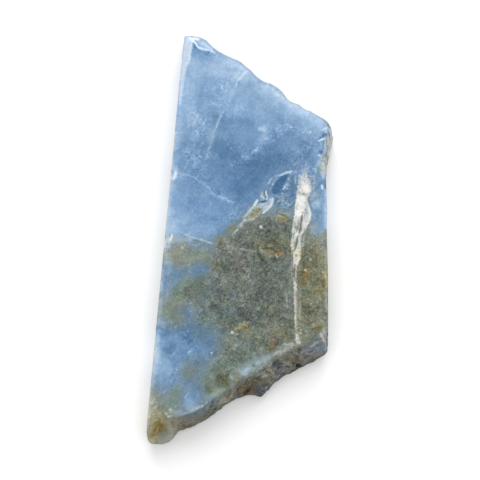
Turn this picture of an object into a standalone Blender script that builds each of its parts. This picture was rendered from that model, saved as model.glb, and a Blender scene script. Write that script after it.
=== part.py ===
"""Blue opal slab: one natural stone, sawn flat on two faces.

A thin, roughly trapezoidal slab of common blue opal with grey-green matrix, a
white vein and a brown rind. Both broad faces and the two long edges are sawn.
The upper right edge is a smooth scalloped break, the upper left corner carries
a bevelled facet and a shallow chip, the shoulder on the right and the whole
lower edge keep the rough natural rind, which slopes out to its foot.

Frame: the slab lies on its sawn underside. +Z is up through the thickness, +Y
runs along the straight left saw cut, the origin is at the centre of the
bounding box, on the resting plane. Metres.
"""

import math

import bmesh
import bpy
from mathutils import Vector, noise

# ---------------------------------------------------------------- dimensions
UNIT = 0.000186        # one unit of the plan readings below, in metres
CENTRE = (240.0, 240.0)    # plan reading that the readings are counted from
LEAN = math.radians(5.46)  # how far the straight left cut leans in the plan readings
THICKNESS = 0.0065     # between the two sawn faces
EYE = 0.446            # height over the top face that the plan was read from

CHAMFER = 0.00022      # worn arris of the sawn edges
BREAK_WIDTH = 0.0021   # how far the scalloped break rolls in over the top face
BREAK_DROP = 0.0013    # and how deep it is at the rim
BREAK_LEAN = 0.0008    # how far its wall draws in at the foot
RIND_RIM = 0.0014      # height of the rind's widest line over the underside
RIND_LEAN = 0.0007     # how far the rind draws in below that line
RIND_ROUGH = 0.00030   # height of the lumps on the rind
BREAK_ROUGH = 0.00006  # and of the ripples on the break

SAW, BREAK, RIND, FACET = "saw", "break", "rind", "facet"

# Plan readings, clockwise from the straight left cut. Each station is
# (x, y of the outline, kind) for a sawn or a broken edge. On the facet and on
# the rind the top face ends further in, so those stations also hold the
# (x, y) where it ends and the depth of the outline's rim below the top face,
# in metres (None: the rind's own rim height).
STATIONS = [
    (162.8, 258, SAW), (165.7, 228, SAW), (168.6, 198, SAW), (171.4, 168, SAW),
    (174.3, 138, SAW), (176.7, 112, SAW),
    (178.8, 92, FACET, 182.4, 92.5, 0.0005),
    (180.0, 80, FACET, 184.9, 81, 0.0008),
    (181.3, 68, FACET, 187.6, 68, 0.0011),
    (182.4, 55, FACET, 190.0, 55, 0.0013),
    (183.5, 44, FACET, 191.8, 46.8, 0.0014),
    (184.8, 37, FACET, 193.2, 42.8, 0.0015),
    (189.5, 35.9, FACET, 194.6, 43.4, 0.0015),
    (195.0, 36.3, FACET, 197.4, 46.4, 0.0016),
    (200.8, 37.5, FACET, 200.8, 49.0, 0.0016),
    (206.2, 40.1, FACET, 205.3, 49.8, 0.0015),
    (210.4, 44.5, FACET, 209.6, 51.2, 0.0014),
    (215.0, 48.9, BREAK), (220.0, 52.0, BREAK), (225.2, 55.0, BREAK), (230.7, 57.3, BREAK),
    (236.3, 59.7, BREAK), (240.7, 62.2, BREAK), (245.6, 66.3, BREAK), (250.4, 70.0, BREAK),
    (254.0, 73.8, BREAK), (258.2, 77.6, BREAK), (262.8, 80.9, BREAK), (266.9, 82.9, BREAK),
    (271.2, 84.1, BREAK), (276.2, 86.8, BREAK), (280.8, 90.5, BREAK), (284.2, 94.8, BREAK),
    (287.4, 98.6, BREAK), (291.0, 101.4, BREAK), (295.3, 103.4, BREAK), (299.6, 105.0, BREAK),
    (302.8, 107.8, BREAK), (306.4, 109.8, BREAK), (310.6, 111.2, BREAK), (314.6, 113.8, BREAK),
    (319.6, 116.7, BREAK), (324.1, 119.6, BREAK), (328.0, 122.7, BREAK),
    (330.6, 126.8, RIND, 325.6, 126.6, 0.0022),
    (332.2, 131.4, RIND, 325.8, 131.2, 0.0034),
    (333.0, 137.0, RIND, 325.0, 137.4, 0.0043),
    (332.4, 143.4, RIND, 323.6, 144.0, 0.0046),
    (330.4, 151.5, RIND, 322.6, 152.0, 0.0044),
    (328.5, 161.0, RIND, 322.0, 161.0, 0.0036),
    (326.8, 170.4, RIND, 322.8, 170.6, 0.0024),
    (326.1, 179, SAW), (326.5, 194, SAW), (327.0, 212, SAW), (326.7, 230, SAW),
    (327.3, 250, SAW), (327.9, 272, SAW), (328.1, 296, SAW), (328.1, 316, SAW),
    (328.1, 328, SAW),
    (328.1, 337, RIND, 322.6, 333.6, 0.0013),
    (327.8, 346.4, RIND, 315.6, 339.2, 0.0029),
    (325.6, 353.4, RIND, 310.6, 341.8, 0.0043),
    (320.6, 357.4, RIND, 305.6, 344.0, None),
    (311.0, 362.7, RIND, 298.4, 346.6, None),
    (302.5, 367.3, RIND, 292.4, 348.9, None),
    (294.2, 371.7, RIND, 285.6, 352.2, None),
    (285.5, 376.1, RIND, 277.0, 356.0, None),
    (277.6, 380.8, RIND, 269.4, 360.8, None),
    (272.0, 385.8, RIND, 264.2, 364.6, None),
    (267.6, 390.6, RIND, 259.8, 368.8, None),
    (263.6, 395.0, RIND, 256.0, 372.0, None),
    (260.0, 397.0, RIND, 252.6, 374.0, None),
    (254.6, 395.7, RIND, 248.8, 376.2, None),
    (249.0, 395.0, RIND, 244.6, 378.6, None),
    (241.4, 396.8, RIND, 239.6, 381.8, None),
    (233.8, 399.2, RIND, 233.6, 385.9, None),
    (227.0, 404.0, RIND, 226.6, 391.5, None),
    (222.0, 408.3, RIND, 219.8, 397.0, None),
    (217.0, 412.4, RIND, 213.6, 401.5, None),
    (211.5, 416.3, RIND, 208.4, 405.6, None),
    (205.8, 420.0, RIND, 202.6, 410.2, None),
    (199.5, 423.4, RIND, 196.8, 413.6, None),
    (193.0, 426.3, RIND, 189.8, 415.4, None),
    (185.5, 429.3, RIND, 182.0, 416.8, None),
    (178.0, 432.8, RIND, 173.6, 419.2, None),
    (171.9, 439.0, RIND, 167.0, 422.0, None),
    (164.6, 443.7, RIND, 161.4, 425.2, None),
    (157.4, 444.4, RIND, 157.2, 427.8, None),
    (151.4, 443.4, RIND, 154.0, 429.4, None),
    (148.2, 440.2, RIND, 151.6, 429.4, 0.0042),
    (146.7, 434.6, RIND, 149.4, 427.6, 0.0030),
    (146.8, 426, SAW), (148.5, 408, SAW), (150.8, 384, SAW), (153.6, 354, SAW),
    (156.5, 324, SAW), (159.6, 291, SAW),
]

# Chips, each a scoop left by a flake: (x, y, height of the scoop's centre over
# the top face, its radius), the last two in metres.
CHIPS = {
    "chip_left": (166.9, 175.2, 0.00035, 0.00117),
    "chip_shoulder": (329.0, 137.2, 0.00030, 0.00110),
    "chip_right": (330.4, 166.0, 0.00150, 0.00230),
    "spall_top": (282.0, 184.0, 0.01240, 0.01262),
}

RINGS_OVER = (0.0, 0.14, 0.30, 0.48, 0.66, 0.84, 1.0)  # from the top face's end out to the rim
RINGS_UNDER = (0.4, 0.78, 1.0)                         # from the rim down to the underside


# ---------------------------------------------------------------- plan
def in_frame(x, y, depth=0.0):
    """A plan reading as metres in the slab's own frame. What lies deeper than
    the top face was seen a little smaller, so it is set back out."""
    grow = UNIT * (1.0 + depth / EYE)
    across, along = (x - CENTRE[0]) * grow, (CENTRE[1] - y) * grow
    c, s = math.cos(LEAN), math.sin(LEAN)
    return Vector((across * c - along * s, across * s + along * c))


def inward(points, i):
    """The unit normal that points into the slab at station i of a clockwise outline."""
    ahead = (points[(i + 1) % len(points)] - points[i - 1]).normalized()
    return Vector((ahead.y, -ahead.x))


def catmull(a, b, c, d, t):
    return 0.5 * (2 * b + (c - a) * t + (2 * a - 5 * b + 4 * c - d) * t ** 2 + (3 * b - a - 3 * c + d) * t ** 3)


def profile_stations():
    """Each station as (outline point, end of the top face, rim depth, foot inset, roughness)."""
    depths = []
    for s in STATIONS:
        deepest = THICKNESS - RIND_RIM
        depths.append({SAW: CHAMFER, BREAK: BREAK_DROP}.get(s[2], deepest if len(s) < 6 or s[5] is None else s[5]))
    outline = [in_frame(s[0], s[1], d) for s, d in zip(STATIONS, depths)]
    rows = []
    for i, s in enumerate(STATIONS):
        turn = inward(outline, i)
        if s[2] == SAW:
            row = (outline[i] + turn * CHAMFER, CHAMFER, 0.0, 0.0)
        elif s[2] == BREAK:
            row = (outline[i] + turn * BREAK_WIDTH, BREAK_DROP, BREAK_LEAN, BREAK_ROUGH)
        elif s[2] == FACET:
            row = (in_frame(s[3], s[4]), depths[i], BREAK_LEAN * 0.3, BREAK_ROUGH)
        else:
            row = (in_frame(s[3], s[4]), depths[i], RIND_LEAN, RIND_ROUGH)
        rows.append((outline[i], row[0], row[1], row[2], row[3], turn, s[2]))
    return rows


def refined(rows):
    """The stations with one more between every two, on a smooth curve through them."""
    out = []
    n = len(rows)
    for i in range(n):
        a, b, c, d = rows[i - 1], rows[i], rows[(i + 1) % n], rows[(i + 2) % n]
        out.append(b)
        if b[6] == SAW and c[6] == SAW:
            continue
        mid = [catmull(a[k], b[k], c[k], d[k], 0.5) for k in (0, 1)]
        mid += [max(CHAMFER, catmull(a[2], b[2], c[2], d[2], 0.5))]
        mid += [(b[k] + c[k]) / 2 for k in (3, 4)]
        mid += [(b[5] + c[5]).normalized(), b[6] if b[6] != SAW else c[6]]
        out.append(tuple(mid))
    return out


def lump(p, size):
    """Smooth lumps of about the given size, from -1 to 1."""
    return noise.noise(p / size) + 0.5 * noise.noise(p / (size * 0.45) + Vector((7.1, 3.3, 5.9)))


def section(row):
    """The points of one station from the end of the top face down to the underside."""
    outline, end, depth, inset, rough, turn, kind = row
    points = []
    for u in RINGS_OVER:
        if kind == BREAK:
            fall = 1.0 - math.sqrt(max(0.0, 1.0 - u * u))
        else:
            fall = u ** 1.12
        points.append((end.lerp(outline, u), THICKNESS - depth * fall, u * (1.4 - u) * 2.5))
    rim = THICKNESS - depth
    for v in RINGS_UNDER:
        points.append((outline + turn * inset * v ** 1.8, rim * (1.0 - v), (1.0 - v)))
    out = []
    for plan, height, share in points:
        p = Vector((plan.x, plan.y, height))
        push = rough * share * lump(p, 0.0022)
        p.x -= turn.x * push
        p.y -= turn.y * push
        out.append(p)
    return out


# ---------------------------------------------------------------- solid
def new_object(name, bm):
    mesh = bpy.data.meshes.new(name)
    bm.to_mesh(mesh)
    bm.free()
    obj = bpy.data.objects.new(name, mesh)
    bpy.context.scene.collection.objects.link(obj)
    return obj


def stone_material():
    mat = bpy.data.materials.new("blue_opal")
    mat.use_nodes = True
    shader = mat.node_tree.nodes["Principled BSDF"]
    shader.inputs["Base Color"].default_value = (0.20, 0.34, 0.52, 1.0)
    shader.inputs["Roughness"].default_value = 0.38
    shader.inputs["Metallic"].default_value = 0.0
    shader.inputs["IOR"].default_value = 1.45
    return mat


def build_slab():
    bm = bmesh.new()
    sections = [[bm.verts.new(p) for p in section(row)] for row in refined(profile_stations())]
    rings = len(sections[0])
    for i, here in enumerate(sections):
        back = sections[i - 1]
        for j in range(rings - 1):
            bm.faces.new((back[j], here[j], here[j + 1], back[j + 1]))
    bm.faces.new([s[0] for s in reversed(sections)])
    bm.faces.new([s[-1] for s in sections])
    bmesh.ops.triangulate(bm, faces=bm.faces[:])
    bmesh.ops.recalc_face_normals(bm, faces=bm.faces[:])
    slab = new_object("opal_slab", bm)
    slab.data.materials.append(stone_material())
    slab.data.shade_smooth()
    slab.data.set_sharp_from_angle(angle=math.radians(28))
    return slab


def build_chip(name, x, y, above, radius):
    bm = bmesh.new()
    bmesh.ops.create_icosphere(bm, subdivisions=4 if radius > 0.005 else 3, radius=radius)
    cutter = new_object(name, bm)
    plan = in_frame(x, y)
    cutter.location = (plan.x, plan.y, THICKNESS + above)
    cutter.hide_render = True
    cutter.display_type = "WIRE"
    return cutter


def centre_over_origin(slab, cutters):
    """Moves the model so that its bounding box is centred over the origin, on the resting plane."""
    xs = [v.co.x for v in slab.data.vertices]
    ys = [v.co.y for v in slab.data.vertices]
    shift = Vector(((min(xs) + max(xs)) / 2, (min(ys) + max(ys)) / 2, 0.0))
    for v in slab.data.vertices:
        v.co -= shift
    for c in cutters:
        c.location -= shift


def main():
    for obj in list(bpy.data.objects):
        bpy.data.objects.remove(obj, do_unlink=True)
    slab = build_slab()
    cutters = [build_chip(name, *values) for name, values in CHIPS.items()]
    centre_over_origin(slab, cutters)
    for cutter in cutters:
        cut = slab.modifiers.new(cutter.name, "BOOLEAN")
        cut.operation = "DIFFERENCE"
        cut.solver = "EXACT"
        cut.object = cutter


main()
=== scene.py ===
import math

import bpy
import numpy as np
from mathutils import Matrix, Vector
from mathutils.geometry import delaunay_2d_cdt
from mathutils.kdtree import KDTree


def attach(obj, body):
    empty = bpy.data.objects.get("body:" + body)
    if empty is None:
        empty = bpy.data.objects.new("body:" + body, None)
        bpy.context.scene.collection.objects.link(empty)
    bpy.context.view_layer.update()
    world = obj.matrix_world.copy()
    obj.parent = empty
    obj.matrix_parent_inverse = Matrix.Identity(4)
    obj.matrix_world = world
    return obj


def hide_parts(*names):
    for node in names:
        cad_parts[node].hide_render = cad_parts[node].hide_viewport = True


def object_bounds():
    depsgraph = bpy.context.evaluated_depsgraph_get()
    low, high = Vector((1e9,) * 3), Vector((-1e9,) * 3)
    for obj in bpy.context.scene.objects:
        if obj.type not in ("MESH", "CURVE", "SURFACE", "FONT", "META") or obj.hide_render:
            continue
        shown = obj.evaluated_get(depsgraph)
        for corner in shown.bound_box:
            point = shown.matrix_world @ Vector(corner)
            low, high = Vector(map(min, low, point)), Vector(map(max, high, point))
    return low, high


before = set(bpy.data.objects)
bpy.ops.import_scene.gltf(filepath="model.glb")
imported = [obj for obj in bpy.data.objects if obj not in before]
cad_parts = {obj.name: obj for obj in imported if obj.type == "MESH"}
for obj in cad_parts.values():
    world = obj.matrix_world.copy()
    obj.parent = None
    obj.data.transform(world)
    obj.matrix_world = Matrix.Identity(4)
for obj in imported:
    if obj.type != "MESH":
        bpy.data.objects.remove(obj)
CAD_LOW, CAD_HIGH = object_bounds()

# ---------------------------------------------------------------- plan
# Plan readings: x to the right, y down, one unit is UNIT metres on the top
# face. They are the same readings as the solid's.
UNIT = 0.000186
CENTRE = (240.0, 240.0)
LEAN = math.radians(5.46)
THICKNESS = 0.0065
EYE = 0.446

CHAMFER = 0.00022
BREAK_WIDTH = 0.0021
BREAK_DROP = 0.0013
BREAK_LEAN = 0.0008
RIND_RIM = 0.0014
RIND_LEAN = 0.0007

STEP = 0.000200        # spacing of the fine mesh on the top and the sides
FINE_STEP = 0.000150   # on the fracture and the vein
COARSE_STEP = 0.000215 # on the rest of the top
RINGS = 33
FINE_PART = [(250, 166), (290, 160), (322, 158), (325, 192), (314, 200), (314, 228), (304, 236), (303, 262), (301, 300), (302, 346), (292, 346),
             (291, 300), (289, 262), (289, 236), (288, 224), (262, 220), (250, 224), (236, 234), (240, 214), (254, 196)]

SAW, BREAK, RIND, FACET = 0, 1, 2, 3

STATIONS = [
    (162.8, 258, SAW), (165.7, 228, SAW), (168.6, 198, SAW), (171.4, 168, SAW),
    (174.3, 138, SAW), (176.7, 112, SAW),
    (178.8, 92, FACET, 182.4, 92.5, 0.0005),
    (180.0, 80, FACET, 184.9, 81, 0.0008),
    (181.3, 68, FACET, 187.6, 68, 0.0011),
    (182.4, 55, FACET, 190.0, 55, 0.0013),
    (183.5, 44, FACET, 191.8, 46.8, 0.0014),
    (184.8, 37, FACET, 193.2, 42.8, 0.0015),
    (189.5, 35.9, FACET, 194.6, 43.4, 0.0015),
    (195.0, 36.3, FACET, 197.4, 46.4, 0.0016),
    (200.8, 37.5, FACET, 200.8, 49.0, 0.0016),
    (206.2, 40.1, FACET, 205.3, 49.8, 0.0015),
    (210.4, 44.5, FACET, 209.6, 51.2, 0.0014),
    (215.0, 48.9, BREAK), (220.0, 52.0, BREAK), (225.2, 55.0, BREAK), (230.7, 57.3, BREAK),
    (236.3, 59.7, BREAK), (240.7, 62.2, BREAK), (245.6, 66.3, BREAK), (250.4, 70.0, BREAK),
    (254.0, 73.8, BREAK), (258.2, 77.6, BREAK), (262.8, 80.9, BREAK), (266.9, 82.9, BREAK),
    (271.2, 84.1, BREAK), (276.2, 86.8, BREAK), (280.8, 90.5, BREAK), (284.2, 94.8, BREAK),
    (287.4, 98.6, BREAK), (291.0, 101.4, BREAK), (295.3, 103.4, BREAK), (299.6, 105.0, BREAK),
    (302.8, 107.8, BREAK), (306.4, 109.8, BREAK), (310.6, 111.2, BREAK), (314.6, 113.8, BREAK),
    (319.6, 116.7, BREAK), (324.1, 119.6, BREAK), (328.0, 122.7, BREAK),
    (330.6, 126.8, RIND, 325.6, 126.6, 0.0022),
    (332.2, 131.4, RIND, 325.8, 131.2, 0.0034),
    (333.0, 137.0, RIND, 325.0, 137.4, 0.0043),
    (332.4, 143.4, RIND, 323.6, 144.0, 0.0046),
    (330.4, 151.5, RIND, 322.6, 152.0, 0.0044),
    (328.5, 161.0, RIND, 322.0, 161.0, 0.0036),
    (326.8, 170.4, RIND, 322.8, 170.6, 0.0024),
    (326.1, 179, SAW), (326.5, 194, SAW), (327.0, 212, SAW), (326.7, 230, SAW),
    (327.3, 250, SAW), (327.9, 272, SAW), (328.1, 296, SAW), (328.1, 316, SAW),
    (328.1, 328, SAW),
    (328.1, 337, RIND, 322.6, 333.6, 0.0013),
    (327.8, 346.4, RIND, 315.6, 339.2, 0.0029),
    (325.6, 353.4, RIND, 310.6, 341.8, 0.0043),
    (320.6, 357.4, RIND, 305.6, 344.0, None),
    (311.0, 362.7, RIND, 298.4, 346.6, None),
    (302.5, 367.3, RIND, 292.4, 348.9, None),
    (294.2, 371.7, RIND, 285.6, 352.2, None),
    (285.5, 376.1, RIND, 277.0, 356.0, None),
    (277.6, 380.8, RIND, 269.4, 360.8, None),
    (272.0, 385.8, RIND, 264.2, 364.6, None),
    (267.6, 390.6, RIND, 259.8, 368.8, None),
    (263.6, 395.0, RIND, 256.0, 372.0, None),
    (260.0, 397.0, RIND, 252.6, 374.0, None),
    (254.6, 395.7, RIND, 248.8, 376.2, None),
    (249.0, 395.0, RIND, 244.6, 378.6, None),
    (241.4, 396.8, RIND, 239.6, 381.8, None),
    (233.8, 399.2, RIND, 233.6, 385.9, None),
    (227.0, 404.0, RIND, 226.6, 391.5, None),
    (222.0, 408.3, RIND, 219.8, 397.0, None),
    (217.0, 412.4, RIND, 213.6, 401.5, None),
    (211.5, 416.3, RIND, 208.4, 405.6, None),
    (205.8, 420.0, RIND, 202.6, 410.2, None),
    (199.5, 423.4, RIND, 196.8, 413.6, None),
    (193.0, 426.3, RIND, 189.8, 415.4, None),
    (185.5, 429.3, RIND, 182.0, 416.8, None),
    (178.0, 432.8, RIND, 173.6, 419.2, None),
    (171.9, 439.0, RIND, 167.0, 422.0, None),
    (164.6, 443.7, RIND, 161.4, 425.2, None),
    (157.4, 444.4, RIND, 157.2, 427.8, None),
    (151.4, 443.4, RIND, 154.0, 429.4, None),
    (148.2, 440.2, RIND, 151.6, 429.4, 0.0042),
    (146.7, 434.6, RIND, 149.4, 427.6, 0.0030),
    (146.8, 426, SAW), (148.5, 408, SAW), (150.8, 384, SAW), (153.6, 354, SAW),
    (156.5, 324, SAW), (159.6, 291, SAW),
]


# ---------------------------------------------------------------- noise
def hashed(ix, iy, iz, seed):
    h = (ix.astype(np.uint32) * np.uint32(374761393) + iy.astype(np.uint32) * np.uint32(668265263)
         + iz.astype(np.uint32) * np.uint32(2147483647) + np.uint32(seed * 1013904223 & 0xFFFFFFFF))
    h = (h ^ (h >> np.uint32(13))) * np.uint32(1274126177)
    h = (h ^ (h >> np.uint32(16))) * np.uint32(2246822519)
    return h ^ (h >> np.uint32(15))


GRADIENTS = np.array([(1, 1, 0), (-1, 1, 0), (1, -1, 0), (-1, -1, 0), (1, 0, 1), (-1, 0, 1), (1, 0, -1), (-1, 0, -1),
                      (0, 1, 1), (0, -1, 1), (0, 1, -1), (0, -1, -1), (1, 1, 0), (-1, 1, 0), (0, -1, 1), (0, -1, -1)], float)


def perlin(p, seed=0):
    """Gradient noise at points p (n, 3), about -0.7 to 0.7."""
    cell = np.floor(p)
    f = p - cell
    cell = cell.astype(np.int64)
    u = f * f * f * (f * (f * 6 - 15) + 10)
    total = np.zeros(len(p))
    for dx in (0, 1):
        wx = u[:, 0] if dx else 1 - u[:, 0]
        for dy in (0, 1):
            wy = u[:, 1] if dy else 1 - u[:, 1]
            for dz in (0, 1):
                wz = u[:, 2] if dz else 1 - u[:, 2]
                g = GRADIENTS[hashed(cell[:, 0] + dx, cell[:, 1] + dy, cell[:, 2] + dz, seed) & 15]
                total += wx * wy * wz * (g[:, 0] * (f[:, 0] - dx) + g[:, 1] * (f[:, 1] - dy) + g[:, 2] * (f[:, 2] - dz))
    return total


def fractal(p, size, octaves=3, seed=0, gain=0.5):
    """Sum of noises from the given size (metres) down, about -1 to 1."""
    total, weight, reach = np.zeros(len(p)), 1.0, 0.0
    for k in range(octaves):
        total += weight * perlin(p / (size * 0.5 ** k) + 17.3 * k, seed + k)
        reach += weight
        weight *= gain
    return total / reach * 1.5


def smooth(a, b, x):
    t = np.clip((x - a) / (b - a), 0, 1)
    return t * t * (3 - 2 * t)


# ---------------------------------------------------------------- plan to frame
def in_frame(x, y, depth=0.0):
    """Plan readings as metres in the slab's frame, before it is centred."""
    grow = UNIT * (1.0 + np.asarray(depth) / EYE)
    across, along = (np.asarray(x, float) - CENTRE[0]) * grow, (CENTRE[1] - np.asarray(y, float)) * grow
    c, s = math.cos(LEAN), math.sin(LEAN)
    return np.stack([across * c - along * s, across * s + along * c], -1)


def catmull(a, b, c, d, t):
    return 0.5 * (2 * b + (c - a) * t + (2 * a - 5 * b + 4 * c - d) * t ** 2 + (3 * b - a - 3 * c + d) * t ** 3)


def inward(points):
    ahead = np.roll(points, -1, 0) - np.roll(points, 1, 0)
    ahead /= np.linalg.norm(ahead, axis=1)[:, None]
    return np.stack([ahead[:, 1], -ahead[:, 0]], 1)


def around(values, window):
    """A closed row of values averaged over window neighbours on each side."""
    kernel = np.hanning(2 * window + 3)[1:-1]
    kernel /= kernel.sum()
    return sum(k * np.roll(values, j - window, 0) for j, k in enumerate(kernel))


def perimeter():
    """The stations on a smooth curve, STEP apart: outline, end of the top face, rim depth, foot inset, shares of each kind."""
    depth = np.array([{SAW: CHAMFER, BREAK: BREAK_DROP}.get(s[2], THICKNESS - RIND_RIM if len(s) < 6 or s[5] is None else s[5]) for s in STATIONS])
    outline = in_frame([s[0] for s in STATIONS], [s[1] for s in STATIONS], depth)
    turn = inward(outline)
    end = np.zeros_like(outline)
    inset = np.zeros(len(STATIONS))
    share = np.zeros((len(STATIONS), 4))
    for i, s in enumerate(STATIONS):
        share[i, s[2]] = 1
        end[i] = outline[i] + turn[i] * {SAW: CHAMFER, BREAK: BREAK_WIDTH}.get(s[2], 0) if s[2] in (SAW, BREAK) else in_frame(s[3], s[4])
        inset[i] = {SAW: 0, BREAK: BREAK_LEAN, RIND: RIND_LEAN, FACET: BREAK_LEAN * 0.3}[s[2]]
    rows = np.concatenate([outline, end, depth[:, None], inset[:, None], share], 1)
    # where the straight cut meets another kind of edge its own line stays straight
    out = []
    n = len(rows)
    for i in range(n):
        a, b, c, d = rows[i - 1], rows[i], rows[(i + 1) % n], rows[(i + 2) % n]
        parts = max(1, int(round(np.linalg.norm(c[:2] - b[:2]) / STEP)))
        straight = b[6] + c[6] > 1.5
        for k in range(parts):
            t = k / parts
            row = b + (c - b) * t
            if not straight:
                row[:5] = catmull(a, b, c, d, t)[:5]
            row[4] = max(row[4], CHAMFER)
            row[6:] = b[6:] + (c[6:] - b[6:]) * (t * t * (3 - 2 * t))
            out.append(row)
    return np.array(out)


def cad_shift():
    """The solid is centred over the origin; the same shift puts this mesh on it."""
    rows = perimeter()
    low, high = rows[:, :2].min(0), rows[:, :2].max(0)
    return (low + high) / 2 - np.array([(CAD_LOW[i] + CAD_HIGH[i]) / 2 for i in (0, 1)])


SHIFT = cad_shift()


def plan_of(p):
    """Metres in the frame back to plan readings, as seen from over the stone."""
    q = p[:, :2] + SHIFT
    c, s = math.cos(LEAN), math.sin(LEAN)
    across, along = q[:, 0] * c + q[:, 1] * s, -q[:, 0] * s + q[:, 1] * c
    grow = UNIT * (1.0 + (THICKNESS - p[:, 2]) / EYE)
    return np.stack([CENTRE[0] + across / grow, CENTRE[1] - along / grow], 1)


def at(x, y, depth=0.0):
    """A plan reading as a point on the stone, in the frame."""
    q = in_frame(x, y, depth) - SHIFT
    return np.array([q[0], q[1], THICKNESS - depth])


# ---------------------------------------------------------------- mesh
def side_profile(rows):
    """The sides as a grid of points (station, ring, 3), ring 0 along the end of the top face and the last along the foot."""
    n = len(rows)
    outline, end, depth, inset, share = rows[:, :2].copy(), rows[:, 2:4].copy(), rows[:, 4], rows[:, 5], rows[:, 6:]
    turn = inward(around(outline, 4))
    soft_turn = around(turn, 10)
    soft_turn /= np.linalg.norm(soft_turn, axis=1)[:, None]
    broken = share[:, BREAK][:, None]
    end = end * (1 - broken) + broken * (around(outline, 9) + soft_turn * BREAK_WIDTH)
    end = np.where(share[:, [SAW]] > 0.98, end, around(end, 1))
    # small nicks along the broken and the natural edges
    flat = np.concatenate([outline, np.zeros((n, 1))], 1)
    nick = 0.000055 * share[:, BREAK] + 0.00011 * share[:, RIND] + 0.00004 * share[:, FACET]
    outline -= turn * (nick * fractal(flat, 0.0012, 3, 5))[:, None]

    fine = np.linspace(0, 1, 41)
    grid = np.zeros((n, RINGS, 3))
    for i in range(n):
        fall = share[i, BREAK] * (1 - np.sqrt(np.maximum(0, 1 - fine ** 2))) + (1 - share[i, BREAK]) * fine ** 1.12
        over = np.concatenate([end[i] + (outline[i] - end[i]) * fine[:, None], (THICKNESS - depth[i] * fall)[:, None]], 1)
        rim = THICKNESS - depth[i]
        under = np.concatenate([outline[i] + turn[i] * (inset[i] * fine[1:] ** 1.8)[:, None], (rim * (1 - fine[1:]))[:, None]], 1)
        line = np.concatenate([over, under])
        along = np.concatenate([[0], np.cumsum(np.linalg.norm(np.diff(line, axis=0), axis=1))])
        want = np.linspace(0, along[-1], RINGS)
        # one ring lies on the rim, so that it stays crisp
        k = int(np.clip(round(along[40] / along[-1] * (RINGS - 1)), 1, RINGS - 3))
        want = np.concatenate([np.linspace(0, along[40], k + 1), np.linspace(along[40], along[-1], RINGS - k)[1:]])
        grid[i] = np.stack([np.interp(want, along, line[:, j]) for j in range(3)], 1)
    return grid, share, turn


def in_polygon(points, poly):
    inside = np.zeros(len(points), bool)
    for (x0, y0), (x1, y1) in zip(poly, np.roll(poly, -1, 0)):
        if y0 == y1:
            continue
        crosses = (y0 > points[:, 1]) != (y1 > points[:, 1])
        inside ^= crosses & (points[:, 0] < (x1 - x0) * (points[:, 1] - y0) / (y1 - y0) + x0)
    return inside


def segment_distance(points, a, b):
    d = b - a
    t = np.clip(((points - a) @ d) / max(d @ d, 1e-18), 0, 1)
    return np.linalg.norm(points - (a + t[:, None] * d), axis=1)


def triangular(poly, spacing):
    """Points of a triangular grid inside a polygon."""
    low, high = poly.min(0), poly.max(0)
    rows = []
    for k, y in enumerate(np.arange(low[1], high[1], spacing * math.sqrt(3) / 2)):
        xs = np.arange(low[0] + (spacing / 2 if k % 2 else 0), high[0], spacing)
        rows.append(np.stack([xs, np.full(len(xs), y)], 1))
    grid = np.concatenate(rows)
    return grid[in_polygon(grid, poly)]


def filled(poly, spacing, margin, fine=None):
    """Grid points inside a polygon, at least margin from its edge and denser inside the fine outline, then the triangles of edge and grid."""
    grid = triangular(poly, spacing)
    if fine is not None:
        dense = triangular(fine, FINE_STEP)
        grid = np.concatenate([grid[~in_polygon(grid, fine)], dense[in_polygon(dense, poly)]])
    near = np.full(len(grid), np.inf)
    for a, b in zip(poly, np.roll(poly, -1, 0)):
        close = (np.abs(grid - (a + b) / 2) < margin * 2 + np.linalg.norm(b - a)).all(1)
        near[close] = np.minimum(near[close], segment_distance(grid[close], a, b))
    grid = grid[near > margin]
    n = len(poly)
    points = [Vector((x * 1000, y * 1000)) for x, y in np.concatenate([poly, grid])]
    verts, _, faces, *_ = delaunay_2d_cdt(points, [(i, (i + 1) % n) for i in range(n)], [], 0, 1e-6, False)
    if len(verts) != len(points):
        raise ValueError(f"the outline crosses itself: {len(verts)} points from {len(points)}")
    faces = np.array(faces, int)
    # inside is whatever joins onto a grid point without crossing the outline
    low, high = np.minimum(faces, np.roll(faces, -1, 1)), np.maximum(faces, np.roll(faces, -1, 1))
    open_way = ~((high < n) & ((high - low == 1) | ((low == 0) & (high == n - 1))))
    key = low * len(points) + high
    inside = (faces >= n).any(1)
    while True:
        joined = inside | (np.isin(key, key[inside][open_way[inside]]) & open_way).any(1)
        if (joined == inside).all():
            return grid, faces[inside]
        inside = joined


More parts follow.
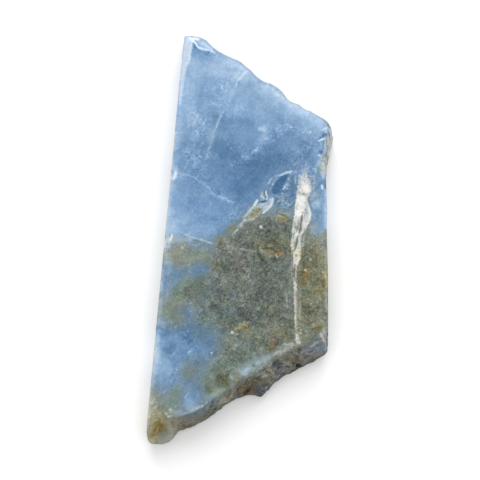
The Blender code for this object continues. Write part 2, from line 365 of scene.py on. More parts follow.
def build_mesh():
    rows = perimeter()
    rows[:, :2] -= SHIFT
    rows[:, 2:4] -= SHIFT
    grid, share, turn = side_profile(rows)
    n = len(rows)
    side = grid.reshape(-1, 3)
    index = np.arange(n * RINGS).reshape(n, RINGS)
    a, b = index, np.roll(index, -1, 0)
    quads = np.stack([a[:, :-1], b[:, :-1], b[:, 1:], a[:, 1:]], -1).reshape(-1, 4)
    side_faces = np.concatenate([quads[:, [0, 1, 2]], quads[:, [0, 2, 3]]])

    top_ring, foot_ring = index[:, 0], index[:, -1]
    fine = in_frame([p[0] for p in FINE_PART], [p[1] for p in FINE_PART], np.zeros(len(FINE_PART))) - SHIFT
    top_grid, top_faces = filled(grid[:, 0, :2], COARSE_STEP, COARSE_STEP * 0.6, fine)
    foot_grid, foot_faces = filled(grid[:, -1, :2], 0.00045, 0.00022)
    top_map = np.concatenate([top_ring, n * RINGS + np.arange(len(top_grid))])
    foot_map = np.concatenate([foot_ring, n * RINGS + len(top_grid) + np.arange(len(foot_grid))])
    points = np.concatenate([side,
                             np.concatenate([top_grid, np.full((len(top_grid), 1), THICKNESS)], 1),
                             np.concatenate([foot_grid, np.zeros((len(foot_grid), 1))], 1)])

    def facing(faces, up):
        a, b, c = (points[faces[:, k]] for k in range(3))
        turned = np.cross(b - a, c - a)[:, 2] * up < 0
        faces[turned] = faces[turned][:, ::-1]
        return faces

    top_faces = facing(top_map[top_faces], 1)
    foot_faces = facing(foot_map[foot_faces], -1)
    faces = np.concatenate([side_faces, top_faces, foot_faces])
    where = np.concatenate([np.zeros(n * RINGS), np.ones(len(top_grid)), np.full(len(foot_grid), 2)]).astype(int)
    ring = np.concatenate([np.tile(np.arange(RINGS), n), np.full(len(top_grid), -1), np.full(len(foot_grid), RINGS)])
    shares = np.concatenate([np.repeat(share, RINGS, 0), np.zeros((len(top_grid) + len(foot_grid), 4))])
    rim = np.concatenate([np.repeat(rows[:, 4], RINGS), np.zeros(len(top_grid) + len(foot_grid))])
    return points, faces, where, ring, shares, rim


# ---------------------------------------------------------------- painting
# Every mark below is a stroke placed on a feature of the stone: points
# (x, y, radius) in plan readings. TONE strokes carry a lightness from 0 to 255,
# set by comparing with the photograph, and the others a weight.
def curve(line, step=2.0):
    """A stroke's points on a smooth curve."""
    pts = np.array([p if len(p) == 3 else (*p, 1.0) for p in line], float)
    if len(pts) == 1:
        return np.concatenate([pts, pts + [[0.01, 0, 0]]])
    if len(pts) == 2:
        return pts
    ends = np.concatenate([[2 * pts[0] - pts[1]], pts, [2 * pts[-1] - pts[-2]]])
    out = []
    for a, b, c, d in zip(ends, ends[1:], ends[2:], ends[3:]):
        parts = max(1, int(round(math.hypot(*(c - b)[:2]) / step)))
        out += [catmull(a, b, c, d, k / parts) for k in range(parts)]
    return np.array(out + [pts[-1]])


def follow(P, line, reach):
    """Rows of P near a stroke, their distance to it signed by the side they are on, its radius there, and the way along it from 0 to 1."""
    pts = curve(line)
    span = reach * pts[:, 2].max() + 0.5 if reach > 0 else -reach
    low, high = pts[:, :2].min(0) - span, pts[:, :2].max(0) + span
    pick = np.nonzero((P[:, 0] > low[0]) & (P[:, 0] < high[0]) & (P[:, 1] > low[1]) & (P[:, 1] < high[1]))[0]
    q = P[pick]
    best = np.full(len(q), 1e9)
    side, radius, way = np.ones(len(q)), np.ones(len(q)), np.zeros(len(q))
    lengths = np.hypot(*np.diff(pts[:, :2], axis=0).T)
    total, gone = max(lengths.sum(), 1e-9), 0.0
    for a, b, length in zip(pts[:-1], pts[1:], lengths):
        d = (b - a)[:2]
        raw = ((q - a[:2]) @ d) / max(length ** 2, 1e-12)
        t = np.clip(raw, 0, 1)
        off = q - (a[:2] + t[:, None] * d)
        dist = np.hypot(off[:, 0], off[:, 1])
        near = dist < best
        best[near] = dist[near]
        side[near] = np.where(d[0] * off[near, 1] - d[1] * off[near, 0] < 0, -1, 1)
        radius[near] = (a[2] + (b[2] - a[2]) * t)[near]
        way[near] = ((gone + length * raw) / total)[near]
        gone += length
    return pick, best * side, radius, way


def wash(field, P, value, weight, soft, line):
    """Pull a field towards a value under a stroke. soft 1 fades from its middle line to twice its radius."""
    pick, dist, radius, _ = follow(P, line, 1.0 + soft)
    w = weight * (1 - smooth(1 - soft, 1 + soft, np.abs(dist) / radius))
    field[pick] += (value - field[pick]) * w


def cover(field, P, weight, soft, line):
    pick, dist, radius, _ = follow(P, line, 1.0 + soft)
    w = weight * (1 - smooth(1 - soft, 1 + soft, np.abs(dist) / radius))
    field[pick] = np.maximum(field[pick], w)


def area(P, outline, edge):
    """1 inside an outline, 0 outside, 0.5 on it, over edge readings each way."""
    poly = np.array(outline, float)
    closed = curve([tuple(p) for p in np.concatenate([poly, poly[:1]])], 3.0)[:-1, :2]
    low, high = closed.min(0) - edge, closed.max(0) + edge
    pick = np.nonzero(((P > low) & (P < high)).all(1))[0]
    q = P[pick]
    near = np.full(len(q), 1e9)
    for a, b in zip(closed, np.roll(closed, -1, 0)):
        box = ((q > np.minimum(a, b) - edge) & (q < np.maximum(a, b) + edge)).all(1)
        near[box] = np.minimum(near[box], segment_distance(q[box], a, b))
    signed = np.where(in_polygon(q, closed), 1, -1) * np.minimum(near, edge)
    out = np.zeros(len(P))
    out[pick] = 0.5 + 0.5 * signed / edge
    return out


def lay(field, P, value, edge, outline):
    """Pull a field to a value inside an outline, fading over its edge."""
    field += (value - field) * smooth(0, 1, area(P, outline, edge))


def hairlines(P, lines):
    """Distance to the nearest hairline, its strength and its half width, for lines that stay clear of each other."""
    dist, strength, width = np.full(len(P), 9.0), np.zeros(len(P)), np.full(len(P), 0.8)
    for force, line in lines:
        pick, d, radius, way = follow(P, line, -3.6)
        pts = curve(line)
        total = max(np.hypot(*np.diff(pts[:, :2], axis=0).T).sum(), 0.1)
        beyond = np.maximum(0, np.maximum(-way, way - 1) * total)
        s = force * (1 - smooth(2.0, 3.4, np.abs(d))) * (1 - smooth(0.0, 1.0, beyond)) * smooth(-0.5, 1.2, np.minimum(way, 1 - way) * total)
        better = np.abs(d) < np.abs(dist[pick])
        dist[pick[better]], strength[pick[better]], width[pick[better]] = d[better], s[better], radius[better]
    return dist, strength, width


BLUE_OUTLINES = dict(
    matrix=[(259, 211), (254, 217.5), (247.5, 221.4), (241.5, 227.5), (233, 236), (224, 238.5), (217, 244), (212, 250),
            (211, 258), (213, 268), (212, 276), (204, 280), (194, 280), (187, 281), (181, 288), (176, 296), (174, 303),
            (180, 303), (190, 301.5), (197, 304), (199, 311), (195, 320), (199, 326), (208, 323), (215, 326), (219, 333),
            (221, 343), (221, 353), (216, 359), (209, 366), (204, 374), (203.5, 384), (206, 393), (213, 391), (220, 386),
            (229, 384), (230, 376), (236, 368), (243, 362), (252, 357), (262, 354), (272, 350), (281, 345), (290, 342),
            (297, 341), (303, 342), (310, 338), (318, 333.5), (334, 330), (334, 300), (334, 270), (334, 240), (326, 237),
            (316, 235), (308, 233), (303, 240), (300, 246), (293, 246), (292, 225), (291.5, 216), (287, 212), (279, 211),
            (270, 212.5), (264, 213.5)],
    olive_upper=[(163, 246), (168, 243), (178, 243), (186, 244), (196, 247), (203, 247), (209, 250), (208, 257), (203, 259),
                 (198, 261), (195, 266), (190, 270), (183, 270), (177, 266), (172, 262), (168, 258), (163, 255)],
    olive_lower=[(187, 273), (190, 279), (194, 281), (186, 289), (181, 298), (178, 306), (177, 316), (173, 323), (167, 322),
                 (163.5, 312), (166, 302), (171, 292), (178, 283), (183, 277)],
)
VEIN_EDGE = [(305.6, 167), (304.2, 169.6), (301.8, 172.8), (300.2, 176.6), (299.2, 181), (298.2, 185), (297.4, 189), (296.9, 193), (296.2, 198),
             (295.2, 203), (294.5, 213), (293.4, 219), (292.5, 226), (291.9, 233), (291.2, 240), (291.0, 246), (292.2, 251), (293.2, 256),
             (293.2, 262), (292.9, 268), (292.8, 274), (292.9, 279), (293.5, 284), (294.0, 290), (294.1, 296), (294.1, 302), (294.1, 310),
             (294.2, 317), (294.3, 324), (294.9, 330), (295.3, 335), (295.8, 339), (297.0, 344.4), (300.6, 344.4), (299.8, 340), (298.6, 336),
             (297.9, 330), (297.7, 324), (297.7, 317), (297.7, 310), (297.8, 303), (297.6, 297), (297.3, 290), (297.0, 285), (296.2, 279),
             (296.6, 273), (297.0, 267), (298.4, 263), (300.4, 258), (301.2, 253), (301.2, 248), (301.2, 242), (301.0, 237), (303.0, 233),
             (305.6, 229.4), (307.6, 226), (309.6, 222), (310.8, 217.4), (311.1, 213), (310.3, 209), (308.6, 205), (307.2, 200.6), (308.4, 197),
             (310.7, 193), (311.6, 188.4), (310.6, 184), (309.8, 179), (308.6, 175), (307.0, 170.4)]

# lightness of the stone's inside, broad strokes first
TONE = [
    # pale opal along the upper left, and the cloudy upper end
    (168, 1.0, 1, [(196, 74, 20), (214, 84, 20), (230, 90, 18)]),
    (176, 0.9, 1, [(182, 60, 10), (181, 90, 9), (178, 120, 8), (174, 150, 7)]),
    (183, 0.9, 1, [(202, 69, 7), (218, 66, 8), (232, 64, 7)]),
    (174, 0.8, 1, [(192, 64, 6), (193, 74, 6)]),
    (196, 0.7, 1, [(241, 70, 2.6), (236, 75, 3.4), (232, 81, 3)]),
    (190, 0.5, 1, [(221, 65, 3), (232, 66, 4)]),
    (162, 0.8, 1, [(206, 79, 4), (214, 81, 5)]),
    (160, 0.7, 1, [(212, 94, 5), (220, 92, 4)]),
    (154, 0.7, 1, [(190, 97, 4), (197, 96, 3)]),
    (152, 0.7, 1, [(192, 101, 3), (195, 104, 3)]),
    (180, 0.8, 1, [(231, 91, 4), (228, 100, 4), (224, 106, 3)]),
    (168, 0.9, 1, [(242, 88, 5), (250, 91, 6), (255, 88, 5)]),
    (174, 0.7, 1, [(236, 106, 5), (247, 101, 6), (259, 104, 6)]),
    (176, 0.5, 1, [(212, 105, 4), (204, 106, 4)]),
    # the paler band that follows the broken edge: painted light coming through the thin edge
    (190, 0.95, 1, [(262, 89, 6), (272, 96, 7), (284, 104, 7), (297, 111, 6.5), (310, 117, 6), (321, 124, 6)]),
    (182, 0.8, 1, [(270, 104, 6), (284, 110, 4)]),
    (184, 0.8, 1, [(244, 70, 4), (254, 79, 4)]),
    (178, 0.9, 1, [(304, 123, 5), (316, 130, 6)]),
    # the speckled middle of the upper half
    (148, 0.9, 1, [(225, 130, 10), (238, 128, 10), (250, 134, 8)]),
    (141, 0.85, 1, [(209, 113, 3.5), (213, 117, 4)]),
    (134, 0.9, 1, [(223.5, 121, 3), (225, 130, 3.4)]),
    (138, 0.8, 1, [(249, 119, 4), (244, 123, 3.6)]),
    (154, 0.8, 1, [(243, 135, 5), (251, 141, 4), (254, 131, 4)]),
    (172, 0.75, 1, [(193, 115, 4.5), (197, 121, 4.5)]),
    (163, 0.8, 1, [(205, 106, 5), (203, 122, 5), (207, 130, 4)]),
    (172, 0.8, 1, [(197, 131, 3.5), (194, 137, 4)]),
    (146, 0.8, 1, [(187.5, 136, 2.6)]),
    (155, 0.7, 1, [(185, 127, 4), (189, 120, 3)]),
    (152, 0.75, 1, [(216, 122, 3.2), (217, 131, 3)]),
    (168, 0.8, 1, [(212.4, 128, 2.5), (210.6, 136, 3), (209.6, 142, 2.2)]),
    (160, 0.9, 1, [(276, 108, 7), (272, 121, 7), (277, 127, 6)]),
    (143, 0.85, 1, [(279, 114.4, 2.8), (284, 118, 2.4)]),
    (147, 0.85, 1, [(288, 125, 6), (286, 138, 6), (281, 134, 5)]),
    (133, 0.8, 1, [(286.5, 134, 3.6), (289, 140, 3)]),
    (154, 0.8, 1, [(296, 127, 5), (300, 133, 4)]),
    (171, 0.8, 1, [(306, 130, 4), (310, 132.5, 3)]),
    (150, 0.7, 1, [(284, 149, 4), (292, 148, 4)]),
    # dark middle
    (127, 1.0, 1, [(222, 150, 8), (228, 168, 10), (242, 180, 12), (236, 160, 10)]),
    (118, 1.0, 1, [(222, 152, 5), (230, 150, 6)]),
    (119, 1.0, 1, [(246, 186, 10), (256, 172, 12), (270, 160, 10), (284, 158, 6)]),
    (111, 0.8, 1, [(256, 164, 7), (262, 166, 5)]),
    (115, 0.8, 1, [(246, 190, 6), (236, 186, 5)]),
    (128, 0.9, 1, [(259, 152, 5), (270, 147, 6), (276, 143, 4)]),
    (140, 0.7, 1, [(248, 150, 4), (243, 144, 4)]),
    (139, 0.8, 1, [(228, 168, 2.6), (236, 164, 3)]),
    (136, 0.6, 1, [(228, 175, 3)]),
    (128, 0.9, 1, [(304, 146, 8), (303, 158, 7), (298, 158, 6)]),
    (137, 0.7, 1, [(290, 154, 4), (296, 145, 4)]),
    (135, 0.7, 1, [(291, 171, 5), (298, 166, 4)]),
    (155, 0.8, 1, [(315, 143, 5), (318, 149, 4)]),
    (176, 0.7, 1, [(318, 160, 4), (317, 168, 4)]),
    (138, 0.7, 1, [(312, 160, 3), (312, 172, 3)]),
    # left half, lighter towards the lower left
    (146, 0.9, 1, [(186, 148, 7), (190, 160, 8), (180, 152, 5)]),
    (137, 0.9, 1, [(201, 154, 4), (200, 146, 4)]),
    (155, 0.6, 1, [(209, 150, 3), (208, 156, 3)]),
    (136, 0.8, 1, [(213, 158, 4), (212, 176, 5)]),
    (150, 0.6, 1, [(204, 167, 3), (202, 173, 3)]),
    (143, 0.9, 1, [(194, 172, 6), (197, 188, 8)]),
    (156, 0.9, 1, [(178, 186, 8), (182, 200, 9)]),
    (147, 0.8, 1, [(206, 200, 8), (196, 206, 6)]),
    (152, 0.7, 1, [(222, 208, 7), (234, 209, 5)]),
    (140, 0.8, 1, [(212, 217, 5), (224, 218, 6), (233, 224, 5)]),
    (132, 0.7, 1, [(231, 228, 3)]),
    (131, 0.8, 1, [(236, 200, 4), (246, 203, 5)]),
    (166, 0.9, 1, [(190, 218, 8), (194, 230, 8), (204, 229, 7)]),
    (176, 0.8, 1, [(175, 212, 7), (173, 226, 8), (178, 234, 6)]),
    (152, 0.6, 1, [(188, 210, 3), (193, 213, 3)]),
    (160, 0.8, 1, [(207, 236, 4), (214, 232, 4)]),
    (148, 0.8, 1, [(200, 240, 3), (214, 240, 4)]),
    # deep pocket under the white fracture, pale facet below it
    (97, 1.0, .6, [(279.6, 180.5, 3.6), (277.6, 186, 3.6), (274.6, 189.8, 2.6)]),
    (116, 0.9, 1, [(288, 177, 3), (292, 186, 4), (290, 196, 4), (283, 193, 4), (278, 193.5, 3)]),
    (140, 0.7, 1, [(268, 181, 3), (266, 186, 3)]),
    (128, 0.9, 1, [(276, 200, 3), (284, 202, 5), (290, 206, 4)]),
    (146, 0.6, 1, [(275, 205, 3), (281, 208, 3)]),
    # between vein and right edge
    (140, 1.0, 1, [(316, 182, 6), (319, 200, 7), (319, 222, 7)]),
    (150, 0.7, 1, [(314, 194, 3), (322, 192, 3)]),
    (166, 0.8, 1, [(318.6, 202, 2.8), (316.6, 206, 2.4)]),
    (141, 0.8, 1, [(316, 214, 4)]),
    (160, 0.8, 1, [(314, 229, 3.6), (322, 231, 4)]),
    # grey matrix
    (108, 1.0, 1, [(246, 236, 12), (262, 232, 12), (276, 234, 12), (284, 228, 8)]),
    (99, 0.8, 1, [(270, 226, 6), (276, 236, 6), (270, 244, 6)]),
    (110, 1.0, 1, [(236, 262, 22), (262, 262, 22), (284, 252, 12)]),
    (112, 1.0, 1, [(210, 292, 16), (240, 292, 22), (270, 290, 20), (286, 276, 10)]),
    (108, 1.0, 1, [(226, 318, 14), (252, 316, 18), (278, 316, 16)]),
    (124, 0.7, 1, [(231, 247, 5), (226, 251, 4), (235, 250, 3)]),
    (102, 0.8, 1, [(224, 265, 4), (229, 269, 4)]),
    (100, 0.8, 1, [(246, 264, 3.4), (244, 270, 3.4)]),
    (124, 0.7, 1, [(248, 279, 4), (240, 277, 4)]),
    (126, 0.7, 1, [(234, 294, 5), (238, 300, 4), (244, 293, 4)]),
    (100, 0.8, 1, [(261, 286, 3.4), (267, 282, 3)]),
    (98, 0.7, 1, [(254, 300, 3.4), (258, 296, 3)]),
    (94, 0.8, 1, [(242, 316, 2.6), (246, 318.5, 2.4)]),
    (116, 0.7, 1, [(203, 291, 5), (211, 292, 4)]),
    (126, 0.6, 1, [(222, 287, 4), (224, 280, 3)]),
    (105, 0.8, 1, [(212, 304, 5), (218, 309, 4)]),
    (118, 0.7, 1, [(228, 308, 4), (222, 304, 3)]),
    (124, 0.7, 1, [(272, 326, 6), (282, 328, 4)]),
    (118, 0.8, 1, [(216, 324, 5), (222, 330, 5)]),
    (130, 0.8, 1, [(229, 344, 5), (236, 346, 5)]),
    (124, 0.9, 1, [(248, 340, 7), (240, 348, 6), (258, 346, 5)]),
    (108, 0.8, 1, [(268, 344, 6), (276, 341, 4)]),
    (110, 0.9, 1, [(288, 332, 6), (291, 322, 5)]),
    (124, 0.7, 1, [(287, 292, 2.4), (287, 306, 2.4)]),
    # matrix right of the vein
    (120, 1.0, 1, [(312, 246, 10), (314, 270, 12), (314, 300, 12), (312, 322, 10)]),
    (108, 0.8, 1, [(308, 250, 4), (304, 270, 4), (303, 282, 4)]),
    (132, 0.8, 1, [(323, 246, 4), (322, 262, 4), (324, 292, 3)]),
    (108, 0.8, 1, [(322, 279, 2.6)]),
    (130, 0.7, 1, [(315, 288, 4), (318, 296, 4)]),
    (100, 0.8, 1, [(309, 311, 3.6), (303, 306, 3)]),
    (138, 0.7, 1, [(313, 324.6, 2.6), (321, 320, 3)]),
    (118, 0.8, 1, [(308, 336, 6), (314, 333, 4)]),
    # olive patches of the left side and the blue between them
    (150, 1.0, 1, [(166, 246, 5), (166, 258, 5), (164, 270, 5)]),
    (142, 1.0, 1, [(178, 250, 7), (190, 256, 8), (203, 253, 5)]),
    (128, 0.7, 1, [(190, 251, 4), (195, 253, 3)]),
    (136, 1.0, 1, [(172, 268, 6), (168, 280, 7)]),
    (132, 0.9, 1, [(184, 268, 4), (179, 276, 4)]),
    (128, 0.9, 1, [(198, 266, 5), (196, 272, 4)]),
    (134, 0.7, 1, [(206, 268, 4), (214, 276, 4)]),
    (150, 0.8, 1, [(162, 290, 3), (160, 310, 3)]),
    (116, 0.9, 1, [(194, 286, 6), (188, 292, 6), (200, 282, 4)]),
    (130, 0.8, 1, [(175, 286, 4), (172, 298, 5)]),
    (126, 0.9, 1, [(172, 310, 6), (171, 318, 5)]),
    (124, 0.9, 1, [(184, 310, 5), (188, 314, 5)]),
    (138, 0.6, 1, [(192, 310, 3)]),
    (116, 0.9, 1, [(203, 316, 6), (208, 312, 5)]),
    # blue window below
    (122, 1.0, 1, [(186, 326, 8), (200, 332, 8), (208, 342, 8)]),
    (124, 1.0, .8, [(162, 330, 4), (172, 331, 4.5), (182, 328, 4)]),
    (114, 0.9, .8, [(187, 337, 4), (190, 342, 4)]),
    (116, 0.6, 1, [(186, 328, 3), (191, 331, 3)]),
    (146, 0.9, .8, [(171, 339, 4), (180, 341, 5), (178, 346, 4)]),
    (140, 0.8, 1, [(184, 352, 5), (190, 348, 4), (196, 350, 4)]),
    (125, 0.9, .8, [(169, 346, 4.6), (166, 352, 3.6), (172, 350, 3.6)]),
    (146, 0.7, 1, [(204, 350, 3), (208, 349, 2)]),
    (131, 0.9, 1, [(200, 360, 7), (192, 366, 8), (198, 376, 8)]),
    (128, 0.7, 1, [(174.6, 358, 2.6), (177, 362, 2)]),
    (150, 0.9, 1, [(178, 358, 4), (180, 366, 4)]),
    (172, 1.0, .7, [(155, 336, 4), (155, 350, 6.5), (158, 362, 9), (163, 369, 7), (168, 372, 5)]),
    (186, 0.6, 1, [(154, 344, 4), (155, 356, 4)]),
    (150, 0.9, 1, [(158, 378, 5), (168, 382, 6), (180, 382, 6)]),
    (132, 0.8, 1, [(190, 380, 6), (184, 374, 5)]),
    (142, 0.9, 1, [(156, 392, 7), (160, 400, 6)]),
    (134, 0.9, 1, [(176, 392, 6), (180, 398, 4)]),
    (128, 0.9, 1, [(206, 378, 6), (200, 388, 5), (212, 384, 4)]),
    (160, 0.9, 1, [(188, 400, 4), (190, 406, 5), (197, 408, 3)]),
    (140, 0.7, 1, [(200, 400, 4)]),
    (138, 0.8, 1, [(172, 402, 5), (178, 410, 4)]),
    (128, 0.8, 1, [(166, 405, 4), (162, 408, 4)]),
    (146, 0.9, 1, [(152, 408, 4), (152, 418, 4)]),
    # greenish lower middle and the pale aqua rim
    (120, 0.9, 1, [(224, 362, 6), (232, 356, 6)]),
    (134, 0.7, 1, [(216, 368, 4)]),
    (106, 0.9, 1, [(240, 358, 4.5), (244, 354, 3)]),
    (96, 0.95, 1, [(221, 379, 4.4), (225, 377, 3.4)]),
    (112, 0.8, 1, [(216, 384, 3)]),
    (106, 0.9, 1, [(209, 389.5, 3.4)]),
    (156, 0.95, 1, [(217.5, 392.6, 3.2), (211, 397.6, 2.4)]),
    (146, 0.9, 1, [(232, 378, 3.2)]),
    (160, 0.95, .8, [(241, 371, 3), (247, 369.6, 4.2), (255, 366.4, 4), (262, 361.6, 4), (270, 356.6, 2.6)]),
    (150, 0.8, 1, [(236, 370, 3), (244, 363, 3), (256, 358, 3)]),
    (150, 0.9, 1, [(276, 353, 2.6), (284, 350.4, 2.6), (290, 347, 2.4)]),
    (146, 0.9, 1, [(284, 344.6, 2.4), (290, 343.4, 2.4)]),
    # painted shade in a small pit, also carved in the skin's relief
    (104, 0.8, .8, [(253.9, 366.6, 1.5)]),
    # paler towards the sawn edges, where light comes through
    (184, 0.75, 1, [(181, 92, 5), (178, 122, 5), (175.6, 146, 4)]),
    (182, 0.8, 1, [(172.6, 160, 3.4), (170.6, 186, 3.6), (168.4, 210, 4.4), (166.4, 230, 5)]),
    (172, 0.6, 1, [(190, 90, 5), (190, 108, 5), (192, 122, 5)]),
    (176, 0.6, 1, [(210, 73, 4), (222, 75, 5), (236, 79, 4), (246, 79, 4)]),
    (174, 0.6, 1, [(240, 110, 4), (252, 111, 4), (264, 112, 5), (263, 122, 4)]),
    (168, 0.6, 1, [(262, 138, 4), (258, 142, 3)]),
    (152, 0.5, 1, [(296, 139, 5), (304, 134, 4)]),
    (158, 0.6, 1, [(305, 136, 3), (312, 138, 4)]),
    (166, 0.7, 1, [(324, 166, 4), (325, 184, 3), (324.6, 206, 4), (325.4, 226, 4)]),
    (150, 0.6, 1, [(315, 178, 3), (314, 190, 3), (315, 200, 3)]),
    (168, 0.6, 1, [(318.6, 202, 3), (316.6, 206, 2.6)]),
    (158, 0.6, 1, [(314, 226, 4), (322, 236, 4)]),
    (160, 0.7, 1, [(163.4, 262, 2.6), (160.6, 290, 2.6), (157.6, 322, 2.6)]),
    (150, 0.6, 1, [(167, 262, 3), (165, 276, 3)]),
    (186, 0.8, .8, [(154, 338, 3.6), (152.6, 356, 4), (151, 374, 3)]),
    (156, 0.6, 1, [(151, 388, 3), (150, 402, 3)]),
    (146, 0.6, 1, [(262, 205, 3), (255, 211, 3)]), (134, 0.5, 1, [(252, 217, 3), (258, 213, 3)]),
    (156, 0.5, 1, [(178, 214, 5), (176, 206, 4)]),
    (118, 0.6, 1, [(222, 345, 5), (232, 352, 5), (244, 351, 5), (258, 346, 5), (272, 340, 5), (288, 337, 4)]),
    (104, 0.6, 1, [(240, 359, 5), (232, 363, 4)]), (92, 0.7, 1, [(226, 381, 3.4), (220, 380, 3)]),
    (112, 0.5, 1, [(180, 295, 5), (192, 297, 5)]), (120, 0.5, 1, [(176, 292, 4)]),
    (194, .85, 1, [(214, 71, 5), (230, 74, 4), (244, 79, 4)]), (184, .8, 1, [(192, 66, 5), (196, 73, 4)]), (182, .8, 1, [(191, 86, 6), (188, 104, 6), (192, 120, 5)]), (166, .7, 1, [(188, 132, 4)]),
    (166, .6, 1, [(198, 53, 3)]), (172, .7, 1, [(220, 108, 5), (244, 113, 5), (262, 116, 4)]), (164, .8, 1, [(258, 124, 3.6), (271, 121, 3), (264, 139, 4)]), (188, .7, 1, [(276, 103, 4)]),
    (148, .7, 1, [(290, 140, 4), (296, 150, 4)]), (190, .9, 1, [(323, 128, 3)]), (160, .8, 1, [(316, 152, 3)]),
    (174, .9, 1, [(176, 158, 5)]), (197, .9, 1, [(174, 168, 2.6)]), (176, .9, 1, [(180, 176, 4)]), (186, .8, 1, [(172, 190, 4)]), (169, .9, 1, [(178, 198, 5)]), (192, .8, 1, [(170, 212, 4)]),
    (180, .9, 1, [(182, 220, 6)]), (198, .9, 1, [(172, 228, 5)]), (210, .9, 1, [(168, 238, 2.6)]), (176, .8, 1, [(178, 239, 4)]), (178, .8, 1, [(190, 234, 5)]), (159, .8, 1, [(205, 211, 5), (215, 212, 4)]),
    (129, .7, 1, [(244, 184, 6)]), (136, .7, 1, [(250, 193, 5)]), (137, .6, 1, [(290, 186, 3)]), (164, .8, 1, [(250, 218, 2)]), (160, .9, 1, [(240, 226, 2.6)]), (150, .7, 1, [(234, 231, 2.4)]),
    (174, .9, 1, [(314, 194, 2.4)]), (184, .9, 1, [(316, 205, 2.6)]), (168, .8, 1, [(312, 215, 2.4)]), (174, .9, 1, [(314, 229, 3)]), (156, .9, 1, [(320, 239, 3)]), (132, .8, 1, [(312, 246, 3.4)]),
    (192, .8, 1, [(325.4, 170, 1.6)]), (198, .8, 1, [(325.6, 190, 1.2), (325.8, 206, 1.4), (325.6, 226, 1.2)]),
    (176, .9, 1, [(166, 256, 3)]), (192, .8, 1, [(161.6, 270, 2.4), (160, 290, 2)]), (166, .9, 1, [(160, 323, 3)]), (190, .9, 1, [(157.6, 337, 3)]), (206, .95, 1, [(155, 350, 4), (155, 360, 4)]),
    (208, .9, 1, [(154, 369, 3.6)]), (182, .9, 1, [(152, 384, 3)]), (180, .9, 1, [(150.6, 400, 3)]), (175, .9, 1, [(150.6, 415, 3)]),
    (160, .9, 1, [(150, 429, 3)]), (166, .95, 1, [(153, 440, 3.4)]), (118, 1, 1, [(159.6, 429, 4.4)]), (138, 1, 1, [(168, 429, 4)]), (156, 1, 1, [(164, 440, 4)]), (132, .9, 1, [(173, 425, 3)]),
    (96, .9, .9, [(158.6, 424, 2.6), (161.4, 426.4, 2)]), (100, .9, .9, [(153.4, 433.6, 2.4), (156, 430, 1.6)]), (128, .8, 1, [(154, 424, 2.4)]), (128, .8, .9, [(157.4, 435.4, 1.4)]), (178, .7, .9, [(160, 442.6, 1.6), (166, 441.6, 1.4)]),
    (112, .8, 1, [(226, 385, 2.6), (222, 379, 4)]), (124, .7, 1, [(225, 363, 4)]), (106, .6, 1, [(268, 346, 5), (278, 342, 4)]), (112, .5, 1, [(300, 280, 3)]),
    (168, .8, 1, [(148.4, 405, 2), (147.6, 414, 2.2), (147.4, 424, 2.2)]), (150, .7, 1, [(155, 412, 4), (160, 418, 3)]), (122, .8, .9, [(151.6, 437, 1.6)]), (140, .8, 1, [(157, 440.6, 2)]), (152, .7, .9, [(150.4, 430.6, 1.4)]),
]
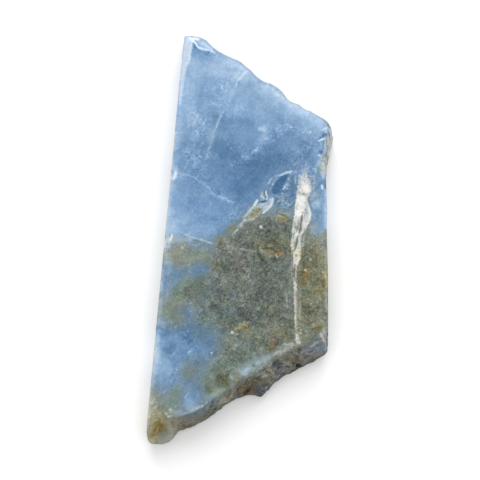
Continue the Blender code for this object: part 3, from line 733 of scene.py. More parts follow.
VEIN_TONE = [  # the vein's own lightness, its strands and the slots between them
    (176, 1, 1, [(307, 165, 3), (305.6, 170, 3)]), (214, 1, 1, [(305, 175, 3)]), (228, 1, 1, [(304.4, 181, 4), (305, 187, 5)]), (240, .8, 1, [(306.4, 189.4, 2.6), (303, 184.6, 2)]),
    (190, .8, 1, [(300.4, 178, 1.2), (298.8, 185, 1.3), (298.2, 192, 1.2)]), (186, .7, 1, [(308.8, 178, 1), (310.4, 186, 1.2), (310.2, 192, 1)]), (204, .6, .8, [(303.2, 176, .6), (302, 184, .7), (301.6, 190, .6)]),
    (206, .7, .9, [(304.6, 183.6, 1), (305, 186.4, .8)]), (162, .85, 1, [(300, 193.6, 1.3), (303, 195, 1.5), (306.6, 195.4, 1.3)]), (214, .7, 1, [(309, 193.4, 1.2)]),
    (240, 1, 1, [(301, 199, 4), (300.4, 206, 4.2), (299, 212.6, 3.8)]), (206, .7, .9, [(301.8, 205.4, .9), (300.2, 209.6, .7)]), (210, .6, 1, [(297, 206, .9), (296, 212, .9)]),
    (196, 1, 1, [(306, 204, 1.8), (306.6, 210, 2.4), (306.2, 216, 2.4)]), (214, .9, 1, [(304.6, 222, 2.2), (303.2, 227, 1.8)]), (174, .7, .9, [(305.4, 208, .6), (305, 214, .7), (304, 219, .6)]),
    (228, .7, .9, [(304.6, 206, .6), (303.8, 212, .6)]), (242, .95, .9, [(307.8, 201.6, .8), (309.8, 207, 1), (310.4, 213, 1), (309.6, 218.6, 1)]), (232, .8, .9, [(307.4, 223.4, 1), (305.2, 227, .9)]),
    (178, .7, .9, [(306, 225.6, .6), (303.6, 230, .6)]), (222, .8, .9, [(303, 231.6, .9), (301.6, 235, .8)]),
    (122, 1, .9, [(302, 216.6, .7), (301.2, 221, 1), (300.6, 226, 1), (300, 230.6, .9), (299.2, 233.4, .6)]), (210, .9, 1, [(297, 218, 2), (296.4, 223, 1.8)]),
    (152, .85, .9, [(299, 219.4, .6), (298, 226, .8), (297.6, 230, .8)]), (150, .9, 1, [(295.8, 228.4, 1.4), (294.8, 222.4, .8)]), (216, .8, .9, [(293.6, 222, .7), (293, 228, .7)]),
    (232, .95, .9, [(297, 232.6, 1.2), (296.2, 235.6, 1.5)]), (170, .8, .9, [(294.2, 232, .7), (293.6, 238, .7)]), (204, .9, 1, [(292.8, 240, 1.2), (292.2, 246, 1.1)]), (150, .9, 1, [(293.2, 251, 1.4)]), (140, .8, .9, [(294.8, 241, .9), (294.4, 246, .8)]),
    (112, 1, .9, [(298.2, 235.8, .5), (297.2, 239.6, .8), (296.8, 243.4, .9), (295.6, 247, .7), (294.6, 250.4, .5)]), (206, .9, .9, [(299.8, 235.6, .8), (299.4, 242, .9), (299.2, 248, 1)]), (168, .7, .9, [(301.2, 238, .7), (301, 246, .7)]),
    (212, .95, 1, [(298.8, 250.4, 1.8), (299.6, 256, 1.6), (297.6, 261, 1.6)]), (150, .9, .9, [(300, 251.4, .9)]), (146, .9, .9, [(297.2, 254.6, .8)]), (150, .9, .9, [(295.6, 255, .8), (295.2, 260, .8)]), (222, .8, .9, [(296.8, 251, .6), (297, 257, .6)]),
    (190, .9, 1, [(295.6, 266, 2), (295, 272, 2)]), (146, .9, .9, [(294.4, 268.6, .5), (294.4, 274, .6), (294.6, 279, .5)]), (206, .8, .9, [(296.2, 268, .8), (295.8, 275, .8)]),
    (176, .9, 1, [(295, 279, 1.6)]), (205, .9, 1, [(295.6, 284, 1.7), (296, 288, 1.6)]), (156, .9, 1, [(296.2, 293, 2), (296, 300, 2)]), (172, .9, 1, [(295.8, 306, 1.6), (296, 312, 1.6)]), (150, .8, .9, [(295.4, 296, .6), (295.6, 309, .6)]),
    (192, .9, 1, [(296.2, 318, 1.7), (296.4, 324, 1.6)]), (156, .9, 1, [(296.4, 329.6, 1.5)]), (196, .9, 1, [(296.8, 334.6, 1.6), (297.8, 340, 1.6)]), (150, .7, .9, [(297.4, 343.6, 1.2)]),
    (222, .8, .9, [(295, 252, 1), (294.8, 258, .9), (296.2, 263, 1)]), (186, .7, .9, [(292.6, 283, .6), (293.2, 276, .6), (293.4, 268, .6)]), (212, .7, .9, [(296, 321, .7), (296.6, 334, .8)]), (146, .7, .9, [(296.6, 296, .5), (296.8, 308, .6)]), (198, .7, .9, [(294.9, 292, .6), (295, 304, .6), (295, 314, .6)]),
    (152, .8, 1, [(295.6, 308, 2), (296, 320, 2), (296.4, 331, 2)]), (204, .7, .8, [(295.2, 300, .6), (295.2, 312, .6), (295.6, 324, .6)]), (250, .8, 1, [(302, 199, 2.4), (300.6, 207, 2.6), (298.6, 214, 2)]), (248, .8, 1, [(305.6, 187.6, 2.6), (307.6, 190, 1.8)]),
    (138, .8, .9, [(297.3, 293, 1), (297.5, 303, 1.1), (297.5, 316, 1.1), (297.2, 327, 1)]), (134, .85, .8, [(294.9, 264.6, .7), (294.6, 270, .9), (294.6, 276, .9), (294.9, 281, .6)]), (190, .7, .9, [(304.6, 175.4, 1), (303, 180.4, .9), (306.8, 177.6, .8), (300.6, 187, .8)]),
    (146, .85, 1, [(305.4, 165.6, 3.4)]), (158, .7, 1, [(304, 170.4, 3)]), (176, .6, 1, [(302.6, 173.6, 1.8)]), (160, .7, 1, [(309.4, 178.4, 1.7)]), (176, .6, 1, [(310, 183, 1.4)]), (216, .7, 1, [(299.6, 184.2, 1.4)]), (232, .6, 1, [(302, 182.8, 1.8)]), (120, .85, 1, [(295.8, 332, 2.2)]), (158, .7, 1, [(298.6, 340.4, 1.4)]), (150, .7, 1, [(299, 343.6, 1.3)]), (172, .6, .9, [(300.4, 236, 1)]), (204, .6, 1, [(300.4, 220.4, 1)]),
]
VEIN_WARM = [
    (-40, .9, 1, [(307, 165, 3), (305.6, 170, 2.6)]), (-24, .7, 1, [(303, 175, 1.8), (300.6, 180, 1.6), (298.6, 188, 1.4)]), (-18, .7, 1, [(309, 178, 1.2), (310.4, 187, 1.3)]), (10, .8, 1, [(305, 187, 3)]),
    (12, .8, 1, [(304, 194.6, 2)]), (12, .9, 1, [(301, 200, 3), (300, 207, 3)]), (30, .9, .9, [(301.4, 203.4, 1.3)]), (-22, .9, 1, [(306.6, 207, 2.6), (306.6, 216, 2.6)]), (-22, .8, .9, [(309.8, 207, .8), (310.4, 214, .8)]),
    (12, .9, 1, [(305, 224, 2.4), (302.6, 230, 1.6)]), (2, .8, 1, [(296, 228, 2)]), (14, .9, 1, [(292.8, 243, 1.6), (293, 250, 1.6)]), (6, .8, 1, [(300.4, 243, 1.4)]), (40, .95, 1, [(299, 249, 2), (298.6, 256, 2)]), (84, .95, .9, [(300, 251.4, 1)]), (76, .95, .9, [(297.4, 254.6, .9)]),
    (18, .8, 1, [(297, 262, 2), (295.4, 272, 2), (295.6, 286, 2), (296, 302, 2), (296, 320, 2), (297, 336, 2)]),
    (46, .9, 1, [(296.4, 252, 2.2), (297.8, 256.6, 2.2)]), (88, .9, .8, [(297.6, 250.6, .6), (300.2, 252, .8), (300.2, 256, .7), (298.6, 260, .6)]), (32, .9, 1, [(296, 261.6, 2)]), (26, .8, 1, [(292, 243, 1.8), (292.4, 251, 1.8)]), (20, .8, 1, [(294.4, 268, 2), (294, 278, 2)]), (18, .7, 1, [(295.4, 292, 2), (295.6, 312, 2), (296, 330, 2)]),
    (-46, .9, 1, [(304.4, 170, 4)]), (-28, .85, 1, [(304, 175.6, 3.2)]), (-16, .75, 1, [(304.8, 179.6, 3)]), (30, .7, 1, [(297.4, 296, 2), (297.5, 308, 2), (297.4, 322, 2)]),
]

# How warm the colour is, from blue (-76) through grey (0) to gold (60): whole
# areas first, each (value, edge, outline), then strokes.
WARM_AREAS = [
    (-42, 9, [(140, 236), (160, 237), (176, 240), (190, 243), (204, 244), (214, 241), (223, 233), (234, 225), (244, 216), (250, 207),
              (262, 202.6), (275, 205), (288, 207), (295, 203), (298, 190), (301, 176), (305, 170), (309, 176), (312, 190), (311, 204),
              (312, 222), (318, 233.5), (345, 234), (350, 345), (230, 425), (140, 465), (130, 300)]),
    (-2, 4.5, [(140, 250), (160, 250), (170, 247.6), (180, 245), (188, 248), (196, 252.6), (206, 255), (213, 253), (218, 242), (228, 234),
               (238, 231), (246, 222), (252, 213), (262, 213), (272, 215), (283, 213), (292, 214.6), (297, 208), (299, 196), (301, 182),
               (304, 177), (307.4, 183), (308.4, 200), (309, 222), (314, 235), (345, 238.4), (350, 350), (310, 352), (270, 374), (235, 387),
               (205, 416), (140, 465), (130, 300)]),
    (-48, 6, [(148, 260), (160, 262), (168, 262), (178, 268), (190, 266), (200, 261.6), (208, 262), (208.6, 272), (201, 277.6), (188, 277.6),
              (180, 283), (172, 291), (163, 300), (152, 302), (150, 280)]),
    (-53, 7, [(146, 316), (160, 317), (167, 324), (176, 328.6), (186, 320), (192, 319), (198, 328), (207, 333), (215, 336), (219, 345),
              (212, 357), (203, 363.6), (198, 362), (188, 361), (181.6, 369), (183, 377), (193, 378), (200, 384), (204.6, 394), (201, 405),
              (190, 410.6), (181, 406), (180, 393), (176, 386), (166, 392), (156, 389), (146, 384), (142, 350)]),
    (-71, 8, [(150, 334), (160, 330), (172, 330), (184, 329.6), (194, 338), (203, 342), (208, 349), (200, 356), (190, 357), (182, 363),
              (178, 374), (174, 383), (166, 386), (158, 380), (150, 372), (148, 350)]),
]
WARM = [
    (-70, .6, 1, [(262, 96, 20), (300, 124, 16)]), (-68, .7, 1, [(300, 150, 16), (312, 146, 10)]), (-60, .7, 1, [(216, 118, 4), (212, 132, 5), (209, 143, 3)]),
    (-68, .6, 1, [(185, 130, 12), (196, 146, 12)]), (-79, .8, 1, [(200, 205, 12), (216, 212, 9), (204, 224, 8)]), (-79, .8, 1, [(226, 185, 8), (238, 178, 7)]),
    (-62, .7, 1, [(282, 174, 6), (296, 168, 5), (312, 166, 5)]), (-58, .8, 1, [(266, 187, 5), (288, 190, 5), (293, 180, 4)]), (-48, .8, 1, [(266, 194, 5), (262, 199, 4)]),
    (-54, .7, 1, [(275, 200, 4), (286, 200, 4)]), (-52, .8, 1, [(314, 184, 4), (312, 200, 4), (313, 216, 5)]), (-60, .7, 1, [(320, 196, 5), (319, 206, 5), (320, 218, 5)]),
    (-62, .8, 1, [(188, 237, 5), (200, 239, 4), (210, 235, 4)]), (-58, .8, .9, [(166, 272, 4.6), (166, 284, 4), (174, 274, 5)]), (-55, .8, .9, [(195, 269.6, 4), (201, 267, 3)]),
    (-30, .9, 1, [(160, 294, 4), (159, 306, 4)]), (-40, .9, 1, [(188, 309, 5), (189, 316, 5)]), (-28, .8, 1, [(181, 312, 5), (198, 314, 5)]),
    (-18, .8, 1, [(208, 315, 6), (220, 314, 5), (230, 312, 5)]), (-36, .8, 1, [(203, 327, 5), (212, 331, 4)]), (-14, .8, 1, [(204, 295, 6), (200, 302, 5)]), (-13, .8, 1, [(233, 294, 4)]),
    (-16, .6, 1, [(220, 328, 4), (224, 338, 3), (221, 350, 4), (212, 366, 4), (206, 376, 3)]),
    (-24, .9, 1, [(187, 370, 4.4), (192, 368, 3)]), (-60, .8, 1, [(190, 398, 5), (196, 393, 4), (191, 404, 3)]), (-22, .9, 1, [(176, 394, 4), (175, 400, 4)]), (-38, .7, 1, [(186, 384, 4)]),
    (-30, .8, 1, [(208, 399, 4), (214, 398, 3)]), (-18, .8, 1, [(166, 402, 6), (174, 408, 5)]), (-4, .8, 1, [(156, 402, 5), (164, 410, 4)]), (-22, .7, 1, [(196, 412, 5), (206, 405, 4)]),
    (12, .9, 1, [(151, 404, 5), (160, 413, 5)]), (24, .9, 1, [(153, 413, 6), (164, 420, 4)]), (46, .95, 1, [(158, 424, 6), (156, 432, 6), (152, 438, 5)]), (30, .8, 1, [(172, 421, 4), (179, 426, 4), (174, 433, 3)]),
    (16, .8, 1, [(186, 424, 5)]), (26, .9, 1, [(150, 410, 4), (148.6, 424, 4)]), (58, .9, 1, [(151.4, 436.6, 3.4), (156, 438.4, 2.4)]), (70, .95, .9, [(158.6, 424, 3.4), (161.6, 426.4, 2.8)]), (74, .95, .9, [(153.4, 433.6, 3.4), (156, 430, 2.4)]), (34, .8, 1, [(158, 416, 3), (152, 420, 3)]),
    (-66, .8, 1, [(214, 66, 6), (236, 70, 5), (262, 86, 4), (284, 98, 4)]), (-62, .7, 1, [(189, 44, 5), (188, 58, 4)]),
    (-36, .9, 1, [(166, 239, 4), (180, 239, 4), (193, 242, 4), (206, 243, 3)]), (-26, .8, 1, [(204, 247, 3), (212, 246, 3)]), (-2, .9, 1, [(231, 231.6, 3), (238, 227.6, 3), (245, 220, 3)]), (-22, .8, 1, [(226, 230, 2.4), (236, 223, 2.4), (244, 214, 2.4)]),
    (-24, .9, 1, [(254, 205, 2.4), (250, 210, 2.4)]), (-36, .8, 1, [(262, 206, 3), (270, 204, 3)]), (-44, .8, 1, [(314, 194, 3)]), (-34, .8, 1, [(314, 231, 3), (309.6, 226, 2)]), (-30, .6, 1, [(326, 228, 1.6)]),
    (-84, 1, 1, [(281, 179, 4), (278, 186, 4), (275, 191, 3)]), (-60, .6, 1, [(264, 188, 3)]), (-70, .7, 1, [(302, 166, 4), (308, 162, 4), (312, 168, 3)]), (-66, .7, 1, [(296, 172, 3), (295, 180, 3)]),
    (-50, .8, 1, [(188, 309, 4), (189, 316, 4)]), (-40, .7, 1, [(176, 326, 4), (168, 322, 3), (162, 318, 3)]), (-50, .8, 1, [(198, 330, 4), (208, 334, 4), (216, 338, 3)]), (-44, .8, 1, [(215, 350, 3), (206, 362, 4), (200, 372, 4), (198, 380, 4)]),
    (-50, .8, 1, [(166, 390, 3)]), (-68, .8, 1, [(190, 398, 5), (196, 402, 4), (188, 406, 4)]), (-44, .7, 1, [(204, 402, 3), (184, 411, 3)]), (-48, .7, 1, [(184, 382, 4)]), (-14, .8, 1, [(322, 168, 3)]),
    # ochre and gold in the matrix
    (38, 1, .9, [(254.6, 214.6, 3.4)]), (46, .7, .9, [(254.8, 213.8, 1.6)]), (24, .8, 1, [(257.6, 207.6, 2), (252, 219.2, 2)]), (38, 1, .9, [(280.4, 216.2, 3), (283.4, 218.4, 3.4)]),
    (22, .9, .9, [(221.8, 239, 3.4), (223, 243, 3)]), (20, .7, .9, [(231, 228, 3)]), (16, .8, 1, [(175.2, 251, 3), (174.8, 257, 2.4)]), (10, .8, 1, [(184.4, 246, 2.4)]),
    (14, .9, 1, [(219.4, 263, 3.6), (214, 265, 3)]), (18, .9, 1, [(260, 246, 7), (272, 246, 7), (284, 243, 6)]), (40, .9, .9, [(276, 252.6, 3), (279.6, 253.8, 2.6)]), (26, .7, 1, [(268, 248, 3)]),
    (48, .95, .9, [(297.6, 254, 2.2)]), (28, .7, 1, [(295.6, 249, 2.4), (296, 260, 2.6)]), (32, .95, .8, [(301.4, 203.4, 1.5)]), (14, .7, 1, [(303, 226, 3), (302, 232, 3)]),
    (19, .95, 1, [(312, 250, 10), (314, 270, 12), (314, 300, 12), (312, 320, 10)]), (33, .9, 1, [(305.6, 268, 5), (306, 278, 5)]), (28, .9, 1, [(316, 253, 4), (320, 257, 4)]),
    (34, .9, 1, [(326, 272, 4), (325, 282, 4), (320, 290, 5)]), (27, .8, 1, [(306.4, 295, 3)]), (8, .7, 1, [(311, 287, 3)]), (6, .6, 1, [(309, 312, 3)]), (8, .8, 1, [(320, 312, 3), (324, 322, 4)]),
    (30, .9, .9, [(319.6, 327.6, 3)]), (18, .8, 1, [(298, 320, 5), (300, 330, 4)]), (36, .95, .9, [(244.6, 327, 3.6), (247.6, 327.2, 2.6)]), (20, .9, 1, [(236, 328.6, 4)]), (8, .8, 1, [(224, 324, 3)]),
    (11, .9, 1, [(266, 326, 8), (284, 330, 8), (292, 322, 6)]), (6, .8, 1, [(270, 308, 8), (284, 300, 7)]), (32, .95, .9, [(274.6, 341, 3.4), (272.6, 345.6, 3)]), (20, .8, 1, [(280, 333, 3.4)]),
    (22, .9, .9, [(231.8, 344.4, 3)]), (6, .7, 1, [(258, 338, 7), (244, 334, 5)]), (-14, .8, 1, [(249, 346, 4)]), (-8, .7, 1, [(239, 347, 4)]), (10, .8, 1, [(228, 351, 3)]),
    (3, .7, 1, [(240, 270, 5), (236, 282, 3), (264, 273, 4)]), (-6, .8, 1, [(262, 230, 6), (252, 234, 4)]), (16, .8, 1, [(293, 350, 4), (290, 358, 4)]),
    # the pale aqua rim and the green behind it
    (-12, .9, 1, [(232, 366, 4), (240, 363, 4)]), (-22, .9, 1, [(250, 362, 4), (262, 359, 4), (268, 358, 3)]), (-36, .95, 1, [(246, 370, 3.6), (242, 373, 3)]), (-20, .8, 1, [(256, 366, 3)]),
    (-10, .8, 1, [(276, 355, 3), (280, 363, 3)]), (6, .6, 1, [(284, 352, 3)]), (-14, .9, 1, [(306, 347, 4), (316, 338, 4)]), (-28, .9, 1, [(322, 347, 4), (318, 349, 3)]), (8, .8, 1, [(298, 343, 4), (308, 337, 4)]),
    (16, .9, 1, [(222, 379, 5), (227, 374, 3)]), (26, .7, 1, [(224, 382, 2.6)]), (4, .8, 1, [(212, 386, 4), (216, 392, 3)]), (28, .8, 1, [(238, 379, 2.4)]), (20, .6, 1, [(254, 370, 1.6)]),
    (70, .9, 1, [(160, 425, 3)]), (66, .9, 1, [(153, 434.6, 3)]), (58, .7, 1, [(157, 429.6, 2)]), (34, .8, 1, [(164.6, 425, 2)]), (36, .7, 1, [(160, 433.6, 2)]), (-44, .8, 1, [(163, 392.6, 2.6)]), (-38, .8, 1, [(178, 412.2, 2.4), (183.4, 410.8, 2.2)]), (-24, .7, 1, [(172.4, 412.6, 2)]),
    (-46, .9, .9, [(266, 205, 2), (271, 202.6, 2)]), (-38, .8, 1, [(247, 369.4, 2.4)]), (-26, .8, 1, [(311, 227, 3), (306.6, 230, 2)]), (26, .8, 1, [(288.6, 246, 2.4), (289.6, 252, 2)]), (40, .8, 1, [(273, 345, 3.4)]), (26, .7, 1, [(272, 337, 3)]), (20, .8, 1, [(226, 385, 3)]), (14, .7, 1, [(203, 261, 3)]),
    (8, .7, 1, [(226, 244, 5), (234, 246, 5), (230, 238, 3)]), (-20, .6, 1, [(212, 280, 4), (216, 292, 4)]), (-26, .7, 1, [(222, 334, 4)]), (-54, .6, 1, [(158, 380, 3)]), (20, .6, 1, [(312, 288, 5), (314, 304, 5), (308, 316, 4)]), (14, .6, 1, [(322, 300, 3), (322, 312, 3)]), (16, .6, 1, [(304, 336, 5)]),
    (54, .8, 1, [(305, 275, 4), (303.8, 282, 3)]), (54, .8, 1, [(324, 277, 2.6), (325.4, 271.6, 1.6)]), (40, .7, 1, [(318, 290, 4)]), (50, .8, 1, [(319.6, 327.6, 3), (315, 331, 2)]), (-4, .6, 1, [(313, 325.6, 1.8)]), (-4, .6, 1, [(318.6, 321.6, 1.6)]),
]
# Off that scale: towards pink and brown (negative) or green (positive).
RUST = [
    (-8, .9, 1, [(276, 179, 1.8), (272.2, 183.8, 2)]), (-7, .8, 1, [(264.6, 193, 2.2)]), (-5, .8, 1, [(304, 164, 3), (299, 172, 2.4), (298, 180, 2)]), (-8, .8, 1, [(148.6, 404, 2), (147.6, 424, 2.4)]), (-5, .8, 1, [(288, 184, 3)]),
    (-3, .9, 1, [(224, 242, 4), (229, 251, 6), (236, 250, 5)]), (-6, .8, .9, [(224.8, 239.8, 1.6)]), (-5, .8, 1, [(243, 250, 4), (240, 270, 7), (242, 260, 5)]), (-4, .7, 1, [(222, 262, 4)]),
    (-10, .9, .9, [(276.4, 253.8, 2.4), (279.4, 254.6, 2)]), (-8, .8, 1, [(270.6, 249.6, 2), (275, 251.4, 2)]), (-5, .8, 1, [(284, 256, 6), (290, 264, 5)]), (-9, .8, 1, [(293.6, 262, 3)]), (-8, .8, 1, [(301.6, 278.6, 4)]),
    (-5, .8, 1, [(289, 300, 5), (287, 312, 4), (296, 296, 4)]), (-9, .9, .9, [(277.6, 337.4, 2.4), (276, 342, 2.8), (273.6, 346, 2.4)]), (-9, .7, 1, [(270, 340, 3), (270, 345, 3)]), (-5, .7, 1, [(272, 326, 4), (266, 318, 4)]),
    (-5, .8, 1, [(234, 281, 3)]), (-8, .8, .9, [(296.3, 256.2, 1.6)]), (-6, .7, 1, [(225, 324, 2.4)]), (-5, .6, 1, [(213, 273, 2.4)]), (-5, .5, 1, [(276, 228, 6), (270, 224, 4)]), (-5, .7, 1, [(292, 348, 6), (300, 350, 4)]),
    (6, .9, 1, [(188, 260, 4), (200, 252, 4), (208, 256, 4)]), (6, .9, 1, [(176, 298, 4), (178, 290, 5), (186, 285, 5), (202, 285, 6)]), (7, .9, 1, [(170, 308, 4), (172, 318, 5), (178, 322, 4)]), (4, .8, 1, [(206, 300, 5)]),
    (5, .9, 1, [(202, 318, 6), (216, 318, 5), (228, 314, 4)]), (4, .8, 1, [(197, 337, 4), (212, 331, 3)]), (4, .8, 1, [(227, 338, 3)]), (4, .7, 1, [(186, 370, 4)]), (8, .9, 1, [(207, 374, 4), (206, 384, 4), (210, 392, 4), (218, 392, 3)]),
    (7, .9, 1, [(214, 370, 4), (218, 362, 4), (232, 364, 4)]), (7, .9, 1, [(240, 364, 5), (252, 359, 5), (254, 368, 3)]), (4, .8, 1, [(250, 350, 5), (262, 358, 5)]), (8, .9, 1, [(178, 391, 4), (172, 402, 5), (166, 404, 4)]), (6, .8, 1, [(155, 394, 4)]),
    (5, .8, 1, [(229, 374, 4), (226, 387, 3.4)]), (3, .8, 1, [(270, 351, 3)]), (4, .8, 1, [(304, 344, 4), (310, 342, 4)]), (3, .7, 1, [(188, 371, 3)]), (2, .7, 1, [(153, 435, 3)]),
    (-5, .7, 1, [(305, 275, 4), (303.8, 282, 3)]), (-9, .8, 1, [(273, 342, 3), (271.4, 347, 2.4)]), (-4, .7, 1, [(319.6, 328, 2.6)]),
]
GRAIN = [  # where the stone is visibly granular besides the matrix
    (1.0, .7, [(228, 384, 3.4), (240, 379, 3), (252, 373.6, 2.6), (264, 366.4, 2.4), (274, 359, 3), (284, 353, 3.4), (292, 347, 3.4)]), (0.9, .8, [(221, 381, 6), (212, 388, 5)]),
    (0.9, .8, [(150, 404, 6), (154, 414, 8), (158, 424, 6)]),
    (0.55, .8, [(276, 204, 4), (284, 204, 4), (290, 206, 4)]), (0.3, .8, [(288, 183, 4), (284, 191, 4)]),
    (0.45, 1, [(196, 118, 5), (200, 127, 5)]), (0.35, 1, [(262, 145, 5), (252, 156, 4)]), (0.4, 1, [(300, 160, 6), (294, 170, 5)]),
    (0.5, 1, [(316, 178, 4), (315, 196, 4)]), (0.5, 1, [(156, 404, 6), (160, 416, 8)]), (0.3, 1, [(214, 392, 5)]),
    (0.3, 1, [(246, 150, 4), (256, 150, 4)]), (0.25, 1, [(290, 128, 6), (304, 140, 6)]),
]
WISPS = [  # where fine pale wisps show
    (1.0, 1, [(246, 158, 5), (256, 149, 6), (268, 138, 6), (280, 128, 5)]), (0.9, 1, [(196, 114, 6), (200, 130, 7), (206, 120, 6)]),
    (0.8, 1, [(184, 150, 6), (196, 158, 7), (206, 152, 6)]), (0.9, 1, [(290, 126, 8), (304, 140, 8), (300, 158, 8)]), (0.8, 1, [(232, 165, 5), (240, 162, 4)]),
    (0.7, 1, [(230, 76, 6), (216, 106, 8), (240, 110, 8)]), (0.8, 1, [(196, 172, 6), (212, 190, 6), (226, 200, 5)]), (0.8, 1, [(314, 170, 6), (316, 200, 6)]),
    (0.7, 1, [(190, 352, 8), (186, 330, 6)]), (0.4, 1, [(284, 190, 8), (290, 204, 6)]), (0.6, 1, [(244, 206, 8), (230, 218, 8), (214, 230, 7)]),
]
BRIGHT_DOTS = [  # strength, (x, y, radius)
    (.55, (205, 68.7, .9)), (.9, (310.4, 132.3, 1.2)), (.4, (192.6, 116, 1)), (.45, (192, 141.3, .9)), (.4, (206.4, 165.8, .9)),
    (.5, (196.3, 195.4, .9)), (.4, (193.3, 195.6, .8)), (.4, (187, 204.8, .8)), (.45, (238.6, 98.9, .9)), (.95, (260.9, 227, 1.7)),
    (.5, (263.2, 224.8, .9)), (.45, (247.4, 231.2, 1)), (.5, (240.5, 239.4, .9)), (.4, (242.6, 242.7, 1)), (.75, (182.3, 247.3, 1.2)),
    (.5, (184.6, 245.6, .8)), (.95, (211.5, 353.2, 1.1)), (.6, (258.5, 308.5, 1.7)), (.95, (232.4, 332.3, 1.5)), (.7, (237.2, 334.1, 1)),
    (.55, (244, 321.7, 1)), (.55, (248.2, 322.5, 1)), (.6, (281.9, 324.6, 1.1)), (.6, (310.4, 260, 1)), (.55, (305.5, 270.5, 1)),
    (.6, (322.8, 272.3, 1.1)), (.5, (250, 280.8, 1)), (.5, (216.6, 276.5, 1.2)), (.6, (300.8, 329.7, 1)), (.6, (300.4, 332.9, 1)),
    (.5, (306.2, 331.5, 1)), (.4, (259, 336.8, 1.1)), (.7, (170.6, 409.8, 1.7)), (.55, (175.7, 406.4, 1.1)), (.7, (166.2, 413.7, 1.3)),
    (.6, (168.6, 416.6, 1.3)), (.8, (202, 406, 1.2)), (.7, (176.6, 369.6, 1.1)), (.55, (191.4, 311.5, 1)), (.4, (321.8, 321.7, 1.2)),
    (.45, (324.9, 317.2, 1.1)), (.45, (212.4, 297.1, 1)), (.5, (296.1, 172, 1.2)), (.55, (294.7, 164.6, 1)),
    
    (.5, (185.3, 334.7, .8)), (.45, (231.4, 165.6, .9)), (.4, (237.8, 163.4, .9)),
    (.5, (256, 150.3, 1)), (.5, (252.4, 153.4, 1)), (.45, (248.6, 157.6, .9)), (.5, (265.7, 135.5, .9)), (.4, (259, 146, .9)),
    (.5, (297.6, 338.2, 1.4)), 
]
# dark dots: small pits, dented a little and painted dark as the shade inside them
DARK_DOTS = [
    (.6, (197.4, 362.6, .9)), (.5, (209.5, 354, .9)), (.7, (266.3, 276, 1.4)), (.6, (243.8, 271.2, 1.5)), (.55, (242.6, 316.4, 1.6)),
    (.6, (285, 227.6, 1)), (.5, (281.6, 230.6, .9)), (.55, (262, 287, 1.6)), (.45, (236.6, 326.6, 1)), (.6, (324.9, 320.6, 1.2)),
    (.5, (299.5, 349.6, 1.6)), (.4, (286.4, 272.6, 1)), (.35, (254, 304, 1.4)), (.45, (261.4, 253.8, 1)), (.4, (250.8, 329.8, 1)),
]
WHITE_PATCHES = [  # strength, softness, stroke
    (0.95, .7, [(192.4, 38.6, 1.4), (197.4, 38.8, 1.6)]),
    (0.4, .8, [(272, 200, 1.2), (270.4, 205, 1.5), (267, 209.4, 1.3)]), (0.3, 1, [(257.8, 206.4, 1.2)]),
    (0.3, 1, [(264.4, 130, 2.4)]), (0.12, 1, [(268, 127, 5)]), (0.1, .9, [(221.6, 197.6, 2), (226.6, 200, 1.6)]),
    (0.85, .8, [(321.4, 334.6, 1.2), (323.2, 337.4, 1.6), (324.4, 341, 1.3)]), (0.6, 1, [(323.6, 331.8, 1.3)]),
    (0.35, 1, [(277.4, 256.8, 1.6)]), (0.4, 1, [(252.6, 218.8, 1.4)]), (0.5, 1, [(285.6, 344.4, 1.6), (291, 343.4, 1.6)]),
    (0.35, 1, [(279, 352.4, 1.8), (286, 350.2, 1.6)]), (0.3, 1, [(313, 324.6, 1.6)]), (0.35, 1, [(248.8, 369.2, 2.6)]),
    (0.3, 1, [(264, 361, 2.2)]),
]
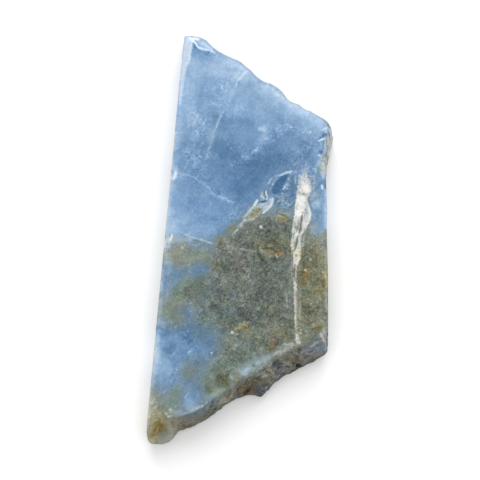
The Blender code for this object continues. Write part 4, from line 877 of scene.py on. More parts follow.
LINES_A = [
    (1.0, [(257.9, 199.6, 1.1), (254.6, 204.8, 1.4), (251.4, 208.8, 1.2), (247.4, 213.6, 1.1), (244.2, 217.2, .9)]),
    (.8, [(238.4, 228.7, 1), (234.5, 232.3, .8), (230.3, 236.9, .7)]),
    (.95, [(268.6, 183.8, .6), (270.4, 180, .7), (273.4, 176.8, .6), (278.8, 175.4, 1), (284.2, 173.4, 1.1), (288.4, 172.1, .8), (292.4, 171.4, .5)]),
    (1.0, [(247.6, 70.6, .8), (242, 75.3, 1.1), (238.6, 79.7, 1), (237, 83, .9), (235.6, 88, .8)]),
    (.8, [(223.6, 111.6, .8), (221, 115.5, .9), (218.5, 121, .8), (216, 128.6, .8), (213.6, 133.7, .8), (212, 140.3, .7), (209.5, 147, .7), (207.4, 154, .6), (208.6, 158, .5)]),
    (.34, [(177.4, 170.6, 1.3), (181.5, 174.2, .9), (190.7, 175.7, .8), (197.3, 179.8, .9), (200.9, 182.9, .8), (208, 186.4, .8), (211.6, 192, .8), (215.7, 196, 1), (221.3, 197.7, 1.2), (227.4, 200.7, .9), (235, 202.8, .7)]),
    (.8, [(180.3, 231.4, .7), (189.4, 236.2, .6), (197, 238.6, .7), (202.7, 240.2, .6), (208.8, 242.3, .9), (214.8, 243.8, .5)]),
    (.9, [(172.9, 234.2, .8), (170.9, 239.5, .9), (168.8, 244.8, .8)]),
    (.95, [(193, 41.2, .6), (195.5, 42.8, .9), (197.4, 46.4, .9), (200.6, 49.1, 1), (205.7, 49.6, .8), (210.8, 50.7, .9), (215.9, 53.6, .7)]),
    # painted glint along the left bevel
    (1.0, [(190, 54, .5), (189.4, 58, .8), (188.2, 63, .8), (185.8, 67, .9), (185.1, 74, .6)]),
    # painted glints below the two chipped notches of the upper right corner, and a painted highlight along the edge
    # above them
    (1.0, [(317.5, 141.4, .5), (321, 139.7, 1.0), (324.6, 138.5, .9)]),
    (.9, [(317.6, 154.6, .6), (319.4, 155.2, 1), (321.4, 155.8, .6)]),
    (.75, [(326.7, 123.6, .5), (327.0, 128, .8), (326.8, 132.6, .6)]),
    (1.0, [(321.5, 184.6, .8), (322.3, 187.2, 1.2), (322.9, 189.8, .9)]),
    (.6, [(316.4, 172, .6), (315.6, 168.4, .6)]),
    # painted glints along the right edge
    (.8, [(325.4, 207, .5), (325.6, 211.5, .6)]), (.8, [(325.9, 213.8, .5), (326.1, 218, .6)]),
    (.7, [(304.4, 237.2, .7), (303.4, 241, .7), (302, 247.6, .6)]),
    (.45, [(286.9, 291, .6), (286.7, 299, .8), (286.9, 308.6, .7)]),
    (.6, [(238.9, 248.2, .6), (244, 249.5, .7), (251, 250.5, .7), (256.5, 251.9, .6)]),
    (.85, [(321, 341.2, .7), (316, 343.8, .8), (312.2, 345.9, .6)]),
    (.5, [(319.3, 253.7, .6), (323, 254.4, .6), (326.4, 255.7, .5)]),
    (.6, [(189.2, 304, .6), (191.8, 302.2, .7)]), (.6, [(199, 311.2, .5), (203, 309.6, .7)]), (.7, [(174.4, 327.9, .8), (176.6, 325.4, .7)]),
    (.45, [(184.8, 325.8, .6), (187, 322.4, .6)]), (.5, [(186.4, 332.6, .6), (188.9, 329.4, .6)]),
    (.5, [(183.7, 356.6, .7), (188.8, 352.2, .8), (192.4, 350.4, .8)]), (.5, [(172.9, 355.2, .8), (175.4, 351, .6)]),
    (.5, [(219.7, 285, .7), (223.3, 280.2, .7), (228.2, 277, .6)]), (.5, [(175.9, 371.6, .7), (172.4, 376.8, .7), (170.6, 381.8, .8)]),
    (.55, [(165.2, 391, .7), (164, 393.8, .7)]), (.6, [(189.2, 392.4, .7), (186.6, 395.6, .8), (185.2, 398.6, .8)]),
    (.42, [(166, 416.6, .8), (172, 415.6, .9), (178.5, 415.2, .8), (184, 413.6, 1), (190, 412, .9), (195, 410.4, 1.1), (199, 408, .9), (202, 406.3, 1.1), (205.6, 403.6, .9), (208.6, 400.6, 1)]),
    (.5, [(198.3, 393.6, .6), (198, 396.4, .7)]), (.35, [(207, 250.2, .6), (207.6, 246.4, .6)]), (.4, [(189.7, 239.4, .5), (189.4, 245, .5)]),
    (.35, [(264.2, 367.4, .7), (268, 361, .7), (272.4, 357, .6)]),
]
LINES_B = [
    (.5, [(304.9, 171, .6), (305.6, 166, .7), (306.8, 161.4, .6)]), (.42, [(307.8, 171, .5), (308.2, 165.6, .6)]), (.4, [(302.2, 173, .5), (302.7, 167, .6)]), (.45, [(299.6, 183, .5), (299.3, 176, .7), (300, 170, .6)]),
    (.4, [(297.6, 191, .5), (297.5, 185, .6)]), (.35, [(310.6, 182, .5), (310.2, 175, .6), (309.8, 170, .5)]), (.6, [(319.4, 164.6, .6), (321.6, 168.6, .7), (323.8, 172.6, .7), (325, 177, .6)]),
    (1.0, [(246.8, 219.4, 1.3), (243.6, 222.4, 1.6), (240.6, 226.6, 1.2)]),
    (.9, [(290.9, 169.4, .8), (290.4, 175.2, .9)]),
    (.35, [(235.6, 88, 1.1), (231, 98, 1.1), (226.8, 105.9, 1)]),
    (.2, [(225.3, 140.8, .7), (230, 147, .6), (235.5, 154, .6)]), (.25, [(198.8, 158.7, .6), (193.2, 169.4, .6)]),
    (.3, [(289.6, 282.3, .6), (289.4, 292, .5), (290.4, 302.5, .5)]), (.6, [(312.9, 344, .5), (314.6, 341.8, .6), (317.3, 341.5, .5)]),
    (.5, [(302.1, 347.2, .6), (302.3, 350.4, .7)]), (.45, [(190.4, 244.4, .6), (197.3, 245.4, .7)]), (.4, [(210, 248, .5), (211.6, 244.6, .5)]),
    # first stroke: a painted glint on the chip of the left edge
    (.9, [(176.6, 172, 1.0), (175, 175.4, 1.3), (173.2, 179.6, 1)]), (.6, [(323.5, 172.6, .5), (324.6, 175.8, .6)]),
    (.3, [(265.6, 196, .7), (262, 199, .7), (259.4, 204, .6)]),
    (.5, [(273.6, 197, .6), (272.6, 202.6, .7), (270, 209.4, .6)]), (.5, [(299.8, 319.6, .5), (299.9, 310, .6), (299.6, 305, .5)]),
    (.45, [(300.4, 339.8, .6), (300, 344, .5)]), (.4, [(253, 209.6, .5), (250, 215.4, .5)]),
    (.3, [(208.6, 401.4, .8), (214, 397, .9), (219.6, 395, .8)]),
]
LINES_DARK = [
    (.8, [(258.2, 252.6, .8), (260.6, 255.6, .9), (263.2, 258.4, .7)]), (.6, [(227.4, 302, .6), (227.4, 306.4, .6)]),
    (.7, [(174, 373.2, .6), (171.6, 376.8, .6), (169.6, 380, .5)]), (.4, [(192, 240.1, .8), (197, 241.2, 1), (201.5, 242.2, .8)]),
    # first stroke: painted shade in a chipped notch of the upper right corner
    (.75, [(318.6, 139.3, .5), (322, 137, 1.2), (326.2, 135.4, 1.8)]), (.8, [(270.4, 247.4, .9), (272.6, 249.4, 1.1), (275, 251.2, .9)]),
    (.6, [(266.2, 276, .9), (267.4, 272.4, .7), (269.8, 269.2, .6)]), (.5, [(325.3, 178.6, .6), (326.2, 185.6, .6)]),
    # second stroke: painted shade in the other chipped notch
    (.5, [(239.4, 80.6, .8), (237.8, 85, .8)]), (.7, [(319.4, 150.6, 1), (321.6, 152.8, 1.5), (322.6, 151, 1)]),
    (.5, [(259, 202.2, .6), (263.2, 201.6, .7)]), (.6, [(302.9, 212, .5), (301.9, 217.4, .8), (301.3, 223, .9), (301.1, 229.6, .9), (300.6, 233.4, .6)]),
    (.6, [(298.2, 226, .5), (297.4, 230, .8), (297, 233.6, .6)]), (.4, [(297.6, 238.6, .5), (296.8, 243, .8), (295.4, 247.4, .6)]),
    (.5, [(293.4, 234, .4), (293, 240, .5)]), (.6, [(296.4, 254.6, .8), (296.1, 257.6, .8)]), (.6, [(294.1, 268.6, .5), (293.9, 274, .7), (294.2, 278.4, .5)]),
    (.4, [(300.2, 205.6, .6), (301.2, 210, .6)]), (.5, [(302, 193.6, .9), (305.8, 195, 1.1)]), (.35, [(306.6, 181, .7), (307, 186, .7)]),
    (.45, [(305.2, 209, .6), (306, 214, .7)]), (.4, [(308, 196.8, .8), (309.6, 200.6, 1)]), (.3, [(300.8, 183, .7), (300.2, 188, .6)]),
    (.35, [(297.4, 204, .4), (296.6, 211, .5)]), (.4, [(296, 290, .4), (296, 297, .5)]), (.35, [(304.8, 174, .5), (304.4, 179, .6)]),
    (.5, [(193.6, 44.8, 1), (196.4, 49.2, 1.2)]), (.35, [(203.6, 53.6, 1), (208.4, 55.4, 1.2), (213, 56.8, .9)]),
]
# Small marks, placed last: lightness strokes, then warmth strokes.
DETAIL = [
    # slate facet of the right corner, its streaks and the strip under it
    (118, .9, 1, [(322, 346, 4.6), (312, 348, 4.6), (304, 350, 3)]), (168, .7, .9, [(309.5, 347.5, .6), (313.5, 344.6, .8), (318, 342.4, .7)]), (192, .8, .9, [(311.6, 345.6, .7), (315, 343.4, .9), (317.6, 342.2, .6)]),
    (168, .6, .9, [(320, 336, .7), (316.6, 339.6, .7)]), (160, .5, .9, [(324.6, 344, .5), (321, 348, .6)]), (150, .5, .9, [(308, 350.6, .5), (312, 349.6, .6)]),
    (205, .9, .9, [(321.6, 336.8, 1.1)]), (215, .9, .9, [(323.4, 339.6, 1)]), (204, .8, .9, [(325.2, 331, 1.1)]), (190, .7, .9, [(324.6, 334.4, .9), (320, 334.2, .9)]), (196, .7, .9, [(322.8, 329.4, .8)]),
    (90, .7, .9, [(318, 345.6, .7), (322, 342.6, .8)]), (96, .6, .9, [(314.8, 335.8, .8), (311.6, 339.8, .9)]), (112, .9, 1, [(324, 352.4, 1.8), (316, 356.2, 2.2), (308, 358.8, 2.2)]),
    (90, .8, .9, [(325.6, 352, .7), (317, 357.8, .8), (308, 361.8, .7)]), (142, .6, .8, [(322, 352.2, .6), (316, 354.6, .7), (311, 355.6, .6)]), (104, .6, .9, [(312, 358.4, .9), (319, 354.4, .8)]),
    # brown knob and the lumps along the middle
    (112, .9, 1, [(296, 350.6, 2.8)]), (72, .9, .9, [(299.4, 350.4, 1.3), (298.4, 352.6, .9)]), (84, .8, .9, [(293, 351.8, 1)]), (150, .6, .9, [(291, 348.8, .7), (294, 347, .6)]), (142, .7, 1, [(302, 352.8, 1.4), (306, 351.2, 1.2)]),
    (116, .9, 1, [(291, 361, 3.4)]), (160, .8, .8, [(286.6, 358.6, .6), (289, 356.4, .8), (292.6, 356, .8), (295.6, 358, .6)]), (150, .7, .8, [(288, 362, .6), (290.6, 360, .7), (293.8, 360.6, .6)]), (82, .8, .8, [(288.4, 360, .6), (291, 358.2, .7)]),
    # the first two strokes paint the shade in a hole of the skin
    (30, 1, .8, [(293.9, 363.8, 1.1)]), (28, 1, .8, [(297, 366.2, 1.2), (299.8, 365.2, 1.3)]), (122, .9, 1, [(299.6, 360, 2.2)]), (152, .7, .9, [(299, 357.4, .8), (301.6, 359.4, .7)]), (60, .8, .9, [(300, 363.2, .8), (302.4, 361.4, .7)]),
    (128, .8, 1, [(305, 360.4, 1.8)]), (84, .95, 1, [(275, 364.8, 2.8), (279.4, 364.2, 2.8)]), (128, .7, .8, [(271, 361.8, .6), (274, 360.6, .6)]), (140, .6, .8, [(279.6, 359.8, .7), (282, 358.8, .7)]), (104, .7, .9, [(273, 367.6, 1)]),
    (118, .9, 1, [(268, 370.4, 3.8), (266, 376, 3.8), (262, 380, 3)]), (154, .8, .8, [(264.4, 372.4, .6), (266.8, 369.4, .8), (270.4, 369.8, .8), (272.4, 372, .6)]), (148, .7, .8, [(268, 374.8, .6), (271, 374.2, .8), (274, 376, .6)]),
    (144, .7, .8, [(262, 377.4, .6), (265, 375.6, .8), (267.6, 378, .6)]), (64, .8, .8, [(266, 371.6, .6), (269.4, 372.4, .7)]), (60, .8, .8, [(270.4, 377.2, .7), (273.4, 379, .7)]), (70, .8, .8, [(259.4, 377.6, .8), (262.4, 380.4, .8)]),
    (74, .7, .8, [(274.4, 371, .7), (277, 373.6, .7)]), (104, .9, 1, [(279.4, 371.6, 2.6)]), (142, .6, .8, [(276, 378, .6), (280, 374.2, .7), (284, 371.8, .6)]), (72, .7, .8, [(281, 377, .7), (276.4, 382, .7)]),
    (92, .9, 1, [(256, 381.4, 3.6)]), (138, .7, .8, [(252, 383, .6), (255, 380.4, .8), (258.4, 381, .6)]), (132, .7, .8, [(257, 385, .6), (260.4, 383.6, .8), (263, 385.4, .6)]), (138, .6, 1, [(261.4, 382.4, .9)]),
    (80, .95, 1, [(262, 389, 2.8), (259, 393, 2.4)]), (112, .6, .9, [(258, 388, .6), (262, 386.6, .7)]), (104, .6, .9, [(263.6, 388.6, .6), (260.6, 392.6, .7)]), (82, .95, 1, [(246, 386.4, 4), (243, 391, 3.2)]),
    (54, .9, .9, [(250.4, 389.6, 1), (246.6, 391.6, 1.2)]), (56, .9, .9, [(252.6, 385.6, .9)]), (118, .6, .9, [(244.6, 383.4, .8), (249, 382, .8)]), (112, .6, .9, [(240.6, 388.6, .9)]), (116, .9, 1, [(235, 391, 3), (230.6, 395, 2.6)]),
    (172, .7, .9, [(232.4, 387.6, .6), (232.2, 392, .8), (231.6, 397, .6)]), (82, .7, .9, [(236.8, 388, 1), (238.6, 393.4, .8)]), (130, .6, .9, [(226.6, 399.6, 1.2)]), (126, .8, 1, [(226, 392.6, 2)]), (160, .7, 1, [(224.6, 397.6, 1.4)]),
    # left part of the skin, slate above and brown below
    (112, .9, 1, [(214, 399.4, 2.4), (206, 406, 2.8), (197, 412.4, 2.8), (188, 417, 2.4), (180, 419.4, 1.8)]), (140, .7, .8, [(211, 402, .6), (208.6, 405.6, .7), (206.6, 409.6, .6)]), (86, .8, .9, [(213.6, 401.4, .7), (211, 407, .8), (207.6, 411.4, .7)]),
    (136, .6, .8, [(203.4, 406.6, .6), (200.6, 410.4, .7)]), (88, .7, .9, [(199, 409.4, .8), (195.6, 413.4, .8)]), (148, .7, .8, [(217.4, 405, .6), (220.8, 404, .7)]), (78, .8, .9, [(217, 408, .8), (213, 411.6, .8), (208, 415.4, .7)]),
    (104, .9, 1, [(190, 424, 3.4), (182, 427, 3.4), (199, 418.6, 2.6)]), (124, .6, .9, [(186, 423.6, .9), (192, 421, .9), (198, 417.4, .7)]), (84, .7, .9, [(183.6, 426.4, 1.1), (190.4, 425.6, .9)]), (128, .6, .9, [(179, 423, .8), (182.6, 429.6, .7)]),
    (142, .7, .9, [(175.4, 421.6, 1.6)]), (118, .7, .9, [(176, 428.4, 1.2), (173.6, 433.6, 1)]), (130, .8, 1, [(168, 431, 4), (163.4, 437.4, 3.4)]), (146, .6, 1, [(166.6, 440, 2.2)]), (136, .5, 1, [(171.4, 427.4, 1.4)]),
    # pale aqua rim, its dark spots, and the white threads at the vein's foot
    (170, .95, .9, [(242.4, 373.4, 2.2), (246.6, 370.4, 2.8), (250.4, 367.8, 2.2)]), (165, .9, .9, [(256.4, 363.8, 1.6), (260, 361.2, 2), (264.4, 359.2, 1.8), (268.6, 357.4, 1.3)]), (192, .8, .9, [(256.6, 363.8, .8), (258.4, 361.4, .8)]),
    # last stroke: painted shade in a small pit of the aqua rim
    (188, .7, .9, [(265, 360.4, .8), (269, 357.6, .7)]), (186, .6, .9, [(243.4, 372.2, 1.2), (247.6, 369.4, 1.2)]), (148, .8, 1, [(245, 364.4, 2.2), (250.6, 361.4, 1.8)]), (112, .8, .9, [(253.6, 366.6, 1.1)]),
    (106, .7, .9, [(254.6, 371.6, 1.2)]), (154, .85, 1, [(250, 371, 1.8), (256, 368.2, 2), (262, 364.8, 1.8), (268, 360.6, 1.4)]), (112, .8, 1, [(250, 378.6, 1.4), (256, 375.2, 1.4), (262, 371.4, 1.4), (268, 367.2, 1.4)]), (150, .8, 1, [(231, 377, 1.8)]), (178, .6, .9, [(230.6, 375.6, .8), (232.6, 378.6, .8)]),
    (116, .8, 1, [(238, 378.6, 1.6)]), (158, .8, 1, [(236.6, 370.6, 1.6)]), (98, .7, 1, [(243.4, 378.4, 1.4), (239, 382.4, 1.2)]), (150, .7, 1, [(276, 353.6, 2), (281, 350.6, 2.2), (287, 349.2, 2)]),
    (188, .8, .9, [(274, 354.6, .6), (277.4, 352, .8), (281, 350.6, .8)]), (178, .7, .9, [(280.4, 352.4, .6), (284.6, 350.8, .7)]), (186, .8, .9, [(285.4, 349.6, .7), (289.4, 347.2, .8), (293, 344.4, .7)]), (182, .8, .9, [(282.6, 344.6, .6), (286, 343, .8), (290.6, 343.2, .8)]),
    (170, .6, .9, [(283, 341.6, .6), (288, 340.4, .6)]), (116, .8, 1, [(284, 354.8, 1.5), (289, 352.8, 1.5)]), (136, .7, 1, [(303.4, 345, 1.6)]), (170, .5, .9, [(302.6, 349, .6), (303, 345, .6)]), (122, .7, 1, [(272, 358.6, 1.3), (277, 356.6, 1.3)]),
    # upper right skin
    (150, .95, .9, [(330.4, 134, 2.2), (329.6, 144, 2.6), (328, 154, 2.2), (325, 166, 3)]), (118, .8, .9, [(329.2, 136, .8), (328.6, 144, .9), (327.6, 152, .8)]), (168, .6, .9, [(331.6, 139, .7), (331, 147, .8)]), (112, .7, .9, [(327.6, 156.6, 1), (326.6, 160.6, .9)]),
    (172, .7, 1, [(323.6, 163.4, 1.8), (324.2, 169, 1.6)]), (134, .6, .9, [(322.6, 167.4, .7), (325.6, 164.4, .8)]), (192, .8, .9, [(326.4, 129, .8), (326.2, 133, .7)]), (194, .7, .9, [(325.2, 143, .7), (324.6, 150, .8), (321, 157.6, .8), (318.6, 164.6, .8)]),
    (186, .6, .9, [(320.6, 170.4, .8), (323.4, 176, .8)]), (122, .8, .9, [(320, 117.4, .8), (326, 122, .9), (330, 127, 1), (332.4, 133, 1)]),
    # painted shade in the two chipped notches of the upper right corner
    (96, .8, .9, [(325.6, 134.6, 1.2), (323.6, 135.6, .8)]), (104, .7, .9, [(321.6, 151.4, .9)]),
    # between the vein and the right edge
    (180, .6, .9, [(311, 183.6, .6), (311.2, 190, .6)]), (174, .6, .9, [(314.2, 176, .6), (313.6, 188, .7), (313.2, 204, .7)]), (202, .8, .9, [(315.4, 169, .7), (315.6, 172, .6)]), (116, .7, 1, [(325, 180, 1.2), (325.6, 188, 1)]),
    # the fracture: pocket, mauve slope and crumbs beside it, speckled slope, pale facet
    (124, .7, 1, [(288, 176, 2.6), (292, 184, 3), (291, 192, 3)]), (103, 1, .6, [(285.4, 177.4, 2), (283.2, 182, 3.4), (279.4, 187, 3.6), (275.8, 190.6, 3.2), (274.6, 191.8, 1.8)]), (116, .5, .8, [(280.4, 180.4, 1), (284, 182, 1)]),
    (156, .85, .8, [(278, 177.4, 1.3), (274.4, 180.8, 1.6), (271.8, 184.6, 1.6), (270.4, 188, 1.1)]), (224, .85, .8, [(273, 184.1, .8)]), (204, .7, .8, [(274.7, 181.5, .6)]), (190, .6, .8, [(277, 178.6, .5)]), (196, .6, .8, [(271.4, 186.8, .5)]),
    (196, .6, .8, [(268.4, 182.4, .6), (267.6, 183.6, .5)]), (112, .6, .8, [(280.6, 177, .5), (286, 174.9, .6), (291, 173.6, .7)]), (152, .8, .9, [(289, 178.4, 1.8), (287.6, 182.6, 2), (285, 187, 1.8)]),
    (208, .85, .8, [(288.4, 179.2, .8)]), (226, .9, .8, [(286.8, 184.3, 1)]), (216, .85, .8, [(284.8, 186.4, .7)]), (230, .9, .8, [(283.2, 188.6, .9)]), (198, .75, .8, [(289.5, 185.6, .6)]), (192, .7, .8, [(287, 188.5, .6)]), (184, .7, .8, [(291, 181, .6)]),
    (190, .6, .8, [(290.2, 176.8, .5)]), (118, .75, .8, [(290.6, 183, .7), (289.4, 187.2, .7)]), (120, .65, .8, [(287.8, 181.4, .5)]), (124, .6, .8, [(285.8, 189, .6)]), (212, .85, .8, [(281.9, 193.3, .8)]), (194, .8, .8, [(277.8, 195.8, .9)]), (172, .6, .8, [(279.6, 194.4, .5)]),
    (200, .75, .8, [(295.8, 177, .5), (295.4, 180.6, .8), (295.2, 183.2, .5)]), (168, .75, 1, [(263.2, 195.8, 2.4)]), (150, .6, 1, [(268, 192, 1.6)]),
    (96, .8, .8, [(264.5, 190.4, .5), (264.7, 194, .6), (265.5, 197.4, .5)]), (120, .7, .8, [(268.7, 190, .7), (268.2, 193.8, .6)]), (240, .95, .8, [(265.9, 191.2, .7), (266.2, 194.8, .8)]), (228, .9, .8, [(267.5, 195.6, .6), (267.2, 198.4, .8), (266, 200.2, .5)]),
    (216, .85, .8, [(261.6, 195.8, .7), (263.9, 198.4, .7)]), (206, .75, .8, [(262.4, 192.4, .5), (260.8, 197, .6)]), (200, .7, .8, [(263.2, 200, .5)]), (188, .9, .8, [(262, 204.6, 1.8), (266.8, 204, 2.2), (264, 208, 2.1)]),
    (206, .9, .8, [(271, 200, 1.6), (270.2, 204, 1.9), (267.2, 208.2, 1.7), (264, 211.4, 1.2)]), (230, .85, .8, [(272.9, 197.6, .5), (272.9, 201, .7), (270.6, 206, .7), (267, 209.8, .7), (262.6, 213.4, .6)]), (176, .6, .8, [(268.6, 201, .7)]),
    (70, .85, .8, [(258.4, 202.9, .6), (261.4, 201.9, .8), (264.8, 201.4, .7), (266.4, 200.8, .4)]), (178, .8, .9, [(258.6, 204.6, 1.1), (258, 206.4, .9)]), (198, .7, .8, [(257, 206.6, .7), (260.8, 207.4, .9)]),
    (112, .85, .9, [(260.1, 209.4, .9), (259, 211.8, .9)]), (142, .85, 1, [(254.6, 214.4, 2.7)]), (174, .8, .8, [(254.6, 212.4, .9)]), (166, .7, .8, [(256.6, 215.8, .8)]), (104, .75, .8, [(251.6, 215.8, .7), (257.8, 213.2, .6)]), (206, .7, .9, [(250, 220.2, .6), (254.4, 218.4, .7)]),
    (148, .8, 1, [(281.6, 217.2, 2.8)]), (178, .7, .8, [(280.4, 215.8, .8)]), (172, .7, .8, [(283.8, 218.4, .7)]), (112, .6, .8, [(282, 219.6, .7), (278.6, 217.6, .6)]), (240, .9, .9, [(257.2, 200.6, 1), (254.6, 204.6, 1.1)]),
    (138, .7, 1, [(277, 199, 2.4), (284, 198, 2.6), (291, 200, 2.6)]), (236, .95, .8, [(321.8, 185.6, .9), (322.6, 188.4, 1)]), (200, .6, .8, [(318.6, 162.6, .7), (316.6, 166, .7)]),
    # darker places of the matrix and of the skin below it
    (107, .8, 1, [(290, 340, 3.4), (284, 337, 3)]), (104, .7, 1, [(304, 291, 3), (302, 302, 3)]), (112, .7, 1, [(300, 300, 2.4)]), (124, .8, 1, [(232, 372, 2.6), (227, 367, 2.4)]), (120, .8, 1, [(222, 352, 4), (227, 358, 3)]), (126, .6, 1, [(262, 352, 3)]),
    (110, .7, 1, [(318, 340, 2), (312, 344, 2)]), (96, .85, 1, [(286, 357, 3), (292, 360, 3.4), (302, 361, 3)]), (100, .8, 1, [(270, 378, 3.4), (264, 382, 3)]), (88, .85, 1, [(261, 384, 3), (258, 388, 2.6)]), (106, .8, 1, [(231, 391, 2.6), (226, 395, 2.4)]),
    (124, .8, 1, [(222, 398, 2.6)]), (104, .8, 1, [(198, 419, 2.6), (191, 421, 2.4)]), (118, .6, 1, [(306, 325, 3), (318, 320, 3)]), (124, .6, 1, [(240, 262, 4), (246, 268, 3)]), (186, .9, 1, [(284.4, 186, .6)]), (150, .7, 1, [(270, 184, 1)]),
    (128, .7, 1, [(252, 228, 2.4)]), (168, .7, 1, [(244, 218, 1.6)]), (108, .7, 1, [(244, 382, 1.6), (238, 385, 1.6)]), (164, .7, 1, [(304, 210, .4)]),
    (114, .7, 1, [(262, 230, 6), (276, 228, 6), (284, 236, 5)]), (106, .6, 1, [(272, 240, 4)]), (92, .85, 1, [(220, 379, 3.2)]), (101, .8, 1, [(226, 384, 2.4), (220, 385.4, 2.2)]), (107, .7, 1, [(228, 373, 2.2)]), (113, .7, 1, [(219, 371.6, 2.4)]), (117, .7, 1, [(212, 369, 2.6)]),
    (110, .7, 1, [(243, 359, 3)]), (132, .6, 1, [(259, 358, 1.8)]), (117, .8, 1, [(211.6, 390, 1.8)]), (138, .7, 1, [(212, 384, 1.8)]), (112, .8, 1, [(244, 383, 1.8)]), (130, .8, 1, [(220, 396, 1.8)]), (112, .7, 1, [(228, 396, 1.8)]), (112, .8, 1, [(284, 366, 1.6)]),
    (156, .7, 1, [(168, 272, 2.6)]), (152, .7, 1, [(171, 282, 3), (168, 291, 3)]), (152, .7, 1, [(167, 345, 2.4)]), (174, .7, 1, [(167, 362, 2.6)]), (162, .6, 1, [(171, 364, 2)]), (172, .8, 1, [(189, 402, 3), (191, 407, 2.6)]), (188, .8, 1, [(318, 203, 2.4)]),
    (124, .6, 1, [(187, 337, 3)]), (112, .6, 1, [(188, 290, 4), (197, 288, 4)]),
    (168, .8, 1, [(150, 424, 1.8)]), (156, .7, 1, [(150, 431, 1.6)]), (130, .7, 1, [(154, 430.4, 1.1)]), (164, .8, 1, [(170, 412, 1.8), (176, 412, 1.6), (182, 411.6, 1.4)]), (118, .85, 1, [(158.4, 418, 1.9)]), (110, .85, 1, [(166, 418, 1.9)]), (114, .6, 1, [(174, 419, 1.8)]),
    (150, .85, 1, [(169, 425, 2.8), (171, 430, 2.8)]), (158, .85, 1, [(168, 436, 2.8), (164, 441, 2.2)]), (182, .8, 1, [(153, 442.4, 1.8), (150, 440, 1.6)]), (132, .7, 1, [(176, 424, 1.8)]), (106, .8, .9, [(160, 425, 1.4), (163, 428.6, 1.2)]),
    (176, .7, .8, [(157.6, 420.6, .7)]), (180, .7, .8, [(151.6, 428, .7)]), (92, .8, .8, [(157, 426.4, .7), (155.6, 434.4, .8)]), (170, .7, .8, [(153, 438.6, .7), (162, 421.6, .6)]),
    (182, .8, .8, [(279.2, 216, .8), (282.4, 216.4, .6)]), (186, .8, .8, [(284.2, 219, .7)]), (112, .75, .8, [(281, 219.4, .6), (286, 216.8, .6)]), (98, .8, .9, [(222, 240, 1.6), (219.6, 243.4, 1)]), (150, .7, .8, [(224.4, 239, .6), (220.4, 241.2, .5)]),
    (166, .75, .8, [(291.4, 250, .5), (291.5, 260, .6), (291.4, 270, .5), (291.6, 279, .5)]), (160, .7, .8, [(303.6, 233, .8), (303.4, 239, .7), (302.6, 246, .6)]), (148, .7, .8, [(305.4, 232, .6), (304.6, 240, .6)]), (152, .7, .8, [(299.6, 297, .5), (300.2, 305, .7), (299.8, 313, .6), (298.8, 320, .5)]),
    (150, .85, 1, [(315, 236, 4), (319, 243, 4), (318, 250, 3)]), (178, .75, 1, [(266.6, 125.4, 1.8), (263.4, 129, 2.2)]), (204, .8, .9, [(263.6, 126.6, 1.2), (265.4, 129.6, 1)]), (166, .6, 1, [(165, 258, 2.4), (170, 262, 3), (170, 270, 2.6)]), (158, .7, 1, [(168, 292, 2.2), (166.4, 300, 2)]), (150, .7, 1, [(168, 312, 2.6), (169, 321, 2.6)]),
    (124, .7, 1, [(226, 306, 5), (230, 314, 4)]), (160, .9, 1, [(241.6, 325.4, 2.4)]), (146, .8, 1, [(246, 324.4, 2), (237, 328, 2)]), (118, .6, 1, [(252, 228, 5), (244, 236, 4), (266, 238, 4)]), (180, .6, 1, [(280, 112, 4), (288, 116, 4)]), (158, .5, 1, [(186, 178, 5), (183, 166, 4)]), (152, .5, 1, [(200, 100, 4), (203, 90, 4)]),
    (116, .8, 1, [(192, 290, 3), (196, 287, 3)]), (190, .6, 1, [(318, 203, 2.2), (318.6, 207, 2)]), (112, .8, 1, [(188, 300, 2.2)]), (126, .6, 1, [(208, 294, 3), (206, 310, 3)]), (150, .5, 1, [(181, 243, 2.4)]), (150, .6, .8, [(191, 304, .6), (194, 300.4, .6)]), (152, .6, .8, [(186.4, 311.4, .5), (189.4, 307, .5)]), (160, .6, .8, [(189, 319.6, .5), (191.4, 315.4, .5)]),
    (172, .7, 1, [(152, 428, 1.4), (151.4, 432, 1.4)]), (116, .6, 1, [(153.4, 434.4, 1.2)]), (100, .85, .9, [(159.4, 424.4, 1.8), (162.4, 426, 1.2)]), (112, .7, .9, [(161, 431, 1.6)]), (144, .7, 1, [(172, 421, 1.8), (177, 424, 1.8)]), (150, .7, 1, [(175, 428.6, 2)]), (162, .8, 1, [(172, 433.6, 2.2), (169.6, 438.4, 2)]),
    (216, .8, .8, [(245.4, 72.4, .7), (241.6, 76.4, .9), (238, 80.6, .9)]), (190, .6, .8, [(235.6, 84, .6), (231.6, 91.4, .6), (228.6, 98, .6)]),
    (170, .6, .8, [(176, 171, 1), (181, 173.6, 1), (190.8, 175.8, 1.1), (200, 181.4, 1.1), (207.4, 186, 1.1), (211, 191.4, 1), (215.5, 195.8, 1)]), (174, .65, .9, [(219.4, 196.6, 1.6), (223.4, 197.8, 2.1), (227.6, 200.4, 1.6), (233, 203, 1)]),
    (190, .8, 1, [(264.4, 129.2, 3)]), (206, .7, .9, [(264, 129.8, 1.6)]), (166, .4, 1, [(190, 182, 1.2), (187, 194, 1.2), (185, 205, 1)]), (174, .4, .9, [(197, 158, .8), (193.6, 168, .8)]),
    (102, .8, 1, [(272, 349.4, 2.2)]), (116, .8, 1, [(276, 348.4, 1.6)]), (120, .75, 1, [(282, 345.6, 1.5)]), (112, .75, 1, [(266, 352.4, 2)]), (116, .7, 1, [(258, 355.6, 1.8)]), (108, .7, 1, [(250, 357.8, 2.2), (243, 361, 2.2)]), (102, .7, 1, [(236, 365.6, 2.2)]),
    (98, .7, 1, [(272, 334, 3), (276, 337, 3)]), (84, .8, 1, [(221, 379, 3)]), (94, .75, 1, [(228, 384, 2.4)]), (102, .7, 1, [(225, 371, 2.4), (214, 370, 2.4)]), (104, .6, 1, [(214, 354, 3)]), (174, .7, 1, [(163, 326, 2.2), (164.4, 323, 1.8)]), (170, .7, 1, [(162.6, 345, 2)]),
